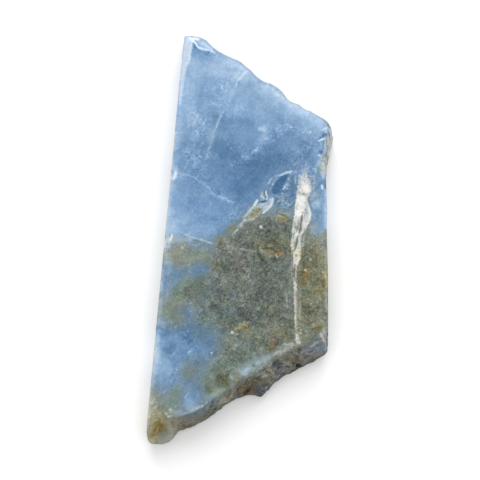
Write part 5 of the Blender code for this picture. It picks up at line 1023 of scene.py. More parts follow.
    (180, .8, .9, [(190, 410.4, 1.2), (195, 409.2, 1.5), (199, 407, 1.2)]), (176, .6, 1, [(182, 229, 3)]), (150, .7, 1, [(311, 225, 2.6), (313, 230, 2.6)]), (174, .6, 1, [(230, 60, 2.6)]), (168, .7, 1, [(260, 87, 2.4)]),
    (104, .85, 1, [(160, 425, 2.2)]), (112, .7, 1, [(156, 424, 1.5)]), (146, .8, 1, [(152, 431.6, 1.2)]), (112, .7, .9, [(153.6, 435.6, .9), (157, 433.4, .8), (160, 431.6, .8)]), (160, .7, 1, [(268, 204.6, 1.2)]),
    (118, .7, .8, [(250.6, 215.6, .6), (257, 211, .6)]), (176, .7, .8, [(252.6, 216.4, .7), (255.6, 212.4, .6)]), (128, .7, .8, [(283, 214.8, .7), (279.6, 219, .6)]), (170, .7, .8, [(283.8, 217.4, .7), (286.2, 220.6, .6)]),
    # curled threads and dark gaps of the skin
    (146, .7, .8, [(293.6, 352, .6), (297, 353.6, .6), (299.6, 356, .6)]), (140, .7, .8, [(283.6, 361.6, .6), (286.4, 363.2, .7), (289.6, 364.8, .6)]), (48, .8, .8, [(286.2, 366.4, .7), (289.4, 367.2, .6)]), (52, .8, .8, [(304.6, 357.2, .6), (307.4, 356.2, .6)]),
    (138, .7, .8, [(256, 376.4, .6), (259, 374.2, .7), (262, 373.6, .6)]), (50, .8, .8, [(258.2, 379.6, .7), (255.2, 378.6, .6)]), (54, .8, .8, [(264.6, 385.8, .7), (268, 384.2, .7)]), (134, .65, .8, [(268.6, 381, .6), (271.4, 383, .6), (270, 386, .6)]),
    (132, .7, .8, [(248.4, 379.6, .6), (250.6, 382.4, .6), (249.4, 385.4, .6)]), (46, .8, .8, [(248, 391.4, .8), (244.2, 393.4, .7)]), (60, .7, .8, [(240.4, 386.4, .8), (237.6, 389.8, .7)]), (128, .6, .8, [(241, 391.6, .6), (243.4, 388.8, .6)]),
    (64, .7, .8, [(229.6, 393.6, .7), (227, 396.4, .7)]), (62, .7, .8, [(284.4, 372.6, .7), (280.8, 374.8, .7)]), (134, .6, .8, [(289.4, 370.4, .6), (293, 369.2, .6)]), (60, .7, .8, [(309, 352.8, .6), (312.6, 351.8, .6)]),
    (150, .65, .8, [(306.4, 354.2, .5), (310.6, 353.6, .6), (314.4, 351.6, .5)]), (144, .6, .8, [(266.6, 366.6, .6), (269.6, 365.2, .6), (272.4, 363.4, .5)]), (58, .75, .8, [(266.2, 368.6, .6), (263.4, 370.6, .6)]), (60, .7, .8, [(278, 368.2, .7), (281.6, 366.8, .6)]),
    # bands, cracks and crumbs in the matrix
    (84, .8, .9, [(239.4, 248, .6), (243, 244.6, .9), (249, 243.6, .8), (254, 244, .8)]), (84, .8, .9, [(257, 246.4, 1.5)]), (96, .7, .9, [(262.4, 248.6, .8), (266, 247.4, .7)]), (74, .9, .8, [(266, 248.6, .7), (270, 247.8, .9), (273, 249.6, 1.3), (275.6, 252, 1)]),
    (92, .7, .9, [(276.4, 241, 1.5), (277, 244, 1.2)]), (138, .7, 1, [(264, 253, 2.8), (270, 255, 2.8)]), (172, .7, .9, [(260, 249, .7), (263, 250.6, .8)]), (160, .6, .9, [(259.6, 251.8, .8), (264.4, 253.4, .9)]), (196, .85, .9, [(275.6, 255, .9), (277.4, 256.8, .8)]),
    (150, .8, .9, [(280.6, 254.4, 1.4), (283, 252.8, 1)]), (146, .6, .9, [(267, 246.4, .7), (272, 245.6, .7)]), (78, .9, .9, [(257.4, 252.6, .8), (259.6, 256, 1.1), (262, 259, 1.2), (264.8, 261.4, .8)]), (86, .7, .9, [(268, 258.4, .6), (273, 258.8, .7), (277, 258.2, .7)]),
    (94, .6, .9, [(279, 259, .6), (285, 258.6, .6)]), (134, .7, 1, [(230, 250, 2.8), (234, 247.6, 2)]), (72, .8, .9, [(241.4, 269.4, .9), (243.4, 271, .9), (245.6, 273, .8)]), (150, .6, .9, [(241, 267.4, .5), (245, 270, .6), (249, 274.6, .6)]),
    (78, .8, .9, [(270, 268.6, .6), (267, 272.4, .8), (265.6, 276, 1.3)]), (130, .7, 1, [(246, 278, 3.4), (252, 281, 2.8)]), (122, .6, 1, [(231, 292, 3.2), (236, 296, 2.8)]), (88, .7, .9, [(258.4, 292, .6), (262, 289.6, .9), (266, 289.4, .8), (270, 292, .9), (273, 293.4, .8)]),
    (90, .6, .9, [(273, 287.8, .6), (278, 287.6, .6)]), (94, .6, .9, [(226, 278, .6), (234, 273, .8), (242, 270, .7)]), (96, .6, 1, [(262, 263.6, 2.2)]), (124, .6, 1, [(250, 258, 2.2), (252, 262, 2)]),
    (104, .6, 1, [(304.6, 276, 3.6), (303.6, 283, 2.8)]), (206, .9, .9, [(305.6, 270.2, 1.1)]), (170, .7, .9, [(324.6, 272.6, 1.3), (325.6, 277.6, 1)]), (84, .75, .9, [(322.4, 283, 1.4), (323.4, 287, 1)]), (102, .7, 1, [(319.6, 328.4, 2.4)]), (172, .6, .8, [(323.6, 331.4, 1)]),
    (152, .6, 1, [(313, 325.6, 1.8)]), (150, .6, 1, [(318.6, 321.6, 1.6)]), (164, .6, .9, [(310, 260, 1)]), (142, .6, .8, [(298.8, 291, .5), (299.7, 300, .6), (299.9, 310, .7), (299.4, 320, .6), (298.6, 328, .5)]),
    (224, .75, .8, [(279.4, 175.6, .7), (284.4, 173.6, .9), (289, 172.2, .8), (292, 171.2, .5)]), (168, .6, .8, [(253.4, 212.4, 1)]), (112, .7, .9, [(280, 213.8, .8), (286.8, 217.2, .8), (282, 220.6, .7)]),
    (112, .6, 1, [(288, 342.6, 2)]), (128, .6, 1, [(278.6, 349.2, 1.6)]), (130, .6, 1, [(282.6, 348.6, 1.5)]), (137, .6, .9, [(286, 348.8, 1.1)]), (113, .7, 1, [(262.4, 348.6, 2)]), (102, .65, 1, [(270, 339, 2.2)]), (144, .6, 1, [(266.4, 357.6, 1.4)]),
    (142, .6, 1, [(289.6, 350.6, 1.2)]), (135, .6, 1, [(286.6, 352.4, 1.1)]), (116, .6, 1, [(278, 343, 1.8)]), (119, .6, 1, [(262, 340.4, 2)]), (120, .6, 1, [(300.6, 348.4, 1.8)]), (70, .7, 1, [(296.6, 358, 2.2)]), (100, .7, 1, [(286.4, 358, 1.5)]),
    (176, .65, 1, [(311.6, 228, 2)]), (166, .55, 1, [(312.4, 232.6, 2)]), (160, .55, 1, [(316.4, 222.6, 2.4)]), (150, .5, 1, [(308, 231, 1.6)]), (184, .8, 1, [(256, 207.8, 1.4)]), (176, .75, .9, [(251, 219.6, 1), (256, 216.6, 1.1), (260.4, 212, 1.2)]),
    (188, .7, .9, [(244.6, 220, 1.2)]), (168, .7, .9, [(248.2, 219.4, 1.2)]), (150, .5, 1, [(260.4, 203, 1.4)]), (132, .6, 1, [(254, 228, 2.4)]), (128, .6, 1, [(241, 366.4, 1.8)]), (112, .7, 1, [(231, 370, 2)]), (124, .6, 1, [(236, 374, 1.8)]),
    (114, .6, 1, [(231, 382, 2)]), (112, .5, 1, [(226, 358, 2)]), (92, .6, 1, [(246, 382, 1.8)]), (68, .6, 1, [(253.4, 382.4, 2.4)]), (132, .6, 1, [(154, 428.4, 2)]), (122, .6, 1, [(163.6, 427, 1.8)]), (126, .5, 1, [(154.4, 433, 1.4)]),
    (122, .6, .9, [(270.4, 186, 1.7)]), (137, .5, 1, [(292.4, 192.6, 1.8)]), (134, .6, .8, [(286.6, 183.4, 1.1)]), (124, .6, .9, [(285.4, 178.6, 1.3)]), (136, .5, 1, [(280.6, 193.6, 1.4)]), (128, .5, 1, [(281.6, 197.4, 1.8)]),
    (170, .6, 1, [(160, 378.6, 3.2)]),
]
DETAIL_WARM = [
    (-28, .9, 1, [(322, 347, 4), (317, 345, 3)]), (-20, .9, 1, [(312, 348.6, 4)]), (-8, .8, 1, [(305, 350.6, 2.6)]), (-10, .8, 1, [(323.6, 334, 3)]), (7, .9, 1, [(324, 353, 1.8), (316, 356.6, 2), (308, 359.2, 2)]), (18, .9, 1, [(296, 350.8, 2.6)]),
    (18, .8, 1, [(291, 360, 3.4)]), (22, .8, 1, [(299.6, 360, 2.4)]), (-13, .9, 1, [(275, 364.8, 2.6), (279.6, 364.4, 2.6)]), (16, .9, 1, [(268, 371, 3.4), (264, 378, 3)]), (-4, .8, 1, [(280, 371.6, 2.6)]), (14, .8, 1, [(256, 381, 3.4)]),
    (-14, .9, 1, [(262, 389.6, 2.8), (259, 393.6, 2.2)]), (28, .9, 1, [(246, 386.6, 4), (242, 391, 3)]), (22, .9, 1, [(235, 391, 3), (230, 395.4, 2.6)]), (12, .8, 1, [(226, 394, 2.4)]), (-17, .9, 1, [(214, 399.4, 2.4), (206, 406, 2.6), (197, 412.4, 2.6), (189, 416.4, 2)]),
    (12, .9, 1, [(218, 405.6, 2), (210, 411, 2.2), (200, 418.4, 2.6), (190, 424.4, 3.2), (181, 427.6, 3)]), (8, .9, 1, [(168, 431, 3.6), (164, 438, 3)]), (20, .8, 1, [(175.6, 424, 2)]),
    (-36, .95, .9, [(242.4, 373.4, 2), (246.6, 370.4, 2.6), (250.4, 367.8, 2)]), (-25, .9, .9, [(256.4, 363.8, 1.8), (262, 360.4, 2.2), (268, 357.6, 1.6)]), (-16, .8, 1, [(246, 364, 2.2)]), (10, .8, 1, [(254.4, 367, 1.5), (254.6, 372, 1.6)]), (-18, .8, 1, [(250, 371, 1.8), (256, 368.2, 2), (262, 364.8, 1.8)]), (6, .8, 1, [(250, 378.6, 1.6), (259, 373.4, 1.6), (268, 367.4, 1.6)]),
    (-8, .8, 1, [(231.4, 377, 2)]), (28, .8, 1, [(238, 378.8, 1.7)]), (-26, .8, 1, [(236.6, 370.6, 1.7)]), (14, .8, 1, [(284, 354.8, 1.7), (289, 352.8, 1.7)]), (-4, .8, 1, [(277, 352.6, 2), (284, 350, 2), (288, 343.4, 2)]),
    (2, .9, 1, [(330.4, 137, 2.2), (329.4, 148, 2.2)]), (10, .8, 1, [(324.6, 166, 2.6)]), (-34, .8, .9, [(325.4, 129, 2), (325.6, 140, 1.4), (322, 156, 1.6), (319, 165, 1.6)]), (-12, .8, .9, [(320, 117.4, .8), (326, 122, .9), (330, 127, 1), (332.4, 133, 1)]),
    (-38, .8, 1, [(275, 180, 1.8), (271.8, 184.6, 1.8)]), (-24, .8, 1, [(264.4, 194.6, 2.6)]), (-34, .85, 1, [(262, 205, 1.8), (267, 204.6, 2.2)]), (-20, .8, .9, [(271.6, 200, 1.2), (268.6, 207.6, 1.6), (264, 211.6, 1.2)]), (-40, .7, 1, [(287, 184, 2.4)]),
    (-24, .8, 1, [(176, 241.4, 1.8), (184, 242, 1.8)]), (-28, .8, 1, [(192, 245.4, 2.2), (200, 246, 2.2), (206, 246.6, 2)]), (10, .85, 1, [(180, 246.4, 2), (185, 246.4, 2)]), (2, .8, 1, [(200, 252, 2.4), (206, 252.6, 3), (210, 255, 2.6)]), (4, .85, 1, [(216, 239, 2.4), (216.6, 247, 2.6)]),
    (-40, .8, 1, [(163, 262, 2.6), (167.6, 262.6, 2.4)]), (-24, .8, 1, [(164, 258, 1.8), (168.6, 258, 1.8)]), (-46, .8, 1, [(192, 323, 2.6), (198, 324.6, 2.6)]), (-32, .8, 1, [(204, 325.6, 2.6), (212, 325.4, 3)]), (-22, .7, 1, [(188.6, 306.6, 2.6)]), (22, .8, 1, [(290, 246, 2.4), (288.6, 252, 2.4)]), (-46, .8, 1, [(172, 283, 2.4)]),
    (-76, .8, 1, [(263, 185, 4), (268, 188, 3)]), (-64, .7, 1, [(239, 217, 3)]), (-50, .7, 1, [(203, 406, 3), (209, 400, 2.4)]), (4, .7, 1, [(190, 250, 2), (198, 253, 2)]), (12, .8, 1, [(286, 246, 3), (289, 256, 3)]), (4, .6, 1, [(262, 232, 6), (276, 236, 6)]),
    (-48, .7, 1, [(314, 180, 4), (312, 196, 4)]), (-36, .8, 1, [(314, 225, 4)]), (-24, .7, 1, [(320, 172, 3)]), (24, .8, 1, [(238, 330, 4)]), (44, .9, 1, [(245, 326.6, 3)]), (26, .8, 1, [(274, 342, 4)]), (22, .7, 1, [(302, 300, 4), (304, 314, 4), (312, 326, 4), (322, 328, 3)]),
    (-6, .7, 1, [(252, 222, 4), (246, 228, 4)]), (-26, .8, 1, [(262, 211, 3), (276, 211, 3), (288, 212, 3)]), (-46, .7, 1, [(186, 362, 4), (196, 365, 4)]), (-24, .8, 1, [(204, 403, 3), (212, 399, 3)]), (-34, .8, 1, [(163, 393, 3)]), (-22, .7, 1, [(219, 334, 3), (222, 350, 3)]),
    (44, .85, 1, [(150, 428, 2.4)]), (64, .85, 1, [(158, 425, 2.6), (156, 431, 2.4)]), (54, .8, 1, [(162, 428, 2.4)]), (40, .8, 1, [(166, 424, 2.4)]), (30, .8, 1, [(171, 426, 2.6), (176, 428, 3)]), (28, .8, 1, [(183, 427, 3)]), (54, .8, 1, [(152, 436, 2.4), (156, 439, 2)]),
    (22, .8, 1, [(163, 436, 2)]), (26, .8, 1, [(152, 443, 2)]), (26, .7, 1, [(156, 409, 3)]), (17, .7, 1, [(166, 411, 3)]), (34, .9, 1, [(221.6, 240.6, 2.4)]),
    (-44, .7, 1, [(282, 200, 4), (290, 202, 4)]), (-74, .8, 1, [(282, 182, 3), (277, 189, 2.6)]), (20, .8, 1, [(290, 340, 3), (284, 337, 3), (279, 334, 3)]), (14, .7, 1, [(304, 300, 4), (304, 312, 4)]), (8, .7, 1, [(286, 352, 2), (278, 358, 2), (268, 366, 2), (258, 373, 2)]),
    (16, .8, 1, [(286, 358, 4), (300, 361, 4)]), (12, .8, 1, [(270, 374, 4)]), (10, .7, 1, [(246, 252, 4), (232, 256, 4), (222, 250, 3)]), (-4, .8, 1, [(216, 242, 2), (226, 238, 2)]), (4, .8, 1, [(292, 246, 2), (290, 254, 3)]), (30, .8, 1, [(297.6, 255, 2)]),
    (10, .7, 1, [(250, 334, 4), (262, 340, 5), (278, 346, 4)]), (-30, .8, 1, [(264, 208, 2), (276, 208.6, 2), (286, 210, 2)]), (-16, .8, 1, [(244, 218, 2), (256, 222, 2)]), (34, .95, 1, [(251.4, 217.6, 2.4), (254.8, 213.8, 3), (259, 209.8, 1.8)]), (24, .8, 1, [(252, 218.6, 2.4)]), (30, .9, 1, [(281.4, 217, 3), (285.4, 218.8, 2.6)]), (28, .8, .9, [(263, 251, 2), (270, 254.6, 2)]), (58, .9, .9, [(280.4, 253.8, 2), (277, 253, 1.2)]),
    (22, .8, .9, [(259.6, 256, 1.6), (262.6, 259.6, 1.4)]), (-14, .8, 1, [(232, 293, 3)]), (-6, .7, 1, [(252, 262, 4)]),
    (2, .8, 1, [(308.4, 226, 2), (308.6, 231.6, 2)]), (-20, .7, 1, [(312.8, 227.6, 2), (313, 232, 2)]), (-36, .5, 1, [(319.6, 229, 3)]), (-52, .7, 1, [(266, 204, 3)]), (-44, .7, 1, [(261, 206.4, 1.8)]), (14, .7, 1, [(260.4, 212.6, 1.6)]),
    (-72, .8, 1, [(327, 131, 2), (327.4, 136, 2)]), (-68, .8, 1, [(324, 146, 1.8), (323.6, 152, 2)]), (-72, .6, 1, [(321.2, 152, 1.6)]), (-38, .7, 1, [(330.4, 131, 1.6)]), (32, .7, 1, [(305, 279, 3.4)]),
    (70, .7, 1, [(160.6, 427.6, 2.6)]), (62, .7, 1, [(156, 432, 2.6)]), (60, .7, 1, [(151.4, 434, 2.6)]), (58, .6, 1, [(165, 425.6, 2.2)]), (46, .6, 1, [(169.4, 422.6, 2.2)]), (38, .5, 1, [(174, 422, 2)]), (-36, .7, 1, [(166.6, 395, 3)]),
    (-58, .6, 1, [(180, 366, 2.4)]), (-52, .6, 1, [(190, 359.6, 2.4)]), (-44, .6, 1, [(192, 379, 2.6)]), (36, .7, 1, [(274, 343, 2.4)]), (32, .7, 1, [(270, 347, 2.2)]), (28, .6, 1, [(271, 350, 2)]), (22, .6, 1, [(294, 349.4, 2)]),
]
SCRATCHES = [  # middle, half width and height, slant in degrees, how many, lightness added
    (198, 125, 11, 22, 74, 110, 17), (192, 158, 13, 14, 60, 50, 12), (246, 156, 6, 5, 36, 26, 12), (257, 149, 6, 5, 36, 30, 13), (268, 139, 7, 6, 40, 34, 12), (280, 128, 8, 7, 45, 30, 10), (300, 150, 11, 18, 72, 60, 14),
    (285, 201, 11, 7, 34, 70, 25), (285, 201, 11, 7, 34, 60, -17), (287, 186, 5, 5, 45, 12, 12), (292, 178, 4, 8, 60, 16, 12), (214, 188, 20, 14, 40, 44, 11), (232, 96, 26, 14, 60, 46, 9), (208, 84, 14, 12, 50, 24, 8), (316, 200, 6, 26, 86, 46, 14), (306, 168, 7, 7, 84, 24, 17),
    (262, 205, 6, 5, 45, 20, 17), (252, 212, 8, 8, 50, 22, 15), (226, 140, 12, 18, 70, 40, 9), (196, 212, 22, 12, 30, 36, 7), (180, 338, 22, 18, 50, 30, 10), (190, 375, 22, 24, 55, 30, 7),
    (250, 258, 26, 20, 20, 70, 18), (240, 296, 26, 26, 30, 80, 15), (274, 304, 18, 30, 60, 60, 15), (312, 270, 10, 40, 70, 50, 18), (256, 336, 26, 14, 20, 46, 17), (232, 248, 10, 8, 20, 26, 21),
    (250, 270, 30, 30, 40, 60, -19), (240, 310, 30, 24, 20, 50, -18), (312, 290, 10, 40, 60, 40, -19), (276, 236, 14, 12, 30, 26, -19), (266, 346, 24, 10, 20, 24, -16),
    (284, 368, 14, 6, 40, 26, 11), (262, 380, 12, 8, 30, 26, 11), (204, 412, 16, 6, 36, 26, 9), (318, 348, 7, 5, 40, 12, 12), (244, 388, 8, 5, 30, 14, 9), (276, 372, 14, 8, 40, 24, -19), (208, 414, 16, 6, 34, 20, -14),
    (155, 406, 6, 12, 40, 30, 18), (158, 428, 8, 10, 40, 12, 10), (156, 430, 8, 9, 40, 12, -12),
]


def scratch(field, P, table):
    """Scatter short slanting strokes, always the same ones."""
    rng = np.random.default_rng(23)
    for x, y, wide, high, slant, number, amount in table:
        for k in range(number):
            u, v = rng.normal(0, 0.55, 2)
            turn, long, radius = math.radians(slant + rng.normal(0, 16)), rng.uniform(0.5, 2.2), rng.uniform(0.45, 0.75)
            bend, force = rng.uniform(-0.5, 0.5), rng.uniform(0.3, 1.0)
            cx, cy = x + u * wide, y + v * high
            dx, dy = math.cos(turn) * long, -math.sin(turn) * long
            pick, dist, r, _ = follow(P, [(cx - dx, cy - dy, radius), (cx + dy * bend, cy - dx * bend, radius), (cx + dx, cy + dy, radius)], 2.0)
            field[pick] += amount * force * (1 - smooth(0.3, 1.6, np.abs(dist) / r))
# the natural skin: lightness, slate and rust hues, tan lumps, and its lumps and hollows in metres
SKIN_TONE = [
    (112, 1.0, 1, [(318, 350, 9), (306, 357, 8), (286, 364, 8), (268, 376, 8)]), (108, 1.0, 1, [(232, 392, 6), (212, 408, 7), (190, 422, 7)]),
    (134, .9, 1, [(318, 344, 5), (324, 345, 4), (310, 348, 4)]), (94, .9, 1, [(299, 363, 4), (294, 361, 3)]), (122, .9, 1, [(287, 361, 5), (283, 369, 5)]),
    (86, .9, 1, [(277, 364.6, 3.6)]), (126, .9, 1, [(268, 369, 5), (270, 376, 5)]), (86, .95, 1, [(256, 383, 6), (252, 389, 6), (260, 390, 4)]),
    (92, .9, 1, [(244, 389, 4), (240, 391, 3)]), (118, .8, 1, [(235, 388, 4), (230, 393, 4)]), (150, .9, 1, [(224, 398, 3.4)]),
    (106, .9, 1, [(190, 424, 5), (182, 426, 4)]), (126, .8, 1, [(186, 418.6, 3.4), (178, 420, 3)]), (122, .8, 1, [(210, 404.6, 2.6), (202, 411, 2.6), (195, 415, 2.4)]),
    (124, .95, 1, [(174, 428, 5), (166, 436, 7), (160, 441, 5)]),
    (178, 1.0, 1, [(328, 130, 5), (328, 146, 5), (326, 156, 4), (325, 168, 4)]), (196, .7, 1, [(329, 144, 2), (327, 160, 2)]),
    (126, .9, .8, [(327, 149, 1.0), (326.9, 154, 1.2), (326, 159, .9)]), (150, .7, 1, [(332, 137, 1.4), (331.4, 147, 1.3), (329, 158, 1.1)]),
    (150, .8, 1, [(302.2, 358.8, 2.2)]), (144, .8, 1, [(288.6, 357.6, 2.6), (291, 360.4, 2)]), (150, .8, 1, [(270.2, 373.2, 2.6)]),
    (142, .8, 1, [(283.4, 355.8, 1.6), (287, 355, 1.4)]), (150, .7, 1, [(242.4, 379.6, 1.8)]), (168, .6, 1, [(255.8, 372.2, 1)]),
    # dark strokes over the hollows that SKIN_RELIEF carves paint the shade in them
    (36, 1.0, .7, [(297.2, 364.8, 1.3), (299.6, 366.2, 1.6)]), (40, .9, .8, [(293.5, 363.7, .9)]), (56, .9, .8, [(301, 359.3, .6)]),
    (58, .9, 1, [(275.6, 365, 1.6), (279, 363.6, 1.4)]), (60, .8, .8, [(244.2, 392.4, .8), (248, 389.8, .9), (251, 386.4, .9)]),
    (54, .8, .8, [(253.4, 381.4, 1), (256.6, 383.6, 1.1)]), (70, .8, 1, [(260, 391.6, 2), (263.6, 388.6, 1.8)]),
    (170, .6, .8, [(267.2, 382.4, .9)]), (160, .5, .8, [(262, 381.4, .6), (265, 380, .6), (268.4, 382.4, .6)]),
    (160, .6, .8, [(261.4, 367.4, .7), (264.6, 369.6, .6)]), (74, .7, .8, [(274.6, 374.6, .8), (277.4, 371.8, .7)]),
    # first stroke: painted shade in a hollow of the skin
    (70, .7, .8, [(184, 425.6, 1.3)]), (168, .6, .9, [(174.8, 421, 1.8)]), (84, .6, 1, [(176.4, 431.4, 1)]),
    (168, .6, .9, [(221.4, 399.2, 1.6)]), (80, .7, 1, [(228.8, 390.4, 1.8)]), (84, .6, 1, [(208, 411.6, 1.6), (203, 416.4, 1.6)]),
    (140, .6, .8, [(209.4, 408.6, .7), (212.6, 405.2, .7)]), (150, .5, .8, [(218.4, 408.4, .8)]), (100, .7, .8, [(162, 433.4, 1.4)]),
    (70, .6, .7, [(320, 356.6, 1), (310, 362, 1), (300, 367.6, .9), (290, 373.4, .9)]),
    (142, .85, 1, [(181, 430, 3), (176, 434.6, 3), (171, 439.4, 3)]), (66, .8, 1, [(254, 381, 2.4), (255, 386, 1.6)]), (140, .8, 1, [(265.6, 385, 1.8), (266, 389, 1.4)]), (126, .8, 1, [(243, 381.4, 1.8)]), (130, .8, 1, [(255.6, 374.4, 1.8), (260.6, 374, 1.4)]),
    (148, .8, 1, [(221, 402, 1.6), (228, 400.4, 1.6)]), (158, .85, 1, [(190, 411, 1.4), (196, 409.6, 1.8), (200.6, 406.8, 1.4)]), (130, .7, 1, [(231, 397, 1.6), (236, 391, 1.6)]), (96, .7, 1, [(240, 388, 1.6), (248, 388.6, 1.6)]), (116, .6, 1, [(312, 356, 3)]), (124, .7, 1, [(304, 363.4, 1.2), (308, 359.6, 1.2)]),
]
SKIN_WARM = [
    (-10, .9, 1, [(318, 347, 7), (324, 348, 5), (308, 350, 4)]), (-22, .8, 1, [(322, 346, 4)]), (-6, .8, 1, [(300, 352, 3)]), (22, .9, 1, [(293, 354, 4), (290, 360, 4)]), (14, .8, 1, [(302, 358.8, 3), (299, 361, 3)]),
    (-12, .9, 1, [(277, 364.8, 4)]), (14, .8, 1, [(270, 372, 4), (268, 380, 3)]), (-6, .8, 1, [(280, 370, 3)]), (24, .95, 1, [(252, 384, 6), (246, 391, 5)]), (32, .9, 1, [(242, 390, 3.6), (246, 388.6, 3)]), (-14, .9, 1, [(262, 391, 4)]),
    (24, .9, 1, [(226, 398.6, 4), (231, 394, 3)]), (-8, .9, 1, [(214, 405, 5), (206, 411, 5), (198, 416, 4)]), (8, .7, 1, [(208, 415, 4)]), (17, .9, 1, [(190, 424, 6), (182, 427, 5)]), (26, .8, 1, [(178, 426, 3)]),
    (14, .9, 1, [(172, 430, 5), (166, 437, 6)]), (40, .9, 1, [(152, 434, 5), (154, 440, 4)]), (8, .7, 1, [(160, 443, 3)]), (-15, .95, 1, [(329, 128, 5), (329, 145, 5), (326, 160, 5), (325, 170, 4)]), (4, .6, 1, [(331, 142, 2)]),
    (2, .6, 1, [(310, 360, 6), (320, 355, 5)]), (4, .6, 1, [(286, 370, 5)]),
    (-72, .9, 1, [(324.6, 129, 2.6), (325, 135, 2)]), (-52, .9, 1, [(328, 131, 2)]), (-32, .85, 1, [(327.4, 143, 2)]), (-54, .8, 1, [(323.8, 150, 1.8)]), (-34, .7, 1, [(202, 411, 2.6)]), (18, .6, 1, [(187, 418, 4), (182, 424, 4)]),
]
SKIN_RUST = [
    (0, .95, 1, [(330, 130, 5), (329, 142, 6), (327, 154, 5), (324, 166, 5)]),
    (-10, .9, 1, [(252, 386, 6), (244, 391, 5)]), (-9, .8, 1, [(236, 392, 4), (226, 399, 4)]), (-8, .8, 1, [(300.6, 360, 3), (294, 358, 4)]), (-8, .7, 1, [(276, 373, 3), (270, 372, 4)]), (-8, .8, 1, [(188, 425, 7)]),
    (-1, .9, 1, [(212, 407, 5), (200, 415, 4)]), (-3, .7, 1, [(318, 348, 6)]), (-2, .8, 1, [(166, 434, 6)]),
]
SKIN_CALM = [
    (1, 1, [(329, 128, 6), (329, 146, 6), (326, 160, 5), (325, 170, 4)]), (.8, 1, [(170, 432, 6), (162, 438, 6)]), (.6, 1, [(320, 346, 5), (308, 350, 4)]), (.4, 1, [(204, 411, 4), (190, 418, 4)]),
]
SKIN_RELIEF = [
    (0.00030, [(302.1, 358.8, 3)]), (0.00028, [(289, 358, 3.6)]), (0.00028, [(270.1, 373.3, 3)]), (0.00020, [(280, 357, 1.6), (287, 355.4, 1.6)]),
    (0.00018, [(242.3, 379.6, 2.4)]), (0.00018, [(295, 350.6, 3)]), (-0.00014, [(297.2, 364.4, 1.5), (299.6, 365, 1.5)]),
    (-0.00035, [(293.5, 363.7, 1.1)]), (-0.00025, [(301, 359.3, .9)]), (-0.00045, [(275.6, 365, 2.6), (279, 363.6, 2.4)]),
    (-0.00020, [(253.4, 381.4, 1.2), (256.6, 383.6, 1.4)]), (-0.00018, [(244.2, 392.4, 1), (248, 389.8, 1.2), (251, 386.4, 1)]),
    (-0.00025, [(253.9, 366.6, 1.7)]), (-0.00015, [(262, 381.4, .8), (265, 384, .9)]), (-0.00018, [(184, 425.6, 1.6)]),
    (0.00030, [(166, 434, 6), (172, 427, 4)]), (-0.00020, [(177, 424, 2), (178.6, 431, 2)]), (0.00020, [(225, 398.6, 3.4)]),
    (-0.00018, [(219.6, 404, 2), (214, 410, 2)]), (-0.00020, [(233.4, 392.6, 2)]), (0.00015, [(190, 420, 3)]),
    (-0.00010, [(159.4, 424.6, 2.4)]), (-0.00012, [(154.4, 434.6, 1.4)]), (0.00010, [(171, 409.8, 1.6)]),
]
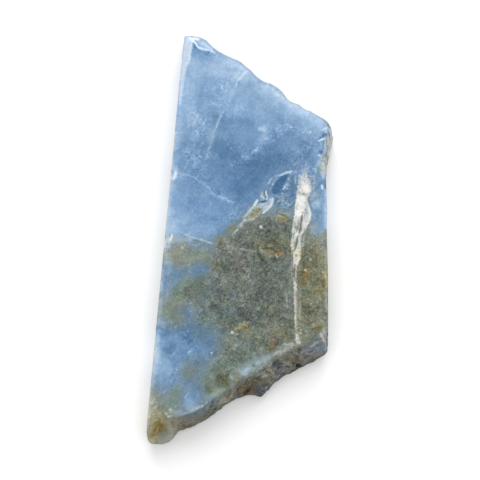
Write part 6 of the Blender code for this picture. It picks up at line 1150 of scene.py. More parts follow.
EDGE_TONE = [
    # pale bevel of the upper left, its chips, and the rim of the break; the bevel's paleness is partly painted light
    (218, .92, .6, [(188.2, 40, 4.6), (187, 48, 4.5), (186.2, 56, 4), (184.8, 65, 3), (183.4, 71, 2.4), (182.6, 80, 2.2), (181.4, 90, 1.8), (179.8, 104, 1.3)]),
    (150, .8, .8, [(194.6, 44.4, 1), (195.6, 48.6, 1.5), (193.6, 54, 1.8)]), (236, .9, .8, [(192, 41, .7), (191, 47, .7), (189.8, 54, .7), (188.8, 60, .6)]),
    (196, .7, .9, [(187.8, 80, 2), (186.4, 92, 2)]), (175, .9, .8, [(200, 42.6, 2.6), (204.6, 45.2, 2.8), (210, 49, 2)]), (202, .7, .8, [(203, 42.6, 1.2), (208.4, 46.8, 1.1), (212.6, 50.6, 1.2)]),
    (164, .8, 1, [(203, 54.4, 2), (208.4, 55.8, 2.4), (214, 56.6, 2)]), (178, .5, 1, [(217, 57, 2.4)]),
    (198, .8, 1, [(238, 65.4, 2.4), (244, 69.4, 2.4)]), (192, .7, 1, [(268, 88, 2.4), (276, 92.6, 2.6), (284, 98, 2.6), (294, 104.8, 2.4), (304, 110.4, 2)]), (214, .6, .9, [(276, 94, 1.4), (283, 98, 1.2)]),
    (214, .8, .9, [(260.6, 128.8, 2.2)]), (214, .85, .9, [(194, 38.4, 1.5), (198.6, 38.8, 1.3)]), (238, .95, .8, [(189.8, 37.4, .7), (191.9, 40, .9), (194.8, 41.6, .8), (196.2, 44.2, .8), (198.8, 47.4, .8), (202.4, 49.2, .7)]), (212, .85, .8, [(202.4, 49.2, .8), (208, 50, .8), (212.4, 51.4, .6)]),
    (164, .65, .8, [(184.8, 37.6, .8), (189.6, 36.6, .8), (197, 36.9, .8), (202, 38.8, .8), (206.4, 41.4, .8), (210, 45.4, .8), (214.4, 49.3, .8), (220, 52.7, .8), (225.2, 55.7, .8), (230.7, 58, .8), (236.3, 60.4, .8), (240.7, 62.9, .8), (245.6, 67, .8), (250.4, 70.7, .8), (254, 74.5, .8), (258.2, 78.3, .8), (262.8, 81.6, .8), (266.9, 83.6, .8), (271.2, 84.9, .8), (276.2, 87.6, .8), (280.8, 91.3, .8), (284.2, 95.6, .8), (287.4, 99.4, .8), (291, 102.1, .8), (295.3, 104.1, .8), (299.6, 105.7, .8), (302.8, 108.5, .8), (306.4, 110.5, .8), (310.6, 112, .8), (314.6, 114.6, .8), (319.6, 117.5, .8), (324.1, 120.4, .8), (327.8, 123.6, .8)]),
    # light in the thin margin along the saw cut
    (214, .85, .9, [(175.2, 132, 1.1), (172.8, 148, 1.3), (171.2, 160, 1.5), (170.2, 170, 2.3), (169.8, 180, 2.5), (168, 190, 2.2), (167.2, 200, 2.5), (166.4, 212, 2.4), (165.6, 222, 3), (165, 232, 2.8)]),
    (196, .8, .9, [(167.6, 240, 2.6), (172, 240.6, 2)]), (176, .7, 1, [(176.4, 240, 2), (183, 239.8, 2), (190, 240, 1.8)]), (240, .8, .8, [(172.4, 234, .5), (171.2, 237.6, .7), (170, 241.4, .5)]), (222, .7, .8, [(169.8, 242.4, .5), (168.8, 246, .5)]), (206, .8, .9, [(176, 170, 1.6), (175, 178, 1.6)]),
    (150, .7, .8, [(172, 171.6, 1)]), (150, .7, .9, [(167, 248.6, 1.3), (171, 248.6, 1.3)]),
    # painted shade in the two chipped notches of the upper right corner
    (152, .8, .8, [(320.4, 138, 1), (323.6, 136.6, 1.5), (326, 135.6, 1.7)]), (128, .7, .8, [(320.4, 151.4, 1.3), (322, 152.4, 1.3)]),
    (196, .6, .9, [(326.2, 202, .9), (326.4, 216, .9), (326.2, 228, .9)]), (206, .7, .9, [(325.6, 338, 1.8)]),
    (182, .55, .9, [(160.6, 300, 2), (158, 322, 2)]), (212, .7, .9, [(155.4, 338, 1.8), (154, 350, 2)]), (196, .6, .9, [(150.4, 384, 1.8), (149.4, 400, 1.6), (148.4, 416, 1.8)]),
    (186, .7, 1, [(165.6, 246, 2)]), (178, .6, 1, [(166.4, 254, 2)]), (176, .7, 1, [(166.2, 262, 2.2), (169.6, 263, 1.8)]), (168, .7, 1, [(161.6, 312, 2)]), (184, .9, 1, [(158.4, 331, 2.3)]), (162, .8, 1, [(162.4, 332, 1.8)]), (198, .85, 1, [(157.8, 341, 2.4)]), (168, .8, 1, [(162.4, 342, 2)]), (182, .7, 1, [(158, 372, 2.4)]), (170, .6, 1, [(326.4, 248, 1.4), (326.4, 262, 1.4), (326.6, 290, 1.2), (326.6, 312, 1.2)]),
    # the worn corner at the upper right, with its darker outline, painted shade in its two chipped notches and painted
    # glints below them
    (184, .85, 1, [(321, 124.6, 2.4), (326, 130, 2.2)]), (210, .9, 1, [(329.4, 138, 2.4), (328.8, 146, 2.4), (326.8, 152, 1.8)]), (196, .85, 1, [(323.4, 160, 2.6), (323.6, 167, 2.2)]), (192, .8, .9, [(322, 173, 1.8), (323.6, 178, 1.3)]),
    (176, .8, .8, [(331.4, 133, .7), (332, 140, .7), (330.8, 148, .7), (329, 156, .7)]), (160, .75, .8, [(327.4, 136.4, .6), (330.4, 140, .5), (329.8, 146.6, .6), (327.4, 149.6, .6)]), (128, .8, .8, [(327.4, 152.4, .8), (326.4, 156.4, .7)]), (226, .7, .8, [(328.8, 137, .7), (328.6, 143.6, .7)]),
    (208, .85, .8, [(325.6, 124, .7), (326, 130, .7), (325.6, 140, .7), (325.4, 146, .7)]), (180, .9, .8, [(315, 137.8, 1.2), (319, 136.8, 1.5), (321.6, 135.8, 1)]), (180, .85, .9, [(321.4, 143.4, 1.6), (321.4, 148.4, 1.6)]), (172, .8, .9, [(316.4, 156, 1.2)]), (104, .85, .8, [(323.4, 136.6, .6), (325, 135.4, 1.1), (326.4, 134.2, .9)]),
    (216, .9, .9, [(330.2, 129, 1.2), (331.2, 136, 1.1), (331.2, 143, 1.1), (329.8, 150, 1.2), (328.6, 156, 1)]), (212, .85, .9, [(324.6, 171.6, 1.2), (326, 174, .8)]), (116, .85, .8, [(320.6, 152.8, .9), (322.6, 151.6, 1)]), (246, .95, .8, [(318.6, 141, .5), (321.6, 139.6, .9), (324.8, 138.4, .8)]), (236, .9, .8, [(318.4, 154.8, .5), (320.6, 155.6, .7)]),
    (150, .75, .8, [(321.4, 160.6, .6), (324.8, 161.4, .6), (325.2, 165, .6), (322.4, 166.4, .6)]), (222, .7, .8, [(323.2, 163.2, .8), (323.8, 169.4, .7)]), (204, .8, .8, [(326.4, 157.4, .8), (326, 171, .8)]),
    (154, .7, .8, [(325.6, 329, 1.2), (325.3, 340, 1.2), (324.8, 351, 1.2)]),
    (238, .9, .9, [(164.4, 241, 1.5), (164.2, 247, 1.5)]), (210, .9, .9, [(164.4, 251, 1.3)]), (212, .85, .9, [(168, 242, 1.5)]), (198, .85, .9, [(168, 246.6, 1.5)]), (178, .75, .9, [(172, 242.6, 1.5)]), (246, .9, .8, [(172.2, 234.4, .4), (171.2, 237.4, .6), (170.2, 240.6, .4)]),
    # first stroke: a painted glint on the chip of the left edge
    (250, .95, .8, [(175.8, 172.6, .7), (174.8, 176, 1), (173.6, 179, .8)]), (182, .8, 1, [(176.6, 168, 1.8)]), (188, .8, .9, [(153.4, 374, 1.6), (153, 380, 1.6)]), (184, .8, .9, [(148, 419, 1.3), (147.6, 427, 1.3)]), (176, .8, .8, [(326, 332, .9), (325.8, 341, .9), (325.4, 349, .9)]),
    (128, .7, .8, [(328, 130.6, .4), (329.4, 135, .5), (329.6, 139, .4)]), (138, .7, .8, [(326.8, 140.4, .4), (327, 145.4, .5), (328.4, 148, .4)]), (222, .7, .8, [(328.4, 141, .6), (328.2, 145.4, .5)]),
    (202, .6, 1, [(169.6, 241.6, 1.6)]), (178, .6, 1, [(173.6, 241, 1.8)]), (178, .7, 1, [(170, 246.4, 1.6)]), (164, .6, 1, [(174, 245.4, 1.6)]), (184, .7, 1, [(166.4, 250, 1.5)]), (206, .6, 1, [(166, 246, 1.4)]), (186, .7, 1, [(327, 132, 1.4)]), (178, .7, .9, [(319, 133, 1.8)]), (166, .6, .9, [(321.4, 136, 1.3)]), (184, .6, .9, [(324.4, 127.6, 1.2)]), (170, .6, .9, [(148.4, 427, 1.3)]), (174, .6, .9, [(148.6, 421.6, 1.3)]),
]
EDGE_WARM = [
    (-22, .8, .9, [(175.2, 132, 1), (172.8, 148, 1.2), (171.2, 160, 1.4), (170, 170, 2.2), (169.2, 182, 2.2), (167.6, 192, 1.8), (167, 202, 2.2), (166, 212, 2), (165.4, 222, 2.2), (165, 232, 2.2)]),
    (-18, .8, .9, [(168, 240, 2.6), (172.6, 240.6, 2.4)]), (-62, .85, .9, [(258, 82, 2.4), (264, 85.4, 2.6), (274, 90.6, 2.6), (280, 94.6, 2.2)]), (-38, .7, .9, [(286, 99, 2), (295, 104.8, 2.2)]), (-34, .7, .8, [(184.8, 37.6, .8), (189.6, 36.6, .8), (197, 36.9, .8), (202, 38.8, .8), (206.4, 41.4, .8), (210, 45.4, .8), (214.4, 49.3, .8), (220, 52.7, .8), (225.2, 55.7, .8), (230.7, 58, .8), (236.3, 60.4, .8), (240.7, 62.9, .8), (245.6, 67, .8), (250.4, 70.7, .8), (254, 74.5, .8), (258.2, 78.3, .8), (262.8, 81.6, .8), (266.9, 83.6, .8), (271.2, 84.9, .8), (276.2, 87.6, .8), (280.8, 91.3, .8), (284.2, 95.6, .8), (287.4, 99.4, .8), (291, 102.1, .8), (295.3, 104.1, .8), (299.6, 105.7, .8), (302.8, 108.5, .8), (306.4, 110.5, .8), (310.6, 112, .8), (314.6, 114.6, .8), (319.6, 117.5, .8), (324.1, 120.4, .8), (327.8, 123.6, .8)]), (-10, .8, .8, [(194, 38.4, 1.6), (198.6, 38.8, 1.4)]),
    (-24, .7, .9, [(160.4, 300, 1.6), (158, 322, 1.6)]), (-20, .8, .9, [(155, 344, 2), (153, 358, 2), (151.4, 374, 2)]), (-8, .8, .9, [(150.4, 384, 1.8)]), (10, .8, .9, [(149.4, 398, 1.6), (148, 412, 1.8), (147, 426, 1.6)]),
    (-20, .8, 1, [(329.4, 137, 2), (328.8, 145, 2)]), (-10, .8, 1, [(328.6, 150, 1.6)]), (-8, .8, 1, [(324, 162, 2.4), (324, 169, 2)]), (2, .8, .9, [(325, 165, 1.4)]),
    (-78, .9, .9, [(323.8, 128, 2), (324.4, 133, 1.8)]), (-64, .85, .9, [(326.6, 127, 1.3), (326.8, 133, 1.3)]), (-42, .85, .9, [(328.8, 128, 1.2), (329, 134.6, 1.2)]), (-30, .8, .9, [(330.8, 134, .9)]), (-52, .85, .9, [(324.8, 140, 1), (324.8, 144, 1.1), (324.4, 149, 1.1)]), (-30, .8, .9, [(327.4, 142, 1.2), (326.6, 149, 1.2), (326.4, 153.6, 1)]), (-32, .8, .9, [(324.4, 155, 1)]), (-12, .8, .9, [(321.4, 159.6, 1.6)]), (-12, .8, .9, [(324.4, 172, 1.2), (324.4, 176.4, 1)]),
    (-80, .8, .9, [(187.6, 40, 4), (186.4, 50, 4), (185.6, 60, 3)]), (-86, .7, 1, [(183.4, 68, 2.8), (181.6, 80, 2.6), (179.8, 95, 2.4), (178.2, 110, 2)]), (-60, .7, 1, [(166, 264, 2), (164, 272, 1.8)]),
    (-72, .8, 1, [(327, 131, 2), (327.4, 136, 1.8)]), (-68, .8, 1, [(324, 146, 1.8), (323.6, 152, 1.8)]), (-36, .6, 1, [(330.4, 131, 1.5)]),
]
TRIM = [  # where the outline draws in a little: plan x, plan y, radius, metres
    (285, 377, 8, 0.00018), (309, 364, 7, 0.00012), (331, 148, 10, 0.00009),
]
CALM = [  # where the granular look fades
    (0.40, .8, 1, [(176, 290, 8), (186, 283, 6), (196, 288, 8), (200, 300, 6)]), (0.45, .7, 1, [(174, 310, 7)]), (0.6, .6, 1, [(214, 330, 7), (218, 345, 6)]), (0.3, .8, 1, [(188, 312, 6)]),
    (0.12, .75, 1, [(207, 370, 5), (208, 382, 5), (214, 392, 4), (216, 366, 4)]),
]
SKIN_KEEP = [(331, 124), (336, 134), (336, 150), (332, 168), (327, 178), (322, 175), (319.5, 168), (320.5, 161), (324, 154), (325.6, 147), (326, 140), (327.4, 133), (329, 128)]
CHIPS = [  # plan x, plan y, centre's height over the top face, radius
    (166.9, 175.2, 0.00035, 0.00117), (329.0, 137.2, 0.00030, 0.00110), (330.4, 166.0, 0.00150, 0.00230), (282.0, 184.0, 0.01240, 0.01262),
]


def height_side(where, below):
    """The lumps belong to what is seen from over the stone."""
    return (where != 2) & (below < 0.0006)


# ---------------------------------------------------------------- stone
points, faces, where, ring, shares, rim = build_mesh()
P = plan_of(points)
depth = THICKNESS - points[:, 2]
below = np.where(where == 0, np.maximum(0, depth - rim), np.where(where == 2, THICKNESS, 0))


def normals_of(points):
    a, b, c = (points[faces[:, k]] for k in range(3))
    cross = np.cross(b - a, c - a)
    total = np.zeros_like(points)
    for k in range(3):
        for axis in range(3):
            total[:, axis] += np.bincount(faces[:, k], cross[:, axis], len(points))
    return total / np.maximum(np.linalg.norm(total, axis=1), 1e-18)[:, None]


# Inside the stone the colours run on downwards, and drift sideways as they go.
drift = smooth(0, 0.0035, below)[:, None]
Q = P + drift * np.stack([9 * fractal(points, 0.0060, 2, 31) + 3 * fractal(points, 0.0018, 2, 32) + 3.0 * below / THICKNESS,
                          9 * fractal(points, 0.0060, 2, 33) + 3 * fractal(points, 0.0018, 2, 34)], 1)
plan3 = np.concatenate([Q * UNIT, points[:, 2:] * 0.6], 1)
W = Q + np.stack([1.3 * fractal(plan3, 0.0011, 2, 41), 1.3 * fractal(plan3, 0.0011, 2, 42)], 1)
N = Q + np.stack([0.35 * fractal(plan3, 0.0008, 2, 43), 0.35 * fractal(plan3, 0.0008, 2, 44)], 1)

count = len(points)
tone = np.full(count, 140.0)
for value, weight, soft, line in TONE:
    wash(tone, W, value, weight, soft, line)

matrix = area(W, BLUE_OUTLINES["matrix"], 5.0)
olive = np.maximum(area(W, BLUE_OUTLINES["olive_upper"], 5.0), area(W, BLUE_OUTLINES["olive_lower"], 5.0))
grain = np.maximum(smooth(0.15, 0.75, matrix), 0.5 * smooth(0.3, 0.9, olive))
for weight, soft, line in GRAIN:
    cover(grain, W, weight, soft, line)
for value, weight, soft, line in CALM:
    wash(grain, W, value, weight, soft, line)
warm, rust, white = np.full(count, -74.0), np.zeros(count), np.zeros(count)
for value, edge, outline in WARM_AREAS:
    lay(warm, W, value, edge, outline)
for value, weight, soft, line in WARM:
    wash(warm, W, value, weight, soft, line)
for value, weight, soft, line in RUST:
    wash(rust, W, value, weight, soft, line)
for weight, soft, line in WHITE_PATCHES:
    cover(white, W, weight, soft, line)
for weight, dot in BRIGHT_DOTS:
    cover(white, N, weight, .8, [dot])
pit = np.zeros(count)
wisps = np.full(count, 0.2)
for weight, soft, line in WISPS:
    cover(wisps, W, weight, soft, line)
wisps *= 1 - matrix
for weight, dot in DARK_DOTS:
    cover(pit, N, weight, .8, [dot])
frayed = 1 - smooth(177, 190, P[:, 1])
vein = area(N, VEIN_EDGE, 1.5) * (1 - frayed) + area(N, VEIN_EDGE, 6.0) * frayed
vein_tone, vein_warm = np.full(count, 206.0), np.full(count, 3.0)
for value, weight, soft, line in VEIN_TONE:
    wash(vein_tone, N, value, weight, soft, line)
for value, weight, soft, line in VEIN_WARM:
    wash(vein_warm, N, value, weight, soft, line)
vein_tone += 8 * smooth(286, 300, P[:, 1])

# the natural skin of the lower edge and the upper right corner
# it begins unevenly, a little over the edge, and fades out on the rounded tip
start = 0.00004 + 0.00028 * smooth(-0.5, 0.6, fractal(points, 0.0014, 3, 65)) + 0.00012 * fractal(points, 0.0005, 1, 66)
tip = (1 - smooth(6, 16, np.hypot((P[:, 0] - 153) * 0.75, P[:, 1] - 436)))
rind = shares[:, RIND] * smooth(0, 0.0004, depth - start) * (where == 0) * (1 - tip)
rind *= np.where(P[:, 1] < 230, np.maximum(smooth(0.35, 0.75, area(W, SKIN_KEEP, 2.0)), smooth(0.0012, 0.0022, depth)), 1.0)
broken = (shares[:, BREAK] + shares[:, FACET]) * (where == 0)
cut = shares[:, SAW] * (where == 0)
skin_tone = np.full(count, 88.0)
skin_warm, skin_rust = np.full(count, 6.0), np.full(count, -5.5)
for value, weight, soft, line in SKIN_TONE:
    wash(skin_tone, W, value, weight, soft, line)
for value, weight, soft, line in SKIN_WARM:
    wash(skin_warm, W, value, weight, soft, line)
for value, weight, soft, line in SKIN_RUST:
    wash(skin_rust, W, value, weight, soft, line)
tone -= 4 * smooth(0.4, 0.9, matrix)
for value, weight, soft, line in DETAIL:
    wash(tone, N, value, weight, soft, line)
    wash(skin_tone, N, value, weight, soft, line)
for value, weight, soft, line in DETAIL_WARM:
    wash(warm, N, value, weight, soft, line)
    wash(skin_warm, N, value, weight, soft, line)
skin_tone = 3 + skin_tone * 1.13      # it faces away from the light
calm_skin = np.zeros(count)
for weight, soft, line in SKIN_CALM:
    cover(calm_skin, W, weight, soft, line)
grain = grain * (1 - rind) + rind * (1 - 0.7 * calm_skin)
tone += (skin_tone - tone) * rind
warm += (skin_warm - warm) * rind
rust += (skin_rust - rust) * rind
# a paler, frosted look where the stone is chipped or sawn across; the strokes also paint light coming through the thin
# margins, glints on the chips and shade in the chipped notches
upper = 1 - smooth(0.0004, 0.0016, below)
pale, hue = tone.copy(), warm.copy()
for value, weight, soft, line in EDGE_TONE:
    wash(pale, N, value, weight, soft, line)
for value, weight, soft, line in EDGE_WARM:
    wash(hue, N, value, weight, soft, line)
tone += (pale - tone) * upper
warm += (hue - warm) * upper
warm -= cut * smooth(0.0003, 0.0012, depth) * 0.4 * np.minimum(0, warm)
tone += (12 * cut + 4 * broken) * smooth(0.0002, 0.0010, depth) * (1 - rind)
warm += broken * (1 - rind) * smooth(0.0001, 0.0006, depth) * 0.35 * np.maximum(0, -30 - warm)
rust -= broken * (1 - rind) * smooth(0.0001, 0.0006, depth) * 3
scratch(tone, N, SCRATCHES)

line_sets = [hairlines(N, LINES_A), hairlines(N, LINES_B), hairlines(N, LINES_DARK)]
live = 1 - 0.6 * rind
line_a = np.stack([line_sets[0][0], line_sets[0][1] * live, line_sets[0][2]], 1)
line_b = np.stack([line_sets[1][0], line_sets[1][1] * live, line_sets[1][2]], 1)
line_c = np.stack([line_sets[2][0], line_sets[2][1], line_sets[2][2]], 1)

# the edge to the natural skin is worn round, most of all at the tip
arris = KDTree(int(((ring == 0) & (shares[:, RIND] > 0.5)).sum()))
for k in np.nonzero((ring == 0) & (shares[:, RIND] > 0.5))[0]:
    arris.insert(points[k], int(k))
arris.balance()
close = np.nonzero(where != 2)[0]
gap_to = np.full(count, 1.0)
gap_to[close] = [arris.find(p)[2] for p in points[close]]
wear = 1 - smooth(0.0004, 0.0013 + 0.0012 * tip, gap_to)
wear = np.where(ring == RINGS - 1, 0, wear)
pairs = np.concatenate([faces[:, [0, 1]], faces[:, [1, 2]], faces[:, [2, 0]]])
share_of = np.bincount(pairs.ravel(), minlength=count)[:, None]
for turn_round in range(36):
    mean = np.stack([np.bincount(pairs[:, 0], points[pairs[:, 1], k], count) + np.bincount(pairs[:, 1], points[pairs[:, 0], k], count) for k in range(3)], 1) / share_of
    force = wear if turn_round < 12 else wear * tip
    points = points + 0.6 * force[:, None] * (mean - points)

# relief along the normals, in metres
normal = normals_of(points)
lift = 0.000012 * fractal(points, 0.004, 2, 51)
lift += rind * (0.00022 * fractal(points, 0.0027, 2, 52) + 0.00008 * fractal(points, 0.0011, 2, 53) + 0.00002 * fractal(points, 0.0005, 1, 54))
lift += broken * smooth(0, 0.0004, depth) * (0.00010 * fractal(points, 0.0030, 2, 55) + 0.00003 * fractal(points, 0.0009, 2, 56))
lift += cut * smooth(0.0002, 0.0010, depth) * (0.000022 * fractal(points, 0.0016, 3, 57) + grain * 0.00003 * fractal(points, 0.0006, 2, 58))
body = smooth(0.3, 0.8, vein)
crack = np.abs(line_c[:, 1]) * (1 - smooth(0.4, 1.6, np.abs(line_c[:, 0])))
lift += body * (1 - rind) * (0.00005 * fractal(points, 0.0008, 2, 59) + 0.00003 * fractal(points, 0.00045, 1, 60)) - crack * (0.00008 + 0.00016 * body)
lift += (1 - rind) * grain * 0.000015 * fractal(points, 0.0006, 2, 61) - 0.00010 * pit
rounded = np.zeros(count)
for height, line in SKIN_RELIEF:
    pick, dist, radius, _ = follow(P, line, 2.0)
    rounded[pick] += height * (1 - smooth(0.0, 1.6, np.abs(dist) / radius))
lift += rounded * np.where(height_side(where, below), 1.0, 0.0)
for x, y, radius, amount in TRIM:
    lift -= (where == 0) * amount * (1 - smooth(0.3, 1.0, np.hypot(P[:, 0] - x, P[:, 1] - y) / radius))
lift *= np.where(where == 2, 0.25, 1.0) * np.where(ring >= 0, smooth(0, 0.0006, points[:, 2]), 1.0)
points = points + normal * lift[:, None]
for x, y, up, radius in CHIPS:
    centre = at(x, y, -up)
    gap = points - centre
    far = np.linalg.norm(gap, axis=1)
    inside = (far < radius) & (where != 2)
    points[inside] = centre + gap[inside] / far[inside, None] * radius
points[:, 2] = np.clip(points[:, 2], 0, THICKNESS + 0.00012)
foot = (where == 2) | ((where == 0) & (ring == RINGS - 1))
points[foot, 2] = 0

# ---------------------------------------------------------------- mesh and its painted fields
mesh = bpy.data.meshes.new("opal_stone")
mesh.from_pydata(points.tolist(), [], faces.tolist())
mesh.update()
stone = bpy.data.objects.new("opal_stone", mesh)
bpy.context.scene.collection.objects.link(stone)
mesh.shade_smooth()
print("stone:", len(points), "points,", len(faces), "triangles")


def give(name, values):
    layer = mesh.attributes.new(name, "FLOAT_VECTOR", "POINT")
    layer.data.foreach_set("vector", np.ascontiguousarray(values, np.float32).ravel())


give("tone", np.stack([tone / 255, grain, cut], 1))
give("hue", np.stack([warm / 255, rust / 255, matrix], 1))
give("skin", np.stack([rind, vein, broken], 1))
give("texture", np.stack([vein_tone / 255, wisps, vein_warm / 255], 1))
give("marks", np.stack([white, pit, crack], 1))
give("line_a", line_a)
give("line_b", line_b)
give("line_c", line_c)


# ---------------------------------------------------------------- material
GAIN = 1 / 1.455        # from the light on the stone to the photograph's tones
GLOSS = 0.021          # what the surface's sheen adds


class Graph:
    def __init__(self, material):
        material.use_nodes = True
        self.nodes, self.links = material.node_tree.nodes, material.node_tree.links

    def node(self, kind, **settings):
        made = self.nodes.new(kind)
        for key, value in settings.items():
            setattr(made, key, value)
        return made

    def put(self, socket, value):
        if isinstance(value, bpy.types.NodeSocket):
            self.links.new(value, socket)
        elif value is not None:
            socket.default_value = value

    def math(self, operation, a, b=None, c=None, clamp=False):
        made = self.node("ShaderNodeMath", operation=operation, use_clamp=clamp)
        for k, value in enumerate((a, b, c)):
            self.put(made.inputs[k], value)
        return made.outputs[0]

    def add(self, *terms):
        total = terms[0]
        for term in terms[1:]:
            total = self.math("ADD", total, term)
        return total

    def times(self, a, b, clamp=False):
        return self.math("MULTIPLY", a, b, clamp=clamp)

    def span(self, value, low, high, to_low=0.0, to_high=1.0, smoothly=True):
        made = self.node("ShaderNodeMapRange", interpolation_type="SMOOTHSTEP" if smoothly else "LINEAR", clamp=True)
        for k, v in enumerate((value, low, high, to_low, to_high)):
            self.put(made.inputs[k], v)
        return made.outputs[0]

    def curve(self, value, stops, low=0.0, high=1.0):
        """A curve through (value, result) stops; the results lie between low and high."""
        start, end = stops[0][0], stops[-1][0]
        made = self.node("ShaderNodeValToRGB")
        elements = made.color_ramp.elements
        while len(elements) < len(stops):
            elements.new(0.5)
        for element, (place, result) in zip(elements, stops):
            element.position = (place - start) / (end - start)
            part = (result - low) / (high - low)
            element.color = (part, part, part, 1)
        self.put(made.inputs[0], self.span(value, start, end, smoothly=False))
        return self.add(self.times(made.outputs[0], high - low), low)

    def to_albedo(self, shade):
        """From a display tone to the stone's own brightness."""
        power = self.math("POWER", self.math("DIVIDE", self.add(self.math("MAXIMUM", shade, 0.02), 0.055), 1.055), 2.4)
        return self.math("MAXIMUM", self.add(self.times(power, GAIN), -GLOSS), 0.004)

    def vector(self, operation, a, b):
        made = self.node("ShaderNodeVectorMath", operation=operation)
        self.put(made.inputs[0], a)
        self.put(made.inputs[1], b)
        return made.outputs[0]

    def noise(self, coordinates, size, detail=2.0, roughness=0.5, distortion=0.0):
        """Noise of the given size in metres, about -0.3 to 0.3."""
        made = self.node("ShaderNodeTexNoise", noise_dimensions="3D")
        self.put(made.inputs["Vector"], coordinates)
        self.put(made.inputs["Scale"], 1.0 / size)
        self.put(made.inputs["Detail"], detail)
        self.put(made.inputs["Roughness"], roughness)
        self.put(made.inputs["Distortion"], distortion)
        return self.math("SUBTRACT", made.outputs[0], 0.5)

    def rotate(self, coordinates, angle):
        made = self.node("ShaderNodeVectorRotate", rotation_type="Z_AXIS")
        self.put(made.inputs["Vector"], coordinates)
        self.put(made.inputs["Angle"], angle)
        return made.outputs[0]

    def field(self, name):
        attribute = self.node("ShaderNodeAttribute", attribute_name=name)
        split = self.node("ShaderNodeSeparateXYZ")
        self.put(split.inputs[0], attribute.outputs["Vector"])
        return split.outputs[0], split.outputs[1], split.outputs[2]


mat = bpy.data.materials.new("opal_stone")
g = Graph(mat)
mesh.materials.append(mat)
where_from = g.node("ShaderNodeTexCoord").outputs["Object"]
stretched = g.vector("MULTIPLY", g.rotate(where_from, -math.radians(58) - LEAN), (0.22, 1.0, 0.6))

tone_f, grain_f, cut_f = g.field("tone")
warm_f, rust_f, matrix_f = g.field("hue")
rind_f, vein_f, broken_f = g.field("skin")
white_f, pit_f, _ = g.field("marks")
vein_tone_f, wisps_f, vein_warm_f = g.field("texture")

offset = g.vector("ADD", where_from, (0.3, 0.1, 0.2))
cloud = g.noise(where_from, 0.0024, 4, 0.6, 0.4)
mottle = g.noise(offset, 0.0010, 3, 0.62, 0.6)
streak = g.noise(stretched, 0.0006, 3, 0.6)
fine = g.noise(where_from, 0.00050, 2, 0.6)
grit = g.noise(where_from, 0.00062, 3, 0.75, 0.8)
crumb = g.noise(offset, 0.00036, 1, 0.5, 0.4)
salt = g.noise(g.vector("ADD", where_from, (0.1, 0.7, 0.4)), 0.00044, 0, 0.5)
broad = g.noise(where_from, 0.0016, 3, 0.6, 0.3)
patch = g.noise(g.vector("ADD", where_from, (0.2, 0.5, 0.1)), 0.0026, 3, 0.65, 0.5)
dust = g.noise(g.vector("ADD", where_from, (0.8, 0.3, 0.6)), 0.00025, 1, 0.6)

rind_m = g.span(g.add(rind_f, g.times(fine, 0.5)), 0.30, 0.62)
vein_m = g.span(g.add(vein_f, g.times(g.add(fine, crumb), 0.75)), 0.24, 0.80)


def line_mask(name):
    distance, force, width = g.field(name)
    off = g.math("DIVIDE", g.add(distance, g.times(fine, 1.8)), g.times(width, 1.75))
    body = g.math("SUBTRACT", 1.0, g.times(off, off), clamp=True)
    patchy = g.span(g.add(streak, g.times(grit, 1.2)), -0.20, 0.20, 0.25, 1.0)
    return g.times(g.times(g.math("POWER", body, 1.4), force), patchy)


bright = g.math("MAXIMUM", line_mask("line_a"), line_mask("line_b"))
dark = line_mask("line_c")

# clouds in the opal, and curling pale wisps where it is busy
smooth_opal = g.times(g.math("SUBTRACT", 1.0, grain_f), g.math("SUBTRACT", 1.0, rind_m))
busy = g.times(g.add(0.42, g.times(wisps_f, 0.75)), smooth_opal)
wisp_a = g.noise(g.vector("ADD", where_from, (0.6, 0.2, 0.9)), 0.0013, 4, 0.62, 1.6)
wisp_b = g.noise(g.vector("MULTIPLY", g.rotate(where_from, math.radians(32) - LEAN), (0.30, 1.0, 0.7)), 0.00085, 3, 0.62, 0.5)
curls = g.add(g.times(g.span(g.math("ABSOLUTE", wisp_a), 0.0, 0.040, 1.0, 0.0), 0.095),
              g.times(g.span(g.math("ABSOLUTE", wisp_b), 0.0, 0.036, 1.0, 0.0), 0.070),
              g.times(g.span(g.add(salt, g.times(mottle, 0.6)), 0.16, 0.30), 0.10))
curls = g.times(g.times(curls, g.times(wisps_f, smooth_opal)), g.span(g.add(cloud, mottle), -0.12, 0.22, 0.15, 1.25))
clouds = g.times(g.add(g.times(cloud, 0.12), g.times(mottle, 0.17), g.times(streak, 0.13), g.times(fine, 0.22), g.times(crumb, 0.11), g.times(dust, 0.17)), busy)
clouds = g.add(clouds, curls)
# grains and pale specks in the matrix
ridge = g.span(g.math("ABSOLUTE", g.noise(offset, 0.0011, 2, 0.55, 1.2)), 0.0, 0.06, 1.0, 0.0)
spark = g.noise(g.vector("ADD", where_from, (0.4, 0.2, 0.8)), 0.00034, 1, 0.5)
in_matrix = g.span(matrix_f, 0.2, 0.7, 0.35, 1.0)
grains = g.times(g.add(g.times(crumb, 0.34), g.times(grit, 0.26), g.times(dust, 0.16), g.times(g.add(g.times(broad, 0.26), g.times(mottle, 0.18)), in_matrix),
                               g.times(g.span(salt, 0.17, 0.30), 0.06), g.times(g.span(spark, 0.20, 0.31), 0.15), g.times(ridge, 0.035)), g.times(grain_f, g.math("SUBTRACT", 1.0, rind_m)))
thread = g.span(g.math("ABSOLUTE", g.noise(g.vector("ADD", where_from, (0.5, 0.9, 0.2)), 0.00082, 1, 0.5, 1.2)), 0.0, 0.045, 1.0, 0.0)
gap = g.span(g.math("ABSOLUTE", g.noise(g.vector("ADD", where_from, (0.9, 0.1, 0.7)), 0.00100, 1, 0.5, 1.4)), 0.0, 0.040, 1.0, 0.0)
skin_grain = g.times(g.add(g.times(grit, 0.26), g.times(crumb, 0.24), g.times(dust, 0.20), g.times(mottle, 0.18), g.times(broad, 0.14),
                           g.times(thread, 0.085), g.times(gap, -0.095)), g.times(rind_m, grain_f))
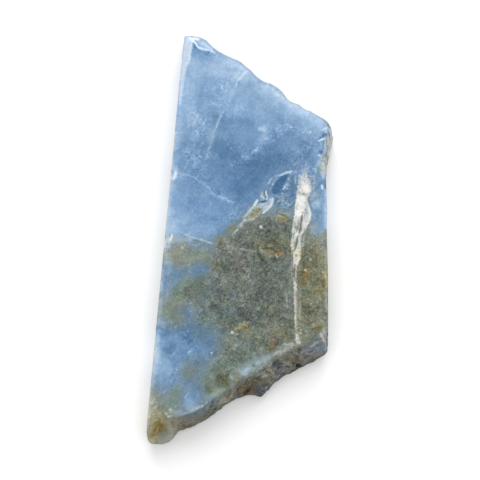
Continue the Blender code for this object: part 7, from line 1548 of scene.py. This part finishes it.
fibre = g.noise(g.vector("MULTIPLY", g.rotate(where_from, -LEAN), (1.0, 0.24, 0.6)), 0.00042, 2, 0.6, 0.2)
specks = g.span(g.add(crumb, g.times(fibre, 0.8), g.times(grit, 0.5)), 0.10, 0.36)
pores = g.add(vein_tone_f, 0.055, g.times(fibre, 0.30), g.times(crumb, 0.18), g.times(grit, 0.14), g.times(dust, 0.22), g.times(specks, -0.27))


def pull(value, target, factor):
    made = g.node("ShaderNodeMix", data_type="FLOAT", clamp_factor=True)
    g.put(made.inputs[0], factor)
    g.put(made.inputs[2], value)
    g.put(made.inputs[3], target)
    return made.outputs[0]


level = pull(g.add(tone_f, 0.010, clouds, grains, skin_grain), pores, vein_m)
level = pull(level, 0.90, g.span(g.add(white_f, g.times(g.add(crumb, fine), 0.35)), 0.10, 1.05, smoothly=False))
# pale hairlines, among them painted glints on the edges and chips
level = pull(level, 0.90, g.times(bright, 0.78))
# painted shade in the pits
level = pull(level, 0.30, g.times(pit_f, 0.8))
# dark hairlines, among them painted shade in the chipped notches
level = pull(level, 0.33, g.times(dark, 0.8))
level = g.math("MINIMUM", g.math("MAXIMUM", level, 0.08), 0.985)

# the colour: how warm, how far towards green or brown, both fading in the palest and darkest tones
warmth = g.add(warm_f, g.times(g.times(g.add(g.times(patch, 0.10), g.times(broad, 0.07), g.times(crumb, 0.07)), grain_f), in_matrix),
               g.times(g.add(g.times(mottle, 0.022), g.times(cloud, 0.018)), busy), g.times(g.add(g.times(mottle, 0.14), g.times(grit, 0.08)), rind_m))
warmth = pull(warmth, g.add(vein_warm_f, g.times(grit, 0.08), g.times(mottle, 0.05)), vein_m)
warmth = pull(warmth, g.times(warmth, 0.4), g.times(white_f, 0.5))
greenness = g.curve(warmth, [(-80 / 255, -2 / 255), (-45 / 255, 2.5 / 255), (-30 / 255, 5 / 255), (-5 / 255, 6.5 / 255), (2 / 255, 9.5 / 255),
                             (15 / 255, 11 / 255), (25 / 255, 12.5 / 255), (60 / 255, 16 / 255)], -0.02, 0.08)
greenness = g.add(greenness, rust_f, g.times(g.add(g.times(mottle, 0.05), g.times(grit, 0.03)), g.add(g.times(grain_f, in_matrix), rind_m)), g.times(vein_m, g.span(vein_warm_f, 0.03, 0.075, -0.016, 0.004)))
fade = g.curve(level, [(0, 0.2), (0.12, 0.5), (0.3, 1.0), (0.55, 1.0), (0.66, 0.94), (0.72, 0.86), (0.80, 0.72), (0.85, 0.61), (0.93, 0.30), (1.0, 0.12)])
half = g.times(g.times(warmth, fade), 0.5)
green = g.times(greenness, fade)
middle_tone = g.add(level, g.times(half, -0.185), g.times(green, -0.587))
colour = g.node("ShaderNodeCombineColor", mode="RGB")
g.put(colour.inputs[0], g.to_albedo(g.add(middle_tone, half)))
g.put(colour.inputs[1], g.to_albedo(g.add(middle_tone, green)))
g.put(colour.inputs[2], g.to_albedo(g.math("SUBTRACT", middle_tone, half)))
colour = colour.outputs[0]

shader = g.nodes["Principled BSDF"]
g.put(shader.inputs["Base Color"], colour)
shader.inputs["IOR"].default_value = 1.45
shader.inputs["Specular IOR Level"].default_value = 0.42
rough = g.add(0.40, g.times(grain_f, 0.16), g.times(rind_m, 0.36), g.times(vein_m, 0.30), g.times(g.math("MAXIMUM", cut_f, broken_f), 0.14), g.times(cloud, 0.2))
g.put(shader.inputs["Roughness"], g.math("MINIMUM", rough, 0.92))
height = g.add(g.times(g.add(g.times(grit, 0.030), g.times(crumb, 0.016)), grain_f),
               g.times(g.add(g.times(grit, 0.12), g.times(crumb, 0.03), g.times(broad, 0.08), g.times(ridge, 0.03)), rind_m),
               g.times(g.add(g.times(grit, 0.12), g.times(crumb, 0.07)), vein_m),
               g.times(fine, 0.004), g.times(g.times(dark, -0.05), 1.0), g.times(g.times(cut_f, fine), 0.03))
bump = g.node("ShaderNodeBump")
bump.inputs["Strength"].default_value = 1.0
bump.inputs["Distance"].default_value = 0.001
g.put(bump.inputs["Height"], height)
g.put(shader.inputs["Normal"], bump.outputs[0])

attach(stone, "root")
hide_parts("opal_slab")

# ---------------------------------------------------------------- studio
scene = bpy.context.scene
scene.view_settings.view_transform = "Standard"
scene.view_settings.look = "None"
scene.view_settings.exposure = 0.0
scene.view_settings.gamma = 1.0

floor_mesh = bpy.data.meshes.new("floor")
R = 3.0
floor_mesh.from_pydata([(-R, -R, -0.00002), (R, -R, -0.00002), (R, R, -0.00002), (-R, R, -0.00002)], [], [(0, 1, 2, 3)])
floor = bpy.data.objects.new("floor", floor_mesh)
scene.collection.objects.link(floor)
floor_mat = bpy.data.materials.new("floor")
floor_mat.use_nodes = True
fb = floor_mat.node_tree.nodes["Principled BSDF"]
fb.inputs["Base Color"].default_value = (0.86, 0.86, 0.86, 1)
fb.inputs["Roughness"].default_value = 0.9
fb.inputs["Specular IOR Level"].default_value = 0.0
floor_mesh.materials.append(floor_mat)

world = bpy.data.worlds.new("studio")
scene.world = world
world.use_nodes = True
world.node_tree.nodes["Background"].inputs["Color"].default_value = (1, 1, 1, 1)
world.node_tree.nodes["Background"].inputs["Strength"].default_value = 0.98


def area_light(name, position, size, power, target=(0, 0, 0)):
    data = bpy.data.lights.new(name, "AREA")
    data.shape = "DISK"
    data.size = size
    data.energy = power
    obj = bpy.data.objects.new(name, data)
    scene.collection.objects.link(obj)
    obj.location = position
    obj.rotation_mode = "QUATERNION"
    obj.rotation_quaternion = (Vector(target) - Vector(position)).to_track_quat("-Z", "Y")
    return obj


area_light("key", (-0.05, 0.70, 0.43), 0.72, 6.42)

camera = bpy.data.cameras.new("camera")
camera.type = "PERSP"
camera.sensor_width = 36.0
camera.lens = 180.0
camera.clip_start, camera.clip_end = 0.01, 10.0
view = bpy.data.objects.new("camera", camera)
scene.collection.objects.link(view)
centre = at(CENTRE[0], CENTRE[1])
view.location = (centre[0], centre[1], THICKNESS + 240 * UNIT / (18.0 / 180.0))
view.rotation_euler = (0, 0, LEAN)
scene.camera = view
